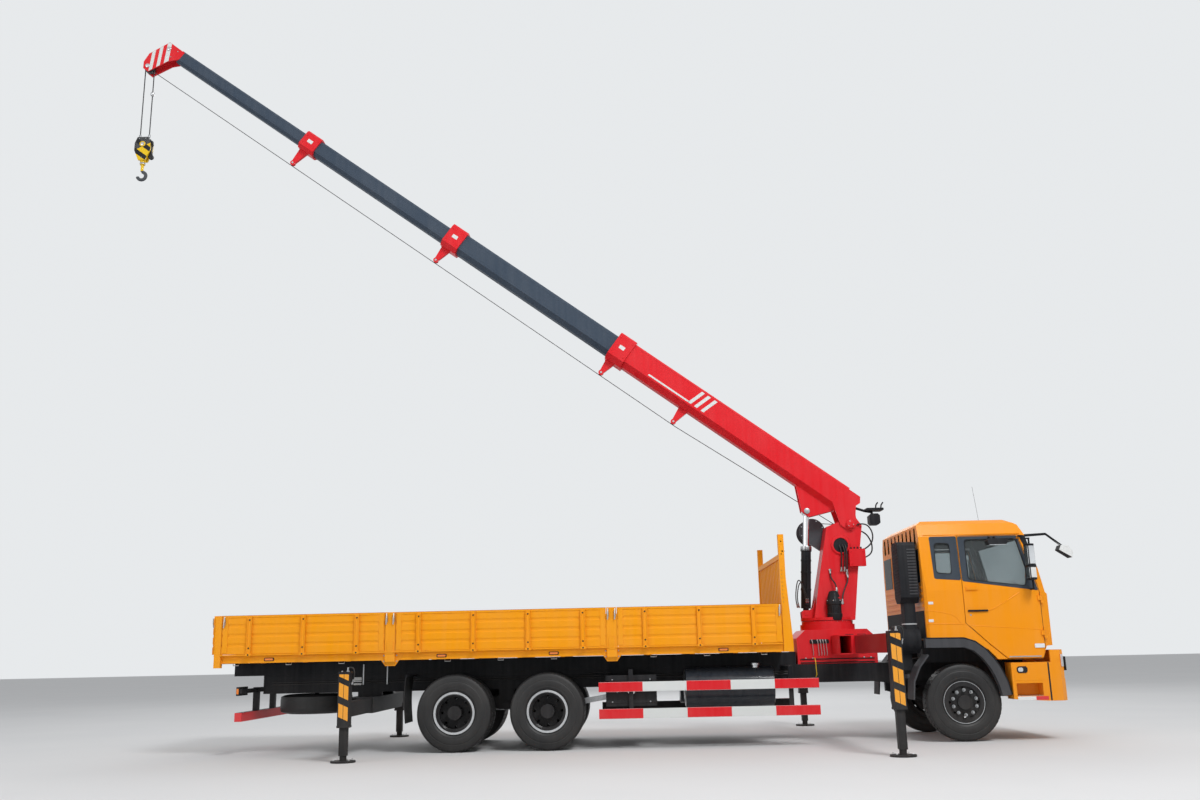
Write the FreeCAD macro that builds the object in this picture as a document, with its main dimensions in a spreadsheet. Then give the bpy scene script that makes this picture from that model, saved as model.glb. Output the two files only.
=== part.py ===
import FreeCAD, Part
import os
import re
import Sketcher

# Six-wheel flatbed truck with a telescopic loader crane behind the cab.
# Millimetres, +Z up, the cab looks along +X, the ground is at zero height.
# Lengths along the truck are counted from the front axle. The origin is on the ground
# under the middle of the whole outline, boom and hook included.

SIZES = [
    # alias, value, meaning
    ("front_axle_x", 5528, "origin to front axle"),
    ("first_rear_x", -5800, "front axle to first driven axle"),
    ("bogie_pitch", 1300, "between the two driven axles"),
    ("tyre_radius", 527, "loaded outer radius of a tyre"),
    ("tyre_wide", 278, "section width of a tyre"),
    ("rim_radius", 254, "bead seat radius"),
    ("flange_radius", 290, "rim flange radius"),
    ("tyre_fit", 0.3, "free space between tyre and rim"),
    ("rim_gauge", 12, "rim plate thickness"),
    ("disc_gauge", 14, "wheel disc thickness"),
    ("disc_offset", 85, "wheel disc from the middle of its wheel"),
    ("hub_bore", 138, "centre hole of the wheel disc"),
    ("hub_cap", 96, "radius of the hub end"),
    ("hand_hole", 18, "radius of a hole in the wheel disc"),
    ("drum_radius", 195, "brake drum radius"),
    ("stub_radius", 50, "front stub axle radius"),
    ("axle_radius", 75, "axle tube radius"),
    ("front_track", 1935, "between the middles of the front wheels"),
    ("twin_track", 1835, "between the middles of the twin pairs"),
    ("twin_pitch", 322, "between the two tyres of a twin pair"),
    ("kingpin_y", 760, "kingpin from the middle plane"),
    ("kingpin_radius", 32, "kingpin radius"),
    ("arm_gap", 8, "free space round moving chassis pieces"),
    ("rail_half", 430, "outer face of a frame rail from the middle"),
    ("rail_low", 820, "underside of the frame rails"),
    ("rail_tall", 260, "height of the frame rails"),
    ("rail_flange", 80, "flange width of the frame rails"),
    ("rail_web", 10, "web and flange thickness of the frame rails"),
    ("rail_rear", -10030, "rear end of the frame rails"),
    ("rail_front", 1095, "front end of the frame rails"),
    ("subframe_tall", 180, "height of the subframe beams"),
    ("subframe_rear", -10470, "rear end of the subframe"),
    ("subframe_front", -2200, "front end of the subframe"),
    ("bed_rear", -10490, "rear edge of the load floor"),
    ("bed_front", -2480, "front edge of the load floor"),
    ("bed_half", 1205, "half width of the load floor"),
    ("floor_top", 1375, "top of the load floor"),
    ("floor_plate", 30, "load floor thickness"),
    ("bearer_wide", 70, "width of a floor bearer"),
    ("side_rail_tall", 110, "height of the side rail"),
    ("side_rail_wide", 50, "width of the side rail"),
    ("board_tall", 535, "height of a drop side"),
    ("board_gauge", 40, "thickness of a drop side"),
    ("board_gap", 8, "gap round a drop side"),
    ("board_lift", 17, "lower edge of a drop side above the floor"),
    ("board_rib", 8, "depth of a pressed rib in a drop side"),
    ("stake_wide", 140, "length of a side stake along the truck"),
    ("stake_front_x", -4880, "middle of the front stake"),
    ("stake_rear_x", -8005, "middle of the rear stake"),
    ("corner_long", 90, "length of the rear corner post"),
    ("hinge_rib_wide", 56, "width of a hinge rib"),
    ("hinge_rib_deep", 12, "how far a hinge rib stands out"),
    ("hinge_rod", 9, "radius of the hinge rod of the drop sides"),
    ("hinge_fit", 0.4, "free space round the hinge rod"),
    ("lug_drop", 11, "how far a rod lug reaches below the floor"),
    ("lug_rise", 3, "how far a rod lug reaches above the floor"),
    ("headboard_top", 2900, "top of the headboard posts"),
    ("headboard_panel_top", 2550, "top of the corrugated panel"),
    ("headboard_post", 80, "headboard post size"),
    ("base_front", -1000, "front of the crane base"),
    ("base_rear", -2170, "rear of the crane base"),
    ("base_half", 420, "half width of the crane base"),
    ("base_top", 1570, "top of the crane base"),
    ("slew_x", -1630, "slewing axis"),
    ("ring_top", 1700, "top of the slewing ring"),
    ("ring_radius", 405, "slewing ring radius"),
    ("slew_gap", 6, "gap above the slewing ring"),
    ("column_half", 150, "half width of the column"),
    ("luff_pin_x", -1210, "boom pivot"),
    ("luff_pin_z", 3140, "boom pivot height"),
    ("luff_pin_radius", 45, "boom pivot pin radius"),
    ("boom_angle", 36.5, "boom above the level, as it stands"),
    ("base_boom_long", 4610, "pivot to the head of the base boom"),
    ("boom_low", 50, "underside of the base boom above the pivot"),
    ("boom_tall", 425, "height of the base boom"),
    ("boom_wide", 340, "width of the base boom"),
    ("boom_wall", 7, "wall of the boom sections"),
    ("second_low", 78, "underside of section two"),
    ("second_tall", 352, "height of section two"),
    ("second_wide", 290, "width of section two"),
    ("second_end", 7940, "outer end of section two from the pivot"),
    ("third_low", 99, "underside of section three"),
    ("third_tall", 272, "height of section three"),
    ("third_wide", 245, "width of section three"),
    ("third_end", 10980, "outer end of section three"),
    ("fourth_low", 117, "underside of section four"),
    ("fourth_tall", 220, "height of section four"),
    ("fourth_wide", 205, "width of section four"),
    ("fourth_end", 13750, "outer end of section four"),
    ("boom_overlap", 650, "length of a section left inside the next"),
    ("collar_long", 300, "length of a boom collar"),
    ("collar_proud", 28, "how far a collar stands out"),
    ("pad_fit", 0.5, "free space between a section and its wear pads"),
    ("bracket_out", 643, "boom pivot to the rod eye, along the boom"),
    ("bracket_drop", 190, "rod eye below the boom pivot, square to the boom"),
    ("head_out", 14060, "boom pivot to the head sheave"),
    ("head_drop", 235, "head sheave below the pivot, square to the boom"),
    ("sheave_radius", 83, "head sheave radius"),
    ("pin_fit", 0.4, "free space round a pin"),
    ("spigot_radius", 220, "centre pin of the column"),
    ("foot_pin_radius", 30, "foot pin radius"),
    ("fall_long", 1400, "length of the rope falls"),
    ("leg_stroke", 450, "how far a leg is drawn up"),
    ("slide_gap", 6, "free space of the wear pads"),
    ("foot_x", -1940, "foot pin of the luffing cylinder"),
    ("foot_z", 1820, "height of that pin"),
    ("rod_eye_x", -1840, "rod eye of the luffing cylinder"),
    ("rod_eye_z", 3370, "height of the rod eye"),
    ("barrel_radius", 75, "luffing cylinder barrel"),
    ("rod_radius", 45, "luffing cylinder rod"),
    ("eye_radius", 72, "rod eye radius"),
    ("eye_half", 50, "half width of the rod eye"),
    ("beam_long", 2280, "length of a front beam"),
    ("outrigger_x", -1370, "middle of the near front leg"),
    ("beam_pitch", 210, "between the beams of the two sides"),
    ("beam_wide", 160, "width of a front beam"),
    ("beam_low", 1225, "underside of a front beam"),
    ("beam_tall", 240, "height of a front beam"),
    ("front_reach", 3030, "front leg from the middle plane"),
    ("rear_beam_long", 1600, "length of a rear beam"),
    ("front_tube_half", 1065, "half length of the tubes of the front beams"),
    ("rear_tube_half", 1045, "half length of the tubes of the rear beams"),
    ("rear_leg_x", -8350, "middle of the near rear leg"),
    ("rear_beam_wide", 140, "width of a rear beam"),
    ("rear_beam_low", 560, "underside of a rear beam"),
    ("rear_beam_tall", 190, "height of a rear beam"),
    ("rear_reach", 2330, "rear leg from the middle plane"),
    ("leg_box", 150, "outer leg tube"),
    ("leg_wall", 8, "wall of the outer leg tube"),
    ("leg_inner", 100, "inner leg tube"),
    ("front_leg_top", 1490, "top of a front leg"),
    ("front_leg_low", 550, "lower end of a front leg tube"),
    ("rear_leg_top", 1130, "top of a rear leg"),
    ("rear_leg_low", 430, "lower end of a rear leg tube"),
    ("pad_radius", 160, "foot pad radius"),
    ("pad_tall", 24, "foot pad thickness"),
    ("cab_rear", -450, "rear wall of the cab"),
    ("cab_half", 1180, "half width of the cab"),
    ("cab_roof", 3070, "roof height"),
    ("cab_wall", 40, "cab wall thickness"),
    ("cab_floor", 1400, "underside of the cab floor"),
    ("screen_top_x", 1070, "top of the windscreen"),
    ("screen_top_z", 2820, "height of its top"),
    ("screen_low_x", 1270, "foot of the windscreen"),
    ("screen_low_z", 2010, "height of its foot"),
    ("nose_x", 1350, "front panel"),
    ("nose_low", 1280, "lower edge of the front panel"),
    ("door_rear_x", 100, "rear edge of a door"),
    ("door_front_x", 1170, "front edge of a door"),
    ("door_low", 1110, "lower edge of a door"),
    ("door_gap", 8, "gap round a door"),
    ("door_sill", 70, "depth of the lower edge of a door"),
    ("sill_rear", 380, "rear end of the cut below the sill"),
    ("sill_deep", 335, "inner edge of the cut below the sill"),
    ("belt_front", 2100, "belt line at the front of the door"),
    ("belt_rear", 2200, "belt line at the rear of the door"),
    ("window_top", 2780, "top of the side windows"),
    ("glass_gauge", 6, "window glass thickness"),
    ("door_pin", 8, "door hinge pin radius"),
    ("tilt_pin", 22, "tilt pin radius"),
    ("tilt_x", 1300, "tilt pivot of the cab"),
    ("tilt_z", 1000, "height of the tilt pivot"),
    ("bumper_front", 1440, "front of the bumper"),
    ("bumper_low", 530, "lower edge of the bumper"),
    ("bumper_top", 1215, "top of the bumper"),
    ("bumper_half", 1220, "half width of the bumper"),
    ("guard_half", 1225, "outer face of the side guard"),
    ("guard_bar", 130, "height of a side guard bar"),
    ("guard_front", -2020, "front end of the side guard"),
    ("guard_rear", -5080, "rear end of the side guard"),
    ("guard_low", 410, "underside of the lower side guard bar"),
    ("guard_high", 770, "underside of the upper side guard bar"),
    ("guard_deep", 45, "depth of a side guard bar"),
    ("guard_post", 60, "width of a side guard post"),
    ("underrun_low", 470, "underside of the rear bar"),
    ("underrun_top", 590, "top of the rear bar"),
    ("underrun_half", 1150, "half length of the rear bar"),
    ("tank_out", 800, "middle of the round tank from the middle plane"),
    ("tank_drop", 25, "middle of the round tank below the rails"),
    ("tank_radius", 275, "radius of the round tank"),
    ("tank_rear", -3850, "rear end of the round tank"),
    ("tank_front", -2610, "front end of the round tank"),
    ("strap_wide", 50, "width of a tank strap"),
    ("strap_gauge", 8, "thickness of a tank strap"),
    ("box_rear", -4980, "rear end of the square tank"),
    ("box_front", -4270, "front end of the square tank"),
    ("box_outer", 1130, "outer face of the square tank"),
    ("box_inner", 560, "inner face of the square tank"),
    ("box_low", 570, "underside of the square tank"),
    ("box_top", 990, "top of the square tank"),
    ("intake_outer", 1060, "outer face of the air intake"),
    ("intake_inner", 710, "inner face of the air intake"),
    ("intake_low", 1900, "underside of the intake housing"),
    ("intake_top", 2770, "top of the intake housing"),
    ("filter_radius", 190, "radius of the air filter"),
    ("filter_z", 1390, "middle of the air filter"),
    ("bumper_rear", 640, "rear end of the bumper's sides"),
    ("bumper_corner", 260, "width of the bumper's rounded corner"),
    ("step_rear", 700, "rear edge of a step"),
    ("step_front", 1060, "front edge of a step"),
    ("step_deep", 180, "depth of a step"),
    ("step_tall", 170, "height of the opening above a step"),
    ("step_low", 600, "tread of the lower step"),
    ("step_high", 830, "tread of the upper step"),
    ("lamp_inner", 700, "inner edge of a lamp pocket"),
    ("lamp_outer", 1060, "outer edge of a lamp pocket"),
    ("lamp_low", 850, "lower edge of a lamp pocket"),
    ("lamp_high", 1040, "upper edge of a lamp pocket"),
    ("shaft_rest", -3300, "bearing between the propeller shafts"),
    ("shaft_radius", 40, "radius of a propeller shaft"),
    ("case_radius", 190, "radius of an axle's middle case"),
    ("spring_wide", 80, "width of a leaf spring"),
    ("spring_in", 5, "leaf spring inside the rail's outer face"),
    ("slew_motor_radius", 75, "radius of the slewing motor"),
    ("access_radius", 85, "radius of the hose opening in the column"),
    ("access_lip", 20, "lip round the hose opening"),
    ("winch_radius", 200, "radius of a winch cheek"),
    ("winch_drum_radius", 130, "radius of the winch drum"),
    ("winch_motor_radius", 85, "radius of the winch motor"),
    ("cheek_gauge", 14, "thickness of a winch cheek"),
    ("winch_wide", 290, "distance between the winch cheeks"),
    ("pulley_radius", 42, "radius of a rope guide pulley"),
    ("top_sheave_radius", 85, "radius of the sheave on the boom head"),
    ("block_sheave_radius", 105, "radius of the sheave in the hook block"),
    ("hook_radius", 70, "middle radius of the hook"),
    ("hook_thick", 27, "radius of the hook's bar"),
    ("rope_fall", 9, "radius of a rope fall"),
    ("spare_x", -9350, "middle of the spare wheel"),
    ("spare_low", 520, "underside of the spare wheel"),
]

doc = FreeCAD.newDocument("TruckCrane")
sheet = doc.addObject("Spreadsheet::Sheet", "Sizes")
for row, (alias, value, meaning) in enumerate(SIZES, start=1):
    sheet.set(f"A{row}", meaning)
    sheet.set(f"B{row}", str(value))
    sheet.setAlias(f"B{row}", alias)
doc.recompute()

ALIASES = {alias for alias, value, meaning in SIZES}
NODES = []


def formula(text):
    """Turn a formula of size names into one that reads the sheet."""
    return re.sub(r"[a-z][a-z0-9_]*", lambda m: "Sizes." + m[0] if m[0] in ALIASES else m[0], str(text))


def bind(thing, **formulas):
    for prop, text in formulas.items():
        thing.setExpression(prop.replace("__", "."), formula(text))


def less(upper, lower):
    return f"({upper}) - ({lower})"


def box(x, y, z):
    """A block between two named places along each axis."""
    block = doc.addObject("Part::Box", "block")
    bind(block, Length=less(x[1], x[0]), Width=less(y[1], y[0]), Height=less(z[1], z[0]))
    bind(block, Placement__Base__x=x[0], Placement__Base__y=y[0], Placement__Base__z=z[0])
    return block


TURN = {"x": ((0, 1, 0), 90), "y": ((1, 0, 0), -90), "z": ((0, 0, 1), 0)}


def round_bar(axis, centre, radius, span):
    """A cylinder along one axis: centre is the pair of places across it."""
    bar = doc.addObject("Part::Cylinder", "bar")
    direction, angle = TURN[axis]
    bar.Placement = FreeCAD.Placement(FreeCAD.Vector(), FreeCAD.Rotation(FreeCAD.Vector(*direction), angle))
    places = list(centre)
    places.insert("xyz".index(axis), span[0])
    bind(bar, Radius=radius, Height=less(span[1], span[0]))
    bind(bar, Placement__Base__x=places[0], Placement__Base__y=places[1], Placement__Base__z=places[2])
    return bar


def lines(sketch, points):
    """A closed outline with every corner held by the sheet."""
    for place in range(len(points)):
        sketch.addGeometry(Part.LineSegment(FreeCAD.Vector(place, 0, 0), FreeCAD.Vector(place + 1, 1, 0)))
    for place, (across, up) in enumerate(points):
        following = (place + 1) % len(points)
        sketch.addConstraint(Sketcher.Constraint("Coincident", place, 2, following, 1))
    for place, (across, up) in enumerate(points):
        for kind, text in (("DistanceX", across), ("DistanceY", up)):
            number = sketch.addConstraint(Sketcher.Constraint(kind, -1, 1, place, 1, 1.0))
            sketch.setExpression(f"Constraints[{number}]", formula(text))


FACING = {"x": ((1, 1, 1), 120), "y": ((1, 0, 0), 90), "z": ((0, 0, 1), 0)}
ALONG = {"x": (1, 0, 0), "y": (0, 1, 0), "z": (0, 0, 1)}


def slab(axis, points, span):
    """An outline drawn across one axis and drawn out between two places along it."""
    sketch = doc.addObject("Sketcher::SketchObject", "outline")
    direction, angle = FACING[axis]
    sketch.Placement = FreeCAD.Placement(
        FreeCAD.Vector(),
        FreeCAD.Rotation(FreeCAD.Vector(*direction), angle),
    )
    sketch.setExpression(f"Placement.Base.{axis}", formula(span[0]))
    lines(sketch, points)
    slab_shape = doc.addObject("Part::Extrusion", "slab")
    slab_shape.Base = sketch
    slab_shape.DirMode = "Custom"
    slab_shape.Dir = FreeCAD.Vector(*ALONG[axis])
    slab_shape.Solid = True
    bind(slab_shape, LengthFwd=less(span[1], span[0]))
    return slab_shape


def mirrored(thing):
    """The same piece on the other side of the middle plane."""
    copy = doc.addObject("Part::Mirroring", "mirrored")
    copy.Source = thing
    copy.Normal = FreeCAD.Vector(0, 1, 0)
    return copy


def both(thing):
    return [thing, mirrored(thing)]


def union(things):
    """Pieces that touch grow together. Pieces that don't stay solids of their own."""
    if len(things) == 1:
        return things[0]
    joined = doc.addObject("Part::MultiFuse", "joined")
    joined.Shapes = things
    joined.Refine = True
    return joined


def cut(base, tools):
    result = doc.addObject("Part::Cut", "cut")
    result.Base = base
    result.Tool = union(tools)
    return result


def shared(things):
    result = doc.addObject("Part::MultiCommon", "shared")
    result.Shapes = things
    return result


def node(label, thing, x="front_axle_x", z="0", turned=None):
    """Name a finished piece and put it in its place on the truck."""
    piece = doc.addObject("Part::Compound", label)
    piece.Label = label
    piece.Links = [thing]
    NODES.append(piece)
    if turned:
        piece.Placement = FreeCAD.Placement(FreeCAD.Vector(), FreeCAD.Rotation(FreeCAD.Vector(0, 1, 0), 1))
        bind(piece, Placement__Rotation__Angle=turned)
    bind(piece, Placement__Base__x=x, Placement__Base__z=z)
    return piece


def copy_of(thing, moved):
    """A linked copy moved by formulas along the named axes."""
    copy = doc.addObject("Part::Compound", "copy")
    copy.Links = [thing]
    for axis, text in moved.items():
        copy.setExpression(f"Placement.Base.{axis}", formula(text))
    return copy


# Wheels: a revolved tyre on a revolved rim with hand holes in its disc.

def revolved(name, points):
    """A ring turned round its own middle: places are across the axle and out from it."""
    body = doc.addObject("PartDesign::Body", name)
    plane = [item for item in body.Origin.OriginFeatures if item.Role == "XY_Plane"][0]
    sketch = body.newObject("Sketcher::SketchObject", name + "_outline")
    sketch.AttachmentSupport = [(plane, "")]
    sketch.MapMode = "FlatFace"
    lines(sketch, [(out, across) for across, out in points])
    turn = body.newObject("PartDesign::Revolution", name + "_turn")
    turn.Profile = sketch
    turn.ReferenceAxis = (sketch, ["V_Axis"])
    turn.Angle = 360
    return body


def tyre_ring(name):
    return revolved(name, [
        ("-(tyre_wide * 0.37 - tyre_fit)", "rim_radius + tyre_fit"),
        ("tyre_wide * 0.37 - tyre_fit", "rim_radius + tyre_fit"),
        ("tyre_wide * 0.37 - tyre_fit", "flange_radius + 6"),
        ("tyre_wide * 0.47", "flange_radius + 30"),
        ("tyre_wide / 2", "(flange_radius + tyre_radius) / 2"),
        ("tyre_wide * 0.46", "tyre_radius - 55"),
        ("tyre_wide * 0.39", "tyre_radius - 8"),
        ("tyre_wide * 0.2", "tyre_radius"),
        ("-tyre_wide * 0.2", "tyre_radius"),
        ("-tyre_wide * 0.39", "tyre_radius - 8"),
        ("-tyre_wide * 0.46", "tyre_radius - 55"),
        ("-tyre_wide / 2", "(flange_radius + tyre_radius) / 2"),
        ("-tyre_wide * 0.47", "flange_radius + 30"),
        ("-(tyre_wide * 0.37 - tyre_fit)", "flange_radius + 6"),
    ])


def rim_ring(name, disc):
    """A drop-centre rim with its disc at one place across the wheel."""
    half = "tyre_wide * 0.37"
    body = revolved(name, [
        (f"-({half} + rim_gauge)", "flange_radius"),
        (f"-({half} + rim_gauge)", "rim_radius - rim_gauge"),
        ("-tyre_wide * 0.2", "rim_radius - rim_gauge"),
        ("-tyre_wide * 0.15", "rim_radius - 2 * rim_gauge - 12"),
        (f"({disc}) - disc_gauge / 2", "rim_radius - 2 * rim_gauge - 12"),
        (f"({disc}) - disc_gauge / 2", "hub_bore"),
        (f"({disc}) + disc_gauge / 2", "hub_bore"),
        (f"({disc}) + disc_gauge / 2", "rim_radius - 2 * rim_gauge - 12"),
        (f"({half} + rim_gauge)", "rim_radius - 2 * rim_gauge - 12"),
        (f"({half} + rim_gauge)", "flange_radius"),
        (half, "flange_radius"),
        (half, "rim_radius"),
        ("tyre_wide * 0.2", "rim_radius"),
        ("tyre_wide * 0.15", "rim_radius - rim_gauge - 12"),
        ("-tyre_wide * 0.15", "rim_radius - rim_gauge - 12"),
        ("-tyre_wide * 0.2", "rim_radius"),
        (f"-{half}", "rim_radius"),
        (f"-{half}", "flange_radius"),
    ])
    doc.recompute()
    holes = body.newObject("Sketcher::SketchObject", name + "_holes")
    plane = [item for item in body.Origin.OriginFeatures if item.Role == "XZ_Plane"][0]
    holes.AttachmentSupport = [(plane, "")]
    holes.MapMode = "FlatFace"
    holes.addGeometry(Part.Circle(FreeCAD.Vector(200, 0, 0), FreeCAD.Vector(0, 0, 1), 30))
    number = holes.addConstraint(Sketcher.Constraint("Radius", 0, 30))
    holes.setExpression(f"Constraints[{number}]", formula("hand_hole"))
    number = holes.addConstraint(Sketcher.Constraint("DistanceX", -1, 1, 0, 3, 200))
    holes.setExpression(f"Constraints[{number}]", formula("rim_radius - 2 * rim_gauge - 18 - hand_hole"))
    number = holes.addConstraint(Sketcher.Constraint("DistanceY", -1, 1, 0, 3, 0))
    pocket = body.newObject("PartDesign::Pocket", name + "_hole")
    pocket.Profile = holes
    pocket.Type = "ThroughAll"
    pocket.Midplane = True
    pattern = body.newObject("PartDesign::PolarPattern", name + "_ring_of_holes")
    pattern.Originals = [pocket]
    across = [item for item in body.Origin.OriginFeatures if item.Role == "Y_Axis"][0]
    pattern.Axis = (across, [""])
    pattern.Angle = 360
    pattern.Occurrences = 8
    body.Tip = pattern
    return body


tyre = tyre_ring("tyre_ring")
twin_rim = rim_ring("twin_rim", "disc_offset")
front_rim = mirrored(twin_rim)
doc.recompute()

WHEELS = [
    # name, place along the truck, twin
    ("front", "0", False),
    ("first_rear", "first_rear_x", True),
    ("second_rear", "first_rear_x - bogie_pitch", True),
]

for place, along, twin in WHEELS:
    if twin:
        tyres = union(both(copy_of(tyre, {"y": "-twin_pitch / 2"})))
        rims = both(copy_of(twin_rim, {"y": "-twin_pitch / 2"}))
        inner_disc = "twin_pitch / 2 - disc_offset + disc_gauge / 2"
        hub_drum = round_bar("y", ("0", "0"), "hub_bore + 2", (f"-({inner_disc})", inner_disc))
        hub_end = round_bar(
            "y",
            ("0", "0"),
            "hub_cap",
            ("-twin_pitch / 2 - tyre_wide * 0.3", f"-({inner_disc})"),
        )
        bore = round_bar("y", ("0", "0"), "axle_radius + pin_fit", ("-twin_pitch / 2", f"{inner_disc} + 5"))
        wheel = cut(union(rims + [hub_drum, hub_end]), [bore])
        track = "twin_track / 2"
    else:
        tyres = tyre
        hub_drum = round_bar(
            "y",
            ("0", "0"),
            "hub_bore + 2",
            ("-disc_offset - disc_gauge", "-disc_offset + 30"),
        )
        hub_end = round_bar("y", ("0", "0"), "hub_cap", ("-disc_offset - 70", "-disc_offset - disc_gauge"))
        bore = round_bar(
            "y",
            ("0", "0"),
            "stub_radius + pin_fit",
            ("-disc_offset - 40", "-disc_offset + 60"),
        )
        wheel = cut(union([front_rim, hub_drum, hub_end]), [bore])
        track = "front_track / 2"
    for side, sign in (("right", "-"), ("left", "")):
        for piece, source in (("tyre", tyres), ("wheel", wheel)):
            source = source if sign else mirrored(source)
            placed = doc.addObject("Part::Compound", "placed")
            placed.Links = [source]
            bind(placed, Placement__Base__y=f"{sign}({track})")
            node(f"{piece}_{place}_{side}", placed, f"front_axle_x + {along}", "tyre_radius")

# Chassis: the ladder frame, the axles, the drive line and what hangs from the rails.

rail_top = "rail_low + rail_tall"
subframe_top = "rail_low + rail_tall + subframe_tall"


def channel(span, height, low):
    """A rail with its open side towards the middle."""
    inner = "-(rail_half - rail_flange)"
    return slab("x", [
        ("-rail_half", low),
        (inner, low),
        (inner, f"{low} + rail_web"),
        ("-(rail_half - rail_web)", f"{low} + rail_web"),
        ("-(rail_half - rail_web)", f"{low} + {height} - rail_web"),
        (inner, f"{low} + {height} - rail_web"),
        (inner, f"{low} + {height}"),
        ("-rail_half", f"{low} + {height}"),
    ], span)


def cross_member(x, low, high):
    inner = "rail_half - rail_web"
    return box((f"({x}) - 60", f"({x}) + 60"), (f"-({inner})", inner), (low, high))


frame_parts = both(channel(("rail_rear", "rail_front"), "rail_tall", "rail_low"))
for x in (
    "rail_rear + 70",
    "spare_x",
    "first_rear_x - bogie_pitch / 2",
    "first_rear_x + 900",
    "shaft_rest",
    "rail_front - 60",
):
    frame_parts.append(cross_member(x, "rail_low + rail_web + 40", "rail_low + rail_tall - rail_web - 40"))
frame_parts += both(box(
    ("rail_front - 60", "tilt_x + 30"),
    ("-rail_half", "-rail_half + 20"),
    ("tilt_z - 35", "tilt_z + 35"),
))
frame_parts += both(round_bar(
    "y",
    ("tilt_x", "tilt_z"),
    "tilt_pin",
    ("-rail_half + 10", "-rail_half + 78"),
))
node("ladder_frame", union(frame_parts))

# The rear outrigger beams run side by side in one housing under the frame.

def beam_places(leg_x):
    """Middle of the near and of the far beam."""
    return {"right": leg_x, "left": f"({leg_x}) - beam_pitch"}


def beam_housing(leg_x, wide, low, tall, half):
    places = beam_places(leg_x)
    wall = "leg_wall + slide_gap"
    shell = box(
        (f"{places['left']} - {wide} / 2 - {wall}", f"{places['right']} + {wide} / 2 + {wall}"),
        (f"-({half})", half),
        (f"{low} - ({wall})", f"{low} + {tall} + {wall}"),
    )
    tunnels = [
        box(
            (f"{middle} - {wide} / 2 - pad_fit", f"{middle} + {wide} / 2 + pad_fit"),
            (f"-({half}) - 10", f"{half} + 10"),
            (f"{low} - pad_fit", f"{low} + {tall} + pad_fit"),
        )
        for middle in places.values()
    ]
    return cut(shell, tunnels)


rear_housing = beam_housing(
    "rear_leg_x",
    "rear_beam_wide",
    "rear_beam_low",
    "rear_beam_tall",
    "rear_tube_half",
)
housing_top = "rear_beam_low + rear_beam_tall + leg_wall + slide_gap"
hangers = both(box(
    ("rear_leg_x - beam_pitch - rear_beam_wide / 2", "rear_leg_x + rear_beam_wide / 2"),
    ("-rail_half", "-rail_half + rail_flange"),
    (housing_top, "rail_low"),
))
subframe_parts = both(box(
    ("subframe_rear", "subframe_front"),
    ("-rail_half", "-rail_half + rail_flange + 20"),
    (rail_top, subframe_top),
))
for x in ("subframe_rear + 60", "subframe_front - 60"):
    subframe_parts.append(box(
        (f"{x} - 60", f"{x} + 60"),
        ("-rail_half + rail_flange + 20", "rail_half - rail_flange - 20"),
        (f"{rail_top} + 30", f"{subframe_top} - 30"),
    ))
node("subframe", union(subframe_parts))
node("rear_outrigger_box", union([rear_housing] + hangers))

# Leaf springs are bowed packs: an arc outline drawn across the truck.

def leaf_pack(x, low, half_long, leaves, sag, thick):
    """A pack of leaves, thick in the middle, its ends bent up by the sag."""
    outline = [
        (f"{x} - {half_long}", f"{low} + {sag} + {thick}"),
        (f"{x} - {half_long} / 2", f"{low} + {sag} / 4 + {thick}"),
        (f"{x}", f"{low} + {thick}"),
        (f"{x} + {half_long} / 2", f"{low} + {sag} / 4 + {thick}"),
        (f"{x} + {half_long}", f"{low} + {sag} + {thick}"),
        (f"{x} + {half_long}", f"{low} + {sag} + {thick} - 16"),
        (f"{x} + {half_long} / 2", f"{low} + {sag} / 4 + {thick} - {leaves} * 8"),
        (f"{x} + {half_long} / 8", f"{low} - 12"),
        (f"{x} - {half_long} / 8", f"{low} - 12"),
        (f"{x} - {half_long} / 2", f"{low} + {sag} / 4 + {thick} - {leaves} * 8"),
        (f"{x} - {half_long}", f"{low} + {sag} + {thick} - 16"),
    ]
    return slab("y", outline, ("-rail_half + spring_in", "-rail_half + spring_in + spring_wide"))


front_beam = slab("x", [
    ("-kingpin_y", "tyre_radius + 55"),
    ("-kingpin_y", "tyre_radius - 55"),
    ("-(kingpin_y - 75)", "tyre_radius - 55"),
    ("-(rail_half + 30)", "tyre_radius - 150"),
    ("rail_half + 30", "tyre_radius - 150"),
    ("kingpin_y - 75", "tyre_radius - 55"),
    ("kingpin_y", "tyre_radius - 55"),
    ("kingpin_y", "tyre_radius + 55"),
    ("rail_half", "tyre_radius - 50"),
    ("-rail_half", "tyre_radius - 50"),
], ("-50", "50"))
kingpin_eyes = both(round_bar("z", ("0", "-kingpin_y"), "62", ("tyre_radius - 60", "tyre_radius + 60")))
kingpin_bores = both(round_bar(
    "z",
    ("0", "-kingpin_y"),
    "kingpin_radius + pin_fit",
    ("tyre_radius - 90", "tyre_radius + 90"),
))
front_beam = cut(union([front_beam] + kingpin_eyes), kingpin_bores)
front_springs = both(leaf_pack("0", "tyre_radius - 50", "720", "5", "130", "60"))
front_hangers = []
for x in ("-700", "700"):
    front_hangers += both(box(
        (f"{x} - 45", f"{x} + 45"),
        ("-rail_half + spring_in", "-rail_half + spring_in + spring_wide"),
        ("tyre_radius + 125", "rail_low"),
    ))
node("front_axle", union([front_beam] + front_springs + front_hangers))

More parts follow.
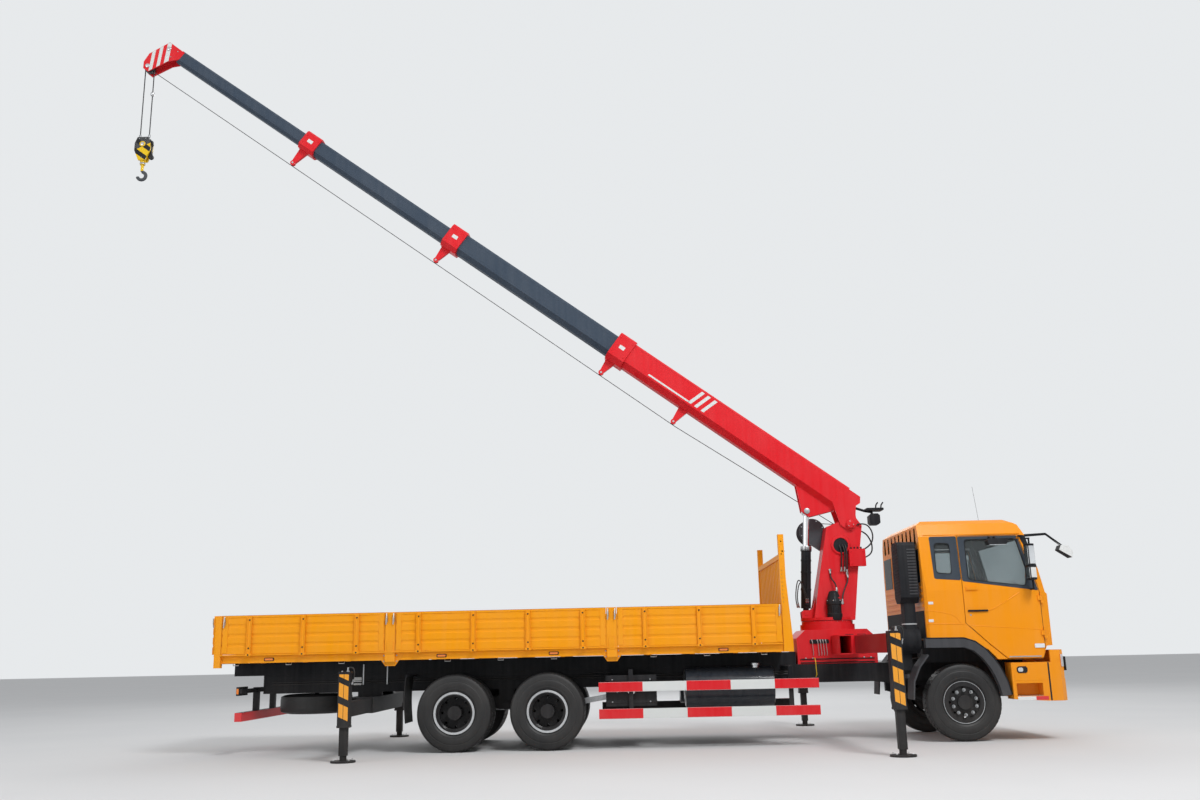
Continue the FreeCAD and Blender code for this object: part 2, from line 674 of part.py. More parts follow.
rear_axle_parts = []
for x in ("first_rear_x", "first_rear_x - bogie_pitch"):
    rear_axle_parts.append(round_bar(
        "y",
        (x, "tyre_radius"),
        "axle_radius",
        ("-(twin_track / 2 + twin_pitch / 2 - 10)", "twin_track / 2 + twin_pitch / 2 - 10"),
    ))
    hub_face = "twin_pitch / 2 - disc_offset + disc_gauge / 2 + arm_gap"
    rear_axle_parts += both(round_bar(
        "y",
        (x, "tyre_radius"),
        "drum_radius",
        (f"-(twin_track / 2 - {hub_face})", "-(twin_track / 2 - 250)"),
    ))
    rear_axle_parts.append(round_bar("y", (x, "tyre_radius"), "case_radius", ("-120", "120")))
    rear_axle_parts.append(box(
        (f"{x} - 60", f"{x} + 60"),
        ("-rail_half + spring_in", "-rail_half + spring_in + spring_wide"),
        ("tyre_radius + 60", "tyre_radius + 130"),
    ))
    rear_axle_parts.append(box(
        (f"{x} - 60", f"{x} + 60"),
        ("rail_half - spring_in - spring_wide", "rail_half - spring_in"),
        ("tyre_radius + 60", "tyre_radius + 130"),
    ))
bogie_x = "first_rear_x - bogie_pitch / 2"
rear_springs = slab("y", [
    (f"{bogie_x} - bogie_pitch / 2 - 90", "tyre_radius + 100"),
    (f"{bogie_x} - bogie_pitch / 2 - 90", "tyre_radius + 130"),
    (bogie_x, "tyre_radius + 200"),
    (f"{bogie_x} + bogie_pitch / 2 + 90", "tyre_radius + 130"),
    (f"{bogie_x} + bogie_pitch / 2 + 90", "tyre_radius + 100"),
    (f"{bogie_x} + bogie_pitch / 4", "tyre_radius + 70"),
    (f"{bogie_x} + 90", "tyre_radius + 10"),
    (f"{bogie_x} - 90", "tyre_radius + 10"),
    (f"{bogie_x} - bogie_pitch / 4", "tyre_radius + 70"),
], ("-rail_half + spring_in", "-rail_half + spring_in + spring_wide"))
trunnion = both(round_bar(
    "y",
    (bogie_x, "tyre_radius + 60"),
    "60",
    ("-rail_half - 30", "-rail_half + 170"),
))
saddle = box(
    (f"{bogie_x} - 110", f"{bogie_x} + 110"),
    ("-rail_half + spring_in", "-rail_half + spring_in + spring_wide"),
    ("tyre_radius + 190", "rail_low"),
)
node("rear_axles", union(rear_axle_parts + both(rear_springs) + trunnion + both(saddle)))

# Engine, gearbox and propeller shafts between the rails.

engine = slab("y", [
    ("-250", "rail_low + 60"),
    ("-150", "rail_low - 170"),
    ("420", "rail_low - 170"),
    ("620", "rail_low + 20"),
    ("880", "rail_low + 20"),
    ("880", "rail_low + rail_tall"),
    ("260", "rail_low + rail_tall"),
    ("200", "rail_low + rail_tall + 180"),
    ("-250", "rail_low + rail_tall + 180"),
], ("-260", "260"))
mounts = both(box(("300", "420"), ("-rail_half + rail_web", "-250"), ("rail_low + 60", "rail_low + 180")))
gearbox = slab("y", [
    ("-1250", "rail_low + 20"),
    ("-1250", "rail_low + 240"),
    ("-600", "rail_low + 270"),
    ("-240", "rail_low + 330"),
    ("-240", "rail_low - 90"),
    ("-600", "rail_low - 60"),
], ("-190", "190"))
gear_mounts = both(box(
    ("-1100", "-1000"),
    ("-rail_half + rail_web", "-180"),
    ("rail_low + 80", "rail_low + 160"),
))


def shaft(start, stop, radius):
    """A propeller shaft between two places in the middle plane."""
    tube = slab("y", [
        (start[0], f"{start[1]} - {radius}"),
        (start[0], f"{start[1]} + {radius}"),
        (stop[0], f"{stop[1]} + {radius}"),
        (stop[0], f"{stop[1]} - {radius}"),
    ], (f"-({radius})", radius))
    return tube


shafts = [
    shaft(("shaft_rest + 60", "rail_low + 100"), ("-1240", "rail_low + 130"), "shaft_radius"),
    shaft(
        ("first_rear_x + 190.3", "tyre_radius + 40"),
        ("shaft_rest - 60", "rail_low + 100"),
        "shaft_radius",
    ),
    shaft(
        ("first_rear_x - bogie_pitch + 190.3", "tyre_radius + 20"),
        ("first_rear_x - 190.3", "tyre_radius + 20"),
        "shaft_radius",
    ),
]
node("powertrain", union([engine, gearbox] + mounts + gear_mounts + shafts))

# Tanks hang from the rails on brackets: a round one and a square one on each side.

round_tank = round_bar(
    "x",
    ("-tank_out", "rail_low - tank_drop"),
    "tank_radius",
    ("tank_rear", "tank_front"),
)
straps = []
for x in ("tank_rear + 200", "(tank_rear + tank_front) / 2", "tank_front - 200"):
    straps.append(cut(
        round_bar(
            "x",
            ("-tank_out", "rail_low - tank_drop"),
            "tank_radius + strap_gauge",
            (f"{x} - strap_wide / 2", f"{x} + strap_wide / 2"),
        ),
        [round_bar(
            "x",
            ("-tank_out", "rail_low - tank_drop"),
            "tank_radius - 1",
            (f"{x} - strap_wide", f"{x} + strap_wide"),
        )],
    ))
    straps.append(box(
        (f"{x} - strap_wide / 2", f"{x} + strap_wide / 2"),
        ("-(tank_out - tank_radius + 15)", "-rail_half"),
        ("rail_low + 20", "rail_low + 150"),
    ))
box_tank = box(("box_rear", "box_front"), ("-box_outer", "-box_inner"), ("box_low", "box_top"))
box_brackets = [
    box(
        (f"{x} - strap_wide / 2", f"{x} + strap_wide / 2"),
        ("-box_inner - 10", "-rail_half"),
        ("rail_low + 20", "rail_low + 150"),
    )
    for x in ("box_rear + 130", "box_front - 130")
]
node("tanks", union(both(union([round_tank] + straps)) + both(union([box_tank] + box_brackets))))

# Side guards and the rear underrun bar.

guard_y = ("-guard_half", "-guard_half + guard_deep")
guard_bars = []
for low in ("guard_low", "guard_high"):
    guard_bars.append(box(("guard_rear", "guard_front"), guard_y, (low, f"{low} + guard_bar")))
for x in ("guard_rear + 450", "guard_front - 380"):
    guard_bars.append(box(
        (f"{x} - guard_post / 2", f"{x} + guard_post / 2"),
        ("-guard_half + guard_deep", "-guard_half + guard_deep + 50"),
        ("guard_low", "rail_low + 190"),
    ))
    guard_bars.append(box(
        (f"{x} - guard_post / 2", f"{x} + guard_post / 2"),
        ("-guard_half + guard_deep + 45", "-rail_half"),
        ("rail_low + 190", "rail_low + 250"),
    ))
    guard_bars.append(box(
        (f"{x} - guard_post / 2", f"{x} + guard_post / 2"),
        ("-guard_half + guard_deep", "-guard_half + guard_deep + 50"),
        ("rail_low + 189", "rail_low + 250"),
    ))

# Wheel guards of the front wheels stand on the frame behind the cab.

fender = slab("y", [
    ("-470", "1170"), ("-600", "1010"), ("-690", "820"), ("-715", "580"),
    ("-735", "580"), ("-712", "830"), ("-620", "1025"), ("-486", "1187"),
], ("-1230", "-900"))
fender_arm = box(("-715", "-680"), ("-920", "-rail_half"), ("rail_low + 40", "rail_low + 100"))
node("guards", union(both(union(guard_bars)) + both(union([fender, fender_arm]))))

underrun_x = "rail_rear - 110"
underrun = box(
    (f"{underrun_x} - 50", f"{underrun_x} + 50"),
    ("-underrun_half", "underrun_half"),
    ("underrun_low", "underrun_top"),
)
underrun_arms = both(box(
    (f"{underrun_x} - 40", f"{underrun_x} + 40"),
    ("-rail_half", "-rail_half + rail_flange"),
    ("underrun_top - 1", "rail_low + 100"),
))
underrun_arms += both(box(
    (f"{underrun_x} + 39", "rail_rear + 10"),
    ("-rail_half + rail_web + 2", "-rail_half + rail_flange"),
    ("rail_low + rail_web + 40", "rail_low + 100"),
))
lamp_bar = box(
    (f"{underrun_x} - 10", f"{underrun_x} + 30"),
    ("-underrun_half + 30", "underrun_half - 30"),
    ("rail_low + 30", "rail_low + 90"),
)
lamps = both(box(
    (f"{underrun_x} - 50", f"{underrun_x} - 9"),
    ("-underrun_half + 20", "-underrun_half + 390"),
    ("rail_low", "rail_low + 120"),
))
node("rear_guard", union([underrun, lamp_bar] + underrun_arms + lamps))

# The air intake stands behind the cab on a bracket from the rail.

intake_x = ("-750", "cab_rear - 40")
intake = slab("x", [
    ("-intake_outer", "intake_low + 80"),
    ("-intake_outer", "intake_top - 50"),
    ("-intake_outer + 50", "intake_top"),
    ("-intake_inner - 50", "intake_top"),
    ("-intake_inner", "intake_top - 50"),
    ("-intake_inner", "intake_low + 80"),
    ("-intake_inner - 80", "intake_low"),
    ("-intake_outer + 80", "intake_low"),
], intake_x)
duct = box(
    ("-700", "cab_rear - 90"),
    ("-intake_outer + 80", "-intake_inner - 80"),
    ("filter_z - 90", "intake_low + 1"),
)
filter_drum = round_bar(
    "x",
    ("-intake_outer + 200", "filter_z"),
    "filter_radius",
    ("-880", "cab_rear - 60"),
)
bracket = union([
    box(("-800", "-620"), ("-860", "-rail_half"), ("rail_low + 150", "rail_low + 250")),
    box(("-800", "-620"), ("-890", "-830"), ("rail_low + 150", "filter_z - 170")),
])
node("air_intake", union([intake, duct, filter_drum, bracket]))

# Bumper with rounded ends, steps below the doors and the lamps let into its face.

bumper_plan = [
    ("bumper_rear", "-bumper_half"),
    ("bumper_front - 110", "-bumper_half"),
    ("bumper_front - 30", "-bumper_half + 90"),
    ("bumper_front", "-bumper_half + bumper_corner"),
    ("bumper_front", "bumper_half - bumper_corner"),
    ("bumper_front - 30", "bumper_half - 90"),
    ("bumper_front - 110", "bumper_half"),
    ("bumper_rear", "bumper_half"),
    ("bumper_rear", "bumper_half - bumper_corner"),
    ("rail_front + 5", "bumper_half - bumper_corner"),
    ("rail_front + 5", "-bumper_half + bumper_corner"),
    ("bumper_rear", "-bumper_half + bumper_corner"),
]
bumper_side = [
    ("bumper_rear + 10", "bumper_low + 30"),
    ("1130", "bumper_low"),
    ("bumper_front", "bumper_low"),
    ("bumper_front", "760"),
    ("bumper_front - 40", "830"),
    ("bumper_front - 30", "1070"),
    ("bumper_front - 42", "bumper_top"),
    ("bumper_front - 90", "bumper_top"),
    ("bumper_front - 90", "lamp_high + 10"),
    ("bumper_rear + 10", "lamp_high + 10"),
]
bumper_body = shared([
    slab("z", bumper_plan, ("bumper_low", "bumper_top")),
    slab("y", bumper_side, ("-bumper_half", "bumper_half")),
])
step_pockets = []
for low in ("step_low", "step_high"):
    step_pockets += both(box(
        ("step_rear", "step_front"),
        ("-bumper_half - 5", "-bumper_half + step_deep"),
        (low, f"{low} + step_tall"),
    ))
lamp_pockets = both(box(
    ("bumper_front - 40", "bumper_front + 5"),
    ("-lamp_outer", "-lamp_inner"),
    ("lamp_low", "lamp_high"),
))
lamp_faces = both(box(
    ("bumper_front - 41", "bumper_front - 34"),
    ("-lamp_outer + 10", "-lamp_inner - 10"),
    ("lamp_low + 10", "lamp_high - 10"),
))
bumper_hollow = box(
    ("rail_front + 4", "bumper_front - 90"),
    ("-bumper_half + bumper_corner - 1", "bumper_half - bumper_corner + 1"),
    ("bumper_low + 40", "bumper_top + 5"),
)
bumper_arms = both(box(
    ("rail_front", "bumper_front - 80"),
    ("-rail_half + 10", "-rail_half + rail_flange"),
    ("rail_low + 10", "rail_low + 100"),
))
node(
    "front_bumper",
    union([cut(bumper_body, step_pockets + lamp_pockets + [bumper_hollow])] + lamp_faces + bumper_arms),
)

# Load bed: bearers across the subframe, the deck, side rails, stakes and corner posts.

deck_low = "floor_top - floor_plate"
board_outer = "-bed_half - board_gap - board_gauge"
hinge_y = "(-bed_half - board_gap - board_gauge - hinge_rib_deep + board_rib)"
hinge_x = "(bed_rear - board_gap - board_gauge - hinge_rib_deep + board_rib)"
stake_gap = "(stake_wide / 2 + board_gap)"
PANELS = [
    # rear end, front end, hinge ribs as shares of the length between
    ("bed_rear + corner_long + board_gap", f"stake_rear_x - {stake_gap}", (0.17, 0.5, 0.83)),
    (f"stake_rear_x + {stake_gap}", f"stake_front_x - {stake_gap}", (0.11, 0.37, 0.63, 0.89)),
    (f"stake_front_x + {stake_gap}", "bed_front - 10", (0.17, 0.5, 0.83)),
]


def rib_middles(first, last, shares):
    """Places of the hinge ribs of one panel."""
    return [f"({first} + ({last} - ({first})) * {share})" for share in shares]


TAIL_RIBS = ("-bed_half * 0.72", "0", "bed_half * 0.72")
bed_parts = [box(
    ("bed_rear", "bed_front"),
    ("-bed_half + side_rail_wide - 1", "bed_half - side_rail_wide + 1"),
    (deck_low, "floor_top"),
)]
bearer_count = 14
for place in range(bearer_count):
    middle = f"bed_rear + 60 + (bed_front - bed_rear - 120) * {place} / {bearer_count - 1}"
    bed_parts.append(box(
        (f"{middle} - bearer_wide / 2", f"{middle} + bearer_wide / 2"),
        ("-bed_half + side_rail_wide - 1", "bed_half - side_rail_wide + 1"),
        (subframe_top, f"{deck_low} + 1"),
    ))
bed_parts += both(box(
    ("bed_rear", "bed_front"),
    ("-bed_half", "-bed_half + side_rail_wide"),
    ("floor_top - side_rail_tall", "floor_top"),
))
bed_parts.append(box(
    ("bed_rear - 1", "bed_rear + 60"),
    ("-bed_half", "bed_half"),
    ("floor_top - side_rail_tall", "floor_top"),
))
bed_parts.append(box(
    ("bed_front - 60", "bed_front"),
    ("-bed_half", "bed_half"),
    ("floor_top - side_rail_tall", "floor_top"),
))
board_top = "(floor_top + board_lift + board_tall)"
for x in ("stake_front_x", "stake_rear_x"):
    bed_parts += both(box(
        (f"{x} - stake_wide / 2", f"{x} + stake_wide / 2"),
        (board_outer, "-bed_half + 30"),
        ("floor_top - 1", board_top),
    ))
    bed_parts += both(slab("x", [
        (board_outer, "floor_top + 1"), (board_outer, "floor_top - side_rail_tall - 20"),
        ("-bed_half + 10", "floor_top - side_rail_tall - 80"), ("-bed_half + 10", "floor_top + 1"),
    ], (f"{x} - stake_wide / 2", f"{x} + stake_wide / 2")))
    bed_parts += both(slab("y", [
        (f"{x} - stake_wide * 1.45", "floor_top - 2"), (f"{x} + stake_wide * 1.45", "floor_top - 2"),
        (
            f"{x} + stake_wide * 0.5",
            "floor_top - side_rail_tall - 80",
        ), (f"{x} - stake_wide * 0.5", "floor_top - side_rail_tall - 80"),
    ], ("-bed_half - 3", "-bed_half + 10")))
bed_parts += both(box(
    ("bed_rear - 1", "bed_rear + corner_long"),
    (board_outer, "-bed_half + 40"),
    ("floor_top - side_rail_tall - 60", board_top),
))

# A rod along each side, held by lugs, carries the drop sides. One at the rear carries the tailboard.

bed_parts += both(round_bar(
    "x",
    (hinge_y, "floor_top"),
    "hinge_rod",
    ("bed_rear + corner_long - 1", "bed_front - 8"),
))
bed_parts.append(round_bar("y", (hinge_x, "floor_top"), "hinge_rod", ("-bed_half + 100", "bed_half - 100")))
for first, last, shares in PANELS:
    for x in rib_middles(first, last, shares):
        bed_parts += both(box(
            (f"{x} + hinge_rib_wide / 2 + 4", f"{x} + hinge_rib_wide / 2 + 18"),
            (f"{hinge_y} - hinge_rod", "-bed_half + 1"),
            ("floor_top - lug_drop", "floor_top + lug_rise"),
        ))
for y in TAIL_RIBS:
    bed_parts.append(box(
        (f"{hinge_x} - hinge_rod", "bed_rear + 1"),
        (f"{y} + hinge_rib_wide / 2 + 4", f"{y} + hinge_rib_wide / 2 + 18"),
        ("floor_top - lug_drop", "floor_top + lug_rise"),
    ))
node("load_bed", union(bed_parts))

# Drop sides: pressed ribs along each panel and upright hinge ribs with eyes on the rod.

RIB_COUNT = 4


def board_profile(inner):
    """Section of a drop side, drawn from its inner face outwards and up."""
    low = "floor_top + board_lift"
    pitch = f"board_tall / {RIB_COUNT}"
    face = f"{inner} - board_gauge"
    valley = f"{inner} - board_gauge + board_rib"
    points = [(inner, low), (face, low)]
    for rib in range(RIB_COUNT):
        foot = f"{low} + {pitch} * {rib}"
        if rib:
            points.append((face, f"{foot} + {pitch} * 0.14"))
        points.append((face, f"{foot} + {pitch} * 0.72"))
        points.append((valley, f"{foot} + {pitch} * 0.82"))
        points.append((valley, f"{foot} + {pitch} * 0.98"))
    points.append((face, f"{low} + board_tall"))
    points.append((inner, f"{low} + board_tall"))
    return points


for number, (first, last, shares) in enumerate(PANELS, start=1):
    parts = [slab("x", board_profile("-bed_half - board_gap"), (first, last))]
    bores = []
    for x in rib_middles(first, last, shares):
        rib_span = (f"{x} - hinge_rib_wide / 2", f"{x} + hinge_rib_wide / 2")
        parts.append(box(
            rib_span,
            (hinge_y, "-bed_half - board_gap - board_gauge + board_rib + 4"),
            ("floor_top", f"{board_top} - 20"),
        ))
        parts.append(round_bar("x", (hinge_y, "floor_top"), "hinge_rod + 9", rib_span))
        bores.append(round_bar(
            "x",
            (hinge_y, "floor_top"),
            "hinge_rod + hinge_fit",
            (f"{x} - hinge_rib_wide", f"{x} + hinge_rib_wide"),
        ))
    panel = cut(union(parts), bores)
    node(f"drop_side_right_{number}", panel)
    node(f"drop_side_left_{number}", mirrored(panel))

tail_parts = [slab("y", board_profile("bed_rear - board_gap"), ("-bed_half + 2", "bed_half - 2"))]
tail_bores = []
for y in TAIL_RIBS:
    rib_span = (f"{y} - hinge_rib_wide / 2", f"{y} + hinge_rib_wide / 2")
    tail_parts.append(box(
        (hinge_x, "bed_rear - board_gap - board_gauge + board_rib + 4"),
        rib_span,
        ("floor_top", f"{board_top} - 20"),
    ))
    tail_parts.append(round_bar("y", (hinge_x, "floor_top"), "hinge_rod + 9", rib_span))
    tail_bores.append(round_bar(
        "y",
        (hinge_x, "floor_top"),
        "hinge_rod + hinge_fit",
        (f"{y} - hinge_rib_wide", f"{y} + hinge_rib_wide"),
    ))
node("tailboard", cut(union(tail_parts), tail_bores))

# Headboard: two posts, a corrugated panel pressed in upright ribs and cross rails.

post_x = ("bed_front + 2", "bed_front + 2 + headboard_post")
posts = both(slab("y", [
    ("bed_front + 2", "floor_top - side_rail_tall"),
    ("bed_front + 2 + headboard_post * 1.7", "floor_top - side_rail_tall"),
    ("bed_front + 2 + headboard_post * 1.7", "floor_top"),
    ("bed_front + 2 + headboard_post", "headboard_panel_top - 250"),
    ("bed_front + 2 + headboard_post", "headboard_top"),
    ("bed_front + 2", "headboard_top"),
], ("-bed_half - 40", "-bed_half - 40 + headboard_post")))
CORRUGATIONS = 14
panel_half = "(bed_half + 40 - headboard_post + 1)"
front_face = []
rear_face = []
for place in range(CORRUGATIONS):
    start = f"-{panel_half} + 2 * {panel_half} * {place} / {CORRUGATIONS}"
    pitch = f"2 * {panel_half} / {CORRUGATIONS}"
    for share, depth in ((0.0, 12), (0.35, 12), (0.5, 42), (0.85, 42)):
        front_face.append((f"bed_front + 2 + {depth} + 10", f"{start} + {pitch} * {share}"))
        rear_face.append((f"bed_front + 2 + {depth}", f"{start} + {pitch} * {share}"))
front_face.append(("bed_front + 24", panel_half))
rear_face.append(("bed_front + 14", panel_half))
corrugated = slab("z", front_face + rear_face[::-1], ("floor_top - 60", "headboard_panel_top"))
rails = [
    box(post_x, (f"-{panel_half}", panel_half), (low, f"{low} + 70"))
    for low in ("headboard_panel_top - 1", "floor_top - side_rail_tall")
]
sill = box(
    ("bed_front", "bed_front + 3"),
    ("-bed_half", "bed_half"),
    ("floor_top - side_rail_tall", "floor_top - 40"),
)
node("headboard", union(posts + [corrugated, sill] + rails))

# Spare wheel, lying flat below the frame in a cradle.

spare = union([copy_of(tyre, {}), copy_of(front_rim, {})])
lying = doc.addObject("Part::Compound", "lying_spare")
lying.Links = [spare]
lying.Placement = FreeCAD.Placement(FreeCAD.Vector(), FreeCAD.Rotation(FreeCAD.Vector(1, 0, 0), -90))
bind(lying, Placement__Base__x="spare_x", Placement__Base__z="spare_low + tyre_wide / 2")
disc_top = "spare_low + tyre_wide / 2 + disc_offset + disc_gauge / 2"
spare_plate = round_bar("z", ("spare_x", "0"), "hub_bore + 20", (f"{disc_top} - 1", f"{disc_top} + 20"))
spare_post = round_bar("z", ("spare_x", "0"), "30", (f"{disc_top} + 19", "rail_low + rail_web + 40"))
node("spare_wheel", union([lying, spare_post, spare_plate]))

# Crane base on the frame, with the slewing ring and the box of the front outriggers.

front_housing = beam_housing("outrigger_x", "beam_wide", "beam_low", "beam_tall", "front_tube_half")
base_shell = slab("y", [
    ("base_rear", "rail_low + rail_tall"),
    ("base_front", "rail_low + rail_tall"),
    ("base_front", "base_top - 120"),
    ("base_front - 130", "base_top"),
    ("base_rear + 130", "base_top"),
    ("base_rear", "base_top - 120"),
], ("-base_half", "base_half"))
beams_clear = [
    box(
        (f"{middle} - beam_wide / 2 - slide_gap", f"{middle} + beam_wide / 2 + slide_gap"),
        ("-bed_half", "bed_half"),
        ("beam_low - slide_gap", "beam_low + beam_tall + slide_gap"),
    )
    for middle in beam_places("outrigger_x").values()
]
ring = round_bar("z", ("slew_x", "0"), "ring_radius", ("base_top - 1", "ring_top - 50"))
ring_teeth = round_bar("z", ("slew_x", "0"), "ring_radius - 25", ("ring_top - 51", "ring_top"))
ring_bore = round_bar("z", ("slew_x", "0"), "spigot_radius + pin_fit", ("base_top - 20", "ring_top + 5"))
base_solid = union([cut(base_shell, beams_clear), front_housing, ring, ring_teeth])
node("crane_base", cut(base_solid, [ring_bore]))

# Column: a welded box, wide below, that carries the boom pivot and the foot of the cylinder.

column_low = "ring_top + slew_gap"
column_body = slab("y", [
    ("slew_x - 230", column_low),
    ("slew_x + 380", column_low),
    ("luff_pin_x + 180", "luff_pin_z - 20"),
    ("luff_pin_x + 100", "luff_pin_z + 100"),
    ("luff_pin_x", "luff_pin_z + 112"),
    ("luff_pin_x - 360", "luff_pin_z - 30"),
], ("-column_half", "column_half"))
column_taper = slab("x", [
    ("-column_half - 90", column_low),
    ("column_half + 90", column_low),
    ("column_half", "ring_top + 700"),
    ("column_half", "luff_pin_z + 200"),
    ("-column_half", "luff_pin_z + 200"),
    ("-column_half", "ring_top + 700"),
], ("slew_x - 400", "slew_x + 800"))
column_wide = slab("y", [
    ("slew_x - 230", column_low),
    ("slew_x + 380", column_low),
    ("luff_pin_x + 180", "luff_pin_z - 20"),
    ("luff_pin_x - 360", "luff_pin_z - 30"),
], ("-column_half - 90", "column_half + 90"))
flare = shared([column_wide, column_taper])
flange = round_bar("z", ("slew_x", "0"), "ring_radius - 15", (column_low, f"{column_low} + 42"))
spigot = round_bar("z", ("slew_x", "0"), "spigot_radius", ("ring_top - 70", f"{column_low} + 1"))
luff_pin = round_bar(
    "y",
    ("luff_pin_x", "luff_pin_z"),
    "luff_pin_radius",
    ("-boom_wide / 2 - 30", "boom_wide / 2 + 30"),
)
pin_heads = both(round_bar(
    "y",
    ("luff_pin_x", "luff_pin_z"),
    "luff_pin_radius + 22",
    ("-boom_wide / 2 - 42", "-boom_wide / 2 - 24"),
))
foot_ears = both(slab("y", [
    ("slew_x - 190", f"{column_low} + 20"),
    ("foot_x - 70", f"{column_low} + 45"),
    ("foot_x - 75", "foot_z + 20"),
    ("foot_x - 40", "foot_z + 46"),
    ("foot_x + 40", "foot_z + 46"),
    ("foot_x + 92", "foot_z + 70"),
    ("slew_x - 130", "foot_z + 330"),
], ("-eye_half - 30", "-eye_half - 8")))
foot_pin = round_bar("y", ("foot_x", "foot_z"), "foot_pin_radius", ("-eye_half - 40", "eye_half + 40"))
motor = round_bar(
    "z",
    ("slew_x + 90", "-column_half - 150"),
    "slew_motor_radius",
    (f"{column_low} + 50", f"{column_low} + 330"),
)
motor_arm = box(
    ("slew_x + 30", "slew_x + 150"),
    ("-column_half - 160", "-column_half + 10"),
    (f"{column_low} + 41", f"{column_low} + 110"),
)
access = round_bar(
    "y",
    ("luff_pin_x - 165", "luff_pin_z - 315"),
    "access_radius + access_lip",
    ("-column_half - 12", "-column_half + 60"),
)
access_hole = round_bar(
    "y",
    ("luff_pin_x - 165", "luff_pin_z - 315"),
    "access_radius",
    ("-column_half - 20", "-column_half + 70"),
)
valve_block = box(
    ("luff_pin_x - 60", "luff_pin_x + 185"),
    ("-column_half - 90", "-column_half + 5"),
    ("luff_pin_z - 640", "luff_pin_z - 380"),
)
column_solid = union([column_body, flare, flange, spigot, access])
pin_bits = [luff_pin, foot_pin, motor, motor_arm, valve_block] + pin_heads + foot_ears
node("crane_column", union([cut(column_solid, [access_hole])] + pin_bits))

# Winch on the far side of the column, its drum across the truck.

winch_x = "slew_x - 105"
winch_z = "luff_pin_z - 60"
winch_cheeks = [
    round_bar("y", (winch_x, winch_z), "winch_radius", (first, f"{first} + cheek_gauge"))
    for first in ("column_half + 40", "column_half + 40 + winch_wide")
]
winch_drum = round_bar(
    "y",
    (winch_x, winch_z),
    "winch_drum_radius",
    ("column_half + 41", "column_half + 41 + winch_wide"),
)
winch_motor = round_bar(
    "y",
    (winch_x, winch_z),
    "winch_motor_radius",
    ("column_half + 53 + winch_wide", "column_half + 130 + winch_wide"),
)
winch_foot = slab("y", [
    (f"{winch_x} - 60", f"{winch_z} - 190"),
    (f"{winch_x} + 260", f"{winch_z} - 420"),
    (f"{winch_x} + 300", f"{winch_z} - 160"),
    (f"{winch_x} + 120", f"{winch_z} - 100"),
], ("column_half", "column_half + 60"))
node("winch", union(winch_cheeks + [winch_drum, winch_motor, winch_foot]))

# The boom is drawn level, its pivot at the zero point and its head towards the rear.

def boom_outline(wide, low, tall, grow):
    """Section of the boom with its lower corners cut away."""
    half = f"({wide} / 2 + {grow})"
    bottom = f"({low} - {grow})"
    top = f"({low} + {tall} + {grow})"
    bevel = f"{wide} * 0.27"
    return [
        (f"-{half} + {bevel}", bottom),
        (f"{half} - {bevel}", bottom),
        (half, f"{bottom} + {tall} * 0.2"),
        (half, f"{top} - 30"),
        (f"{half} - 30", top),
        (f"-{half} + 30", top),
        (f"-{half}", f"{top} - 30"),
        (f"-{half}", f"{bottom} + {tall} * 0.2"),
    ]


def boom_tube(size, span):
    wide, low, tall = size
    return cut(
        slab("x", boom_outline(wide, low, tall, "0"), span),
        [slab("x", boom_outline(wide, low, tall, "(-boom_wall)"), (f"{span[0]} - 5", f"{span[1]} + 5"))],
    )


def collar(size, inner, end):
    """The reinforced head of a section, whose pads guide the next one."""
    wide, low, tall = size
    outside = slab(
        "x",
        boom_outline(wide, low, tall, "collar_proud"),
        (f"-({end})", f"-({end}) + collar_long"),
    )
    return cut(
        outside,
        [slab("x", boom_outline(*inner, "pad_fit"), (f"-({end}) - 5", f"-({end}) + collar_long + 5"))],
    )


def rope_guide(low, end):
    """A small pulley in a bracket under a collar."""
    plate = slab("y", [
        (f"-({end}) + 20", low),
        (f"-({end}) + 180", low),
        (f"-({end}) + 110", "-200"),
        (f"-({end}) + 50", "-200"),
    ], ("-26", "26"))
    return union([plate, round_bar("y", (f"-({end}) + 80", "-195"), "pulley_radius", ("-30", "30"))])


BASE = ("boom_wide", "boom_low", "boom_tall")
SECOND = ("second_wide", "second_low", "second_tall")
THIRD = ("third_wide", "third_low", "third_tall")
FOURTH = ("fourth_wide", "fourth_low", "fourth_tall")
in_boom = dict(x="front_axle_x + luff_pin_x", z="luff_pin_z", turned="boom_angle")

foot_plates = cut(
    union(both(slab("y", [
        ("-100", "boom_low + boom_tall - 30"),
        ("-50", "360"),
        ("-80", "290"),
        ("-10", "170"),
        ("85", "60"),
        ("85", "-60"),
        ("10", "-95"),
        ("-120", "-90"),
        ("-420", "boom_low + 90"),
        ("-420", "boom_low + boom_tall - 30"),
    ], ("-boom_wide / 2 - 6", "-boom_wide / 2 + 10")))),
    [round_bar("y", ("0", "0"), "luff_pin_radius + pin_fit", ("-boom_wide", "boom_wide"))],
)
eye_ears = both(slab("y", [
    ("-bracket_out + 330", "boom_low + 2"),
    ("-bracket_out + 80", "-bracket_drop - 55"),
    ("-bracket_out - 60", "-bracket_drop - 55"),
    ("-bracket_out - 360", "boom_low + 2"),
], ("-eye_half - 30", "-eye_half - 8")))
end_cap = box(
    ("-306", "-298"),
    ("-boom_wide / 2 + 35", "boom_wide / 2 - 35"),
    ("boom_low + 100", "boom_low + boom_tall - 4"),
)
base_parts = [
    boom_tube(BASE, ("-base_boom_long", "-300")),
    collar(BASE, SECOND, "base_boom_long"),
    rope_guide("boom_low - collar_proud + 1", "base_boom_long"),
    rope_guide("boom_low + 1", "base_boom_long - 1400"),
    foot_plates,
    end_cap,
]
node("boom_base", union(base_parts + eye_ears), **in_boom)

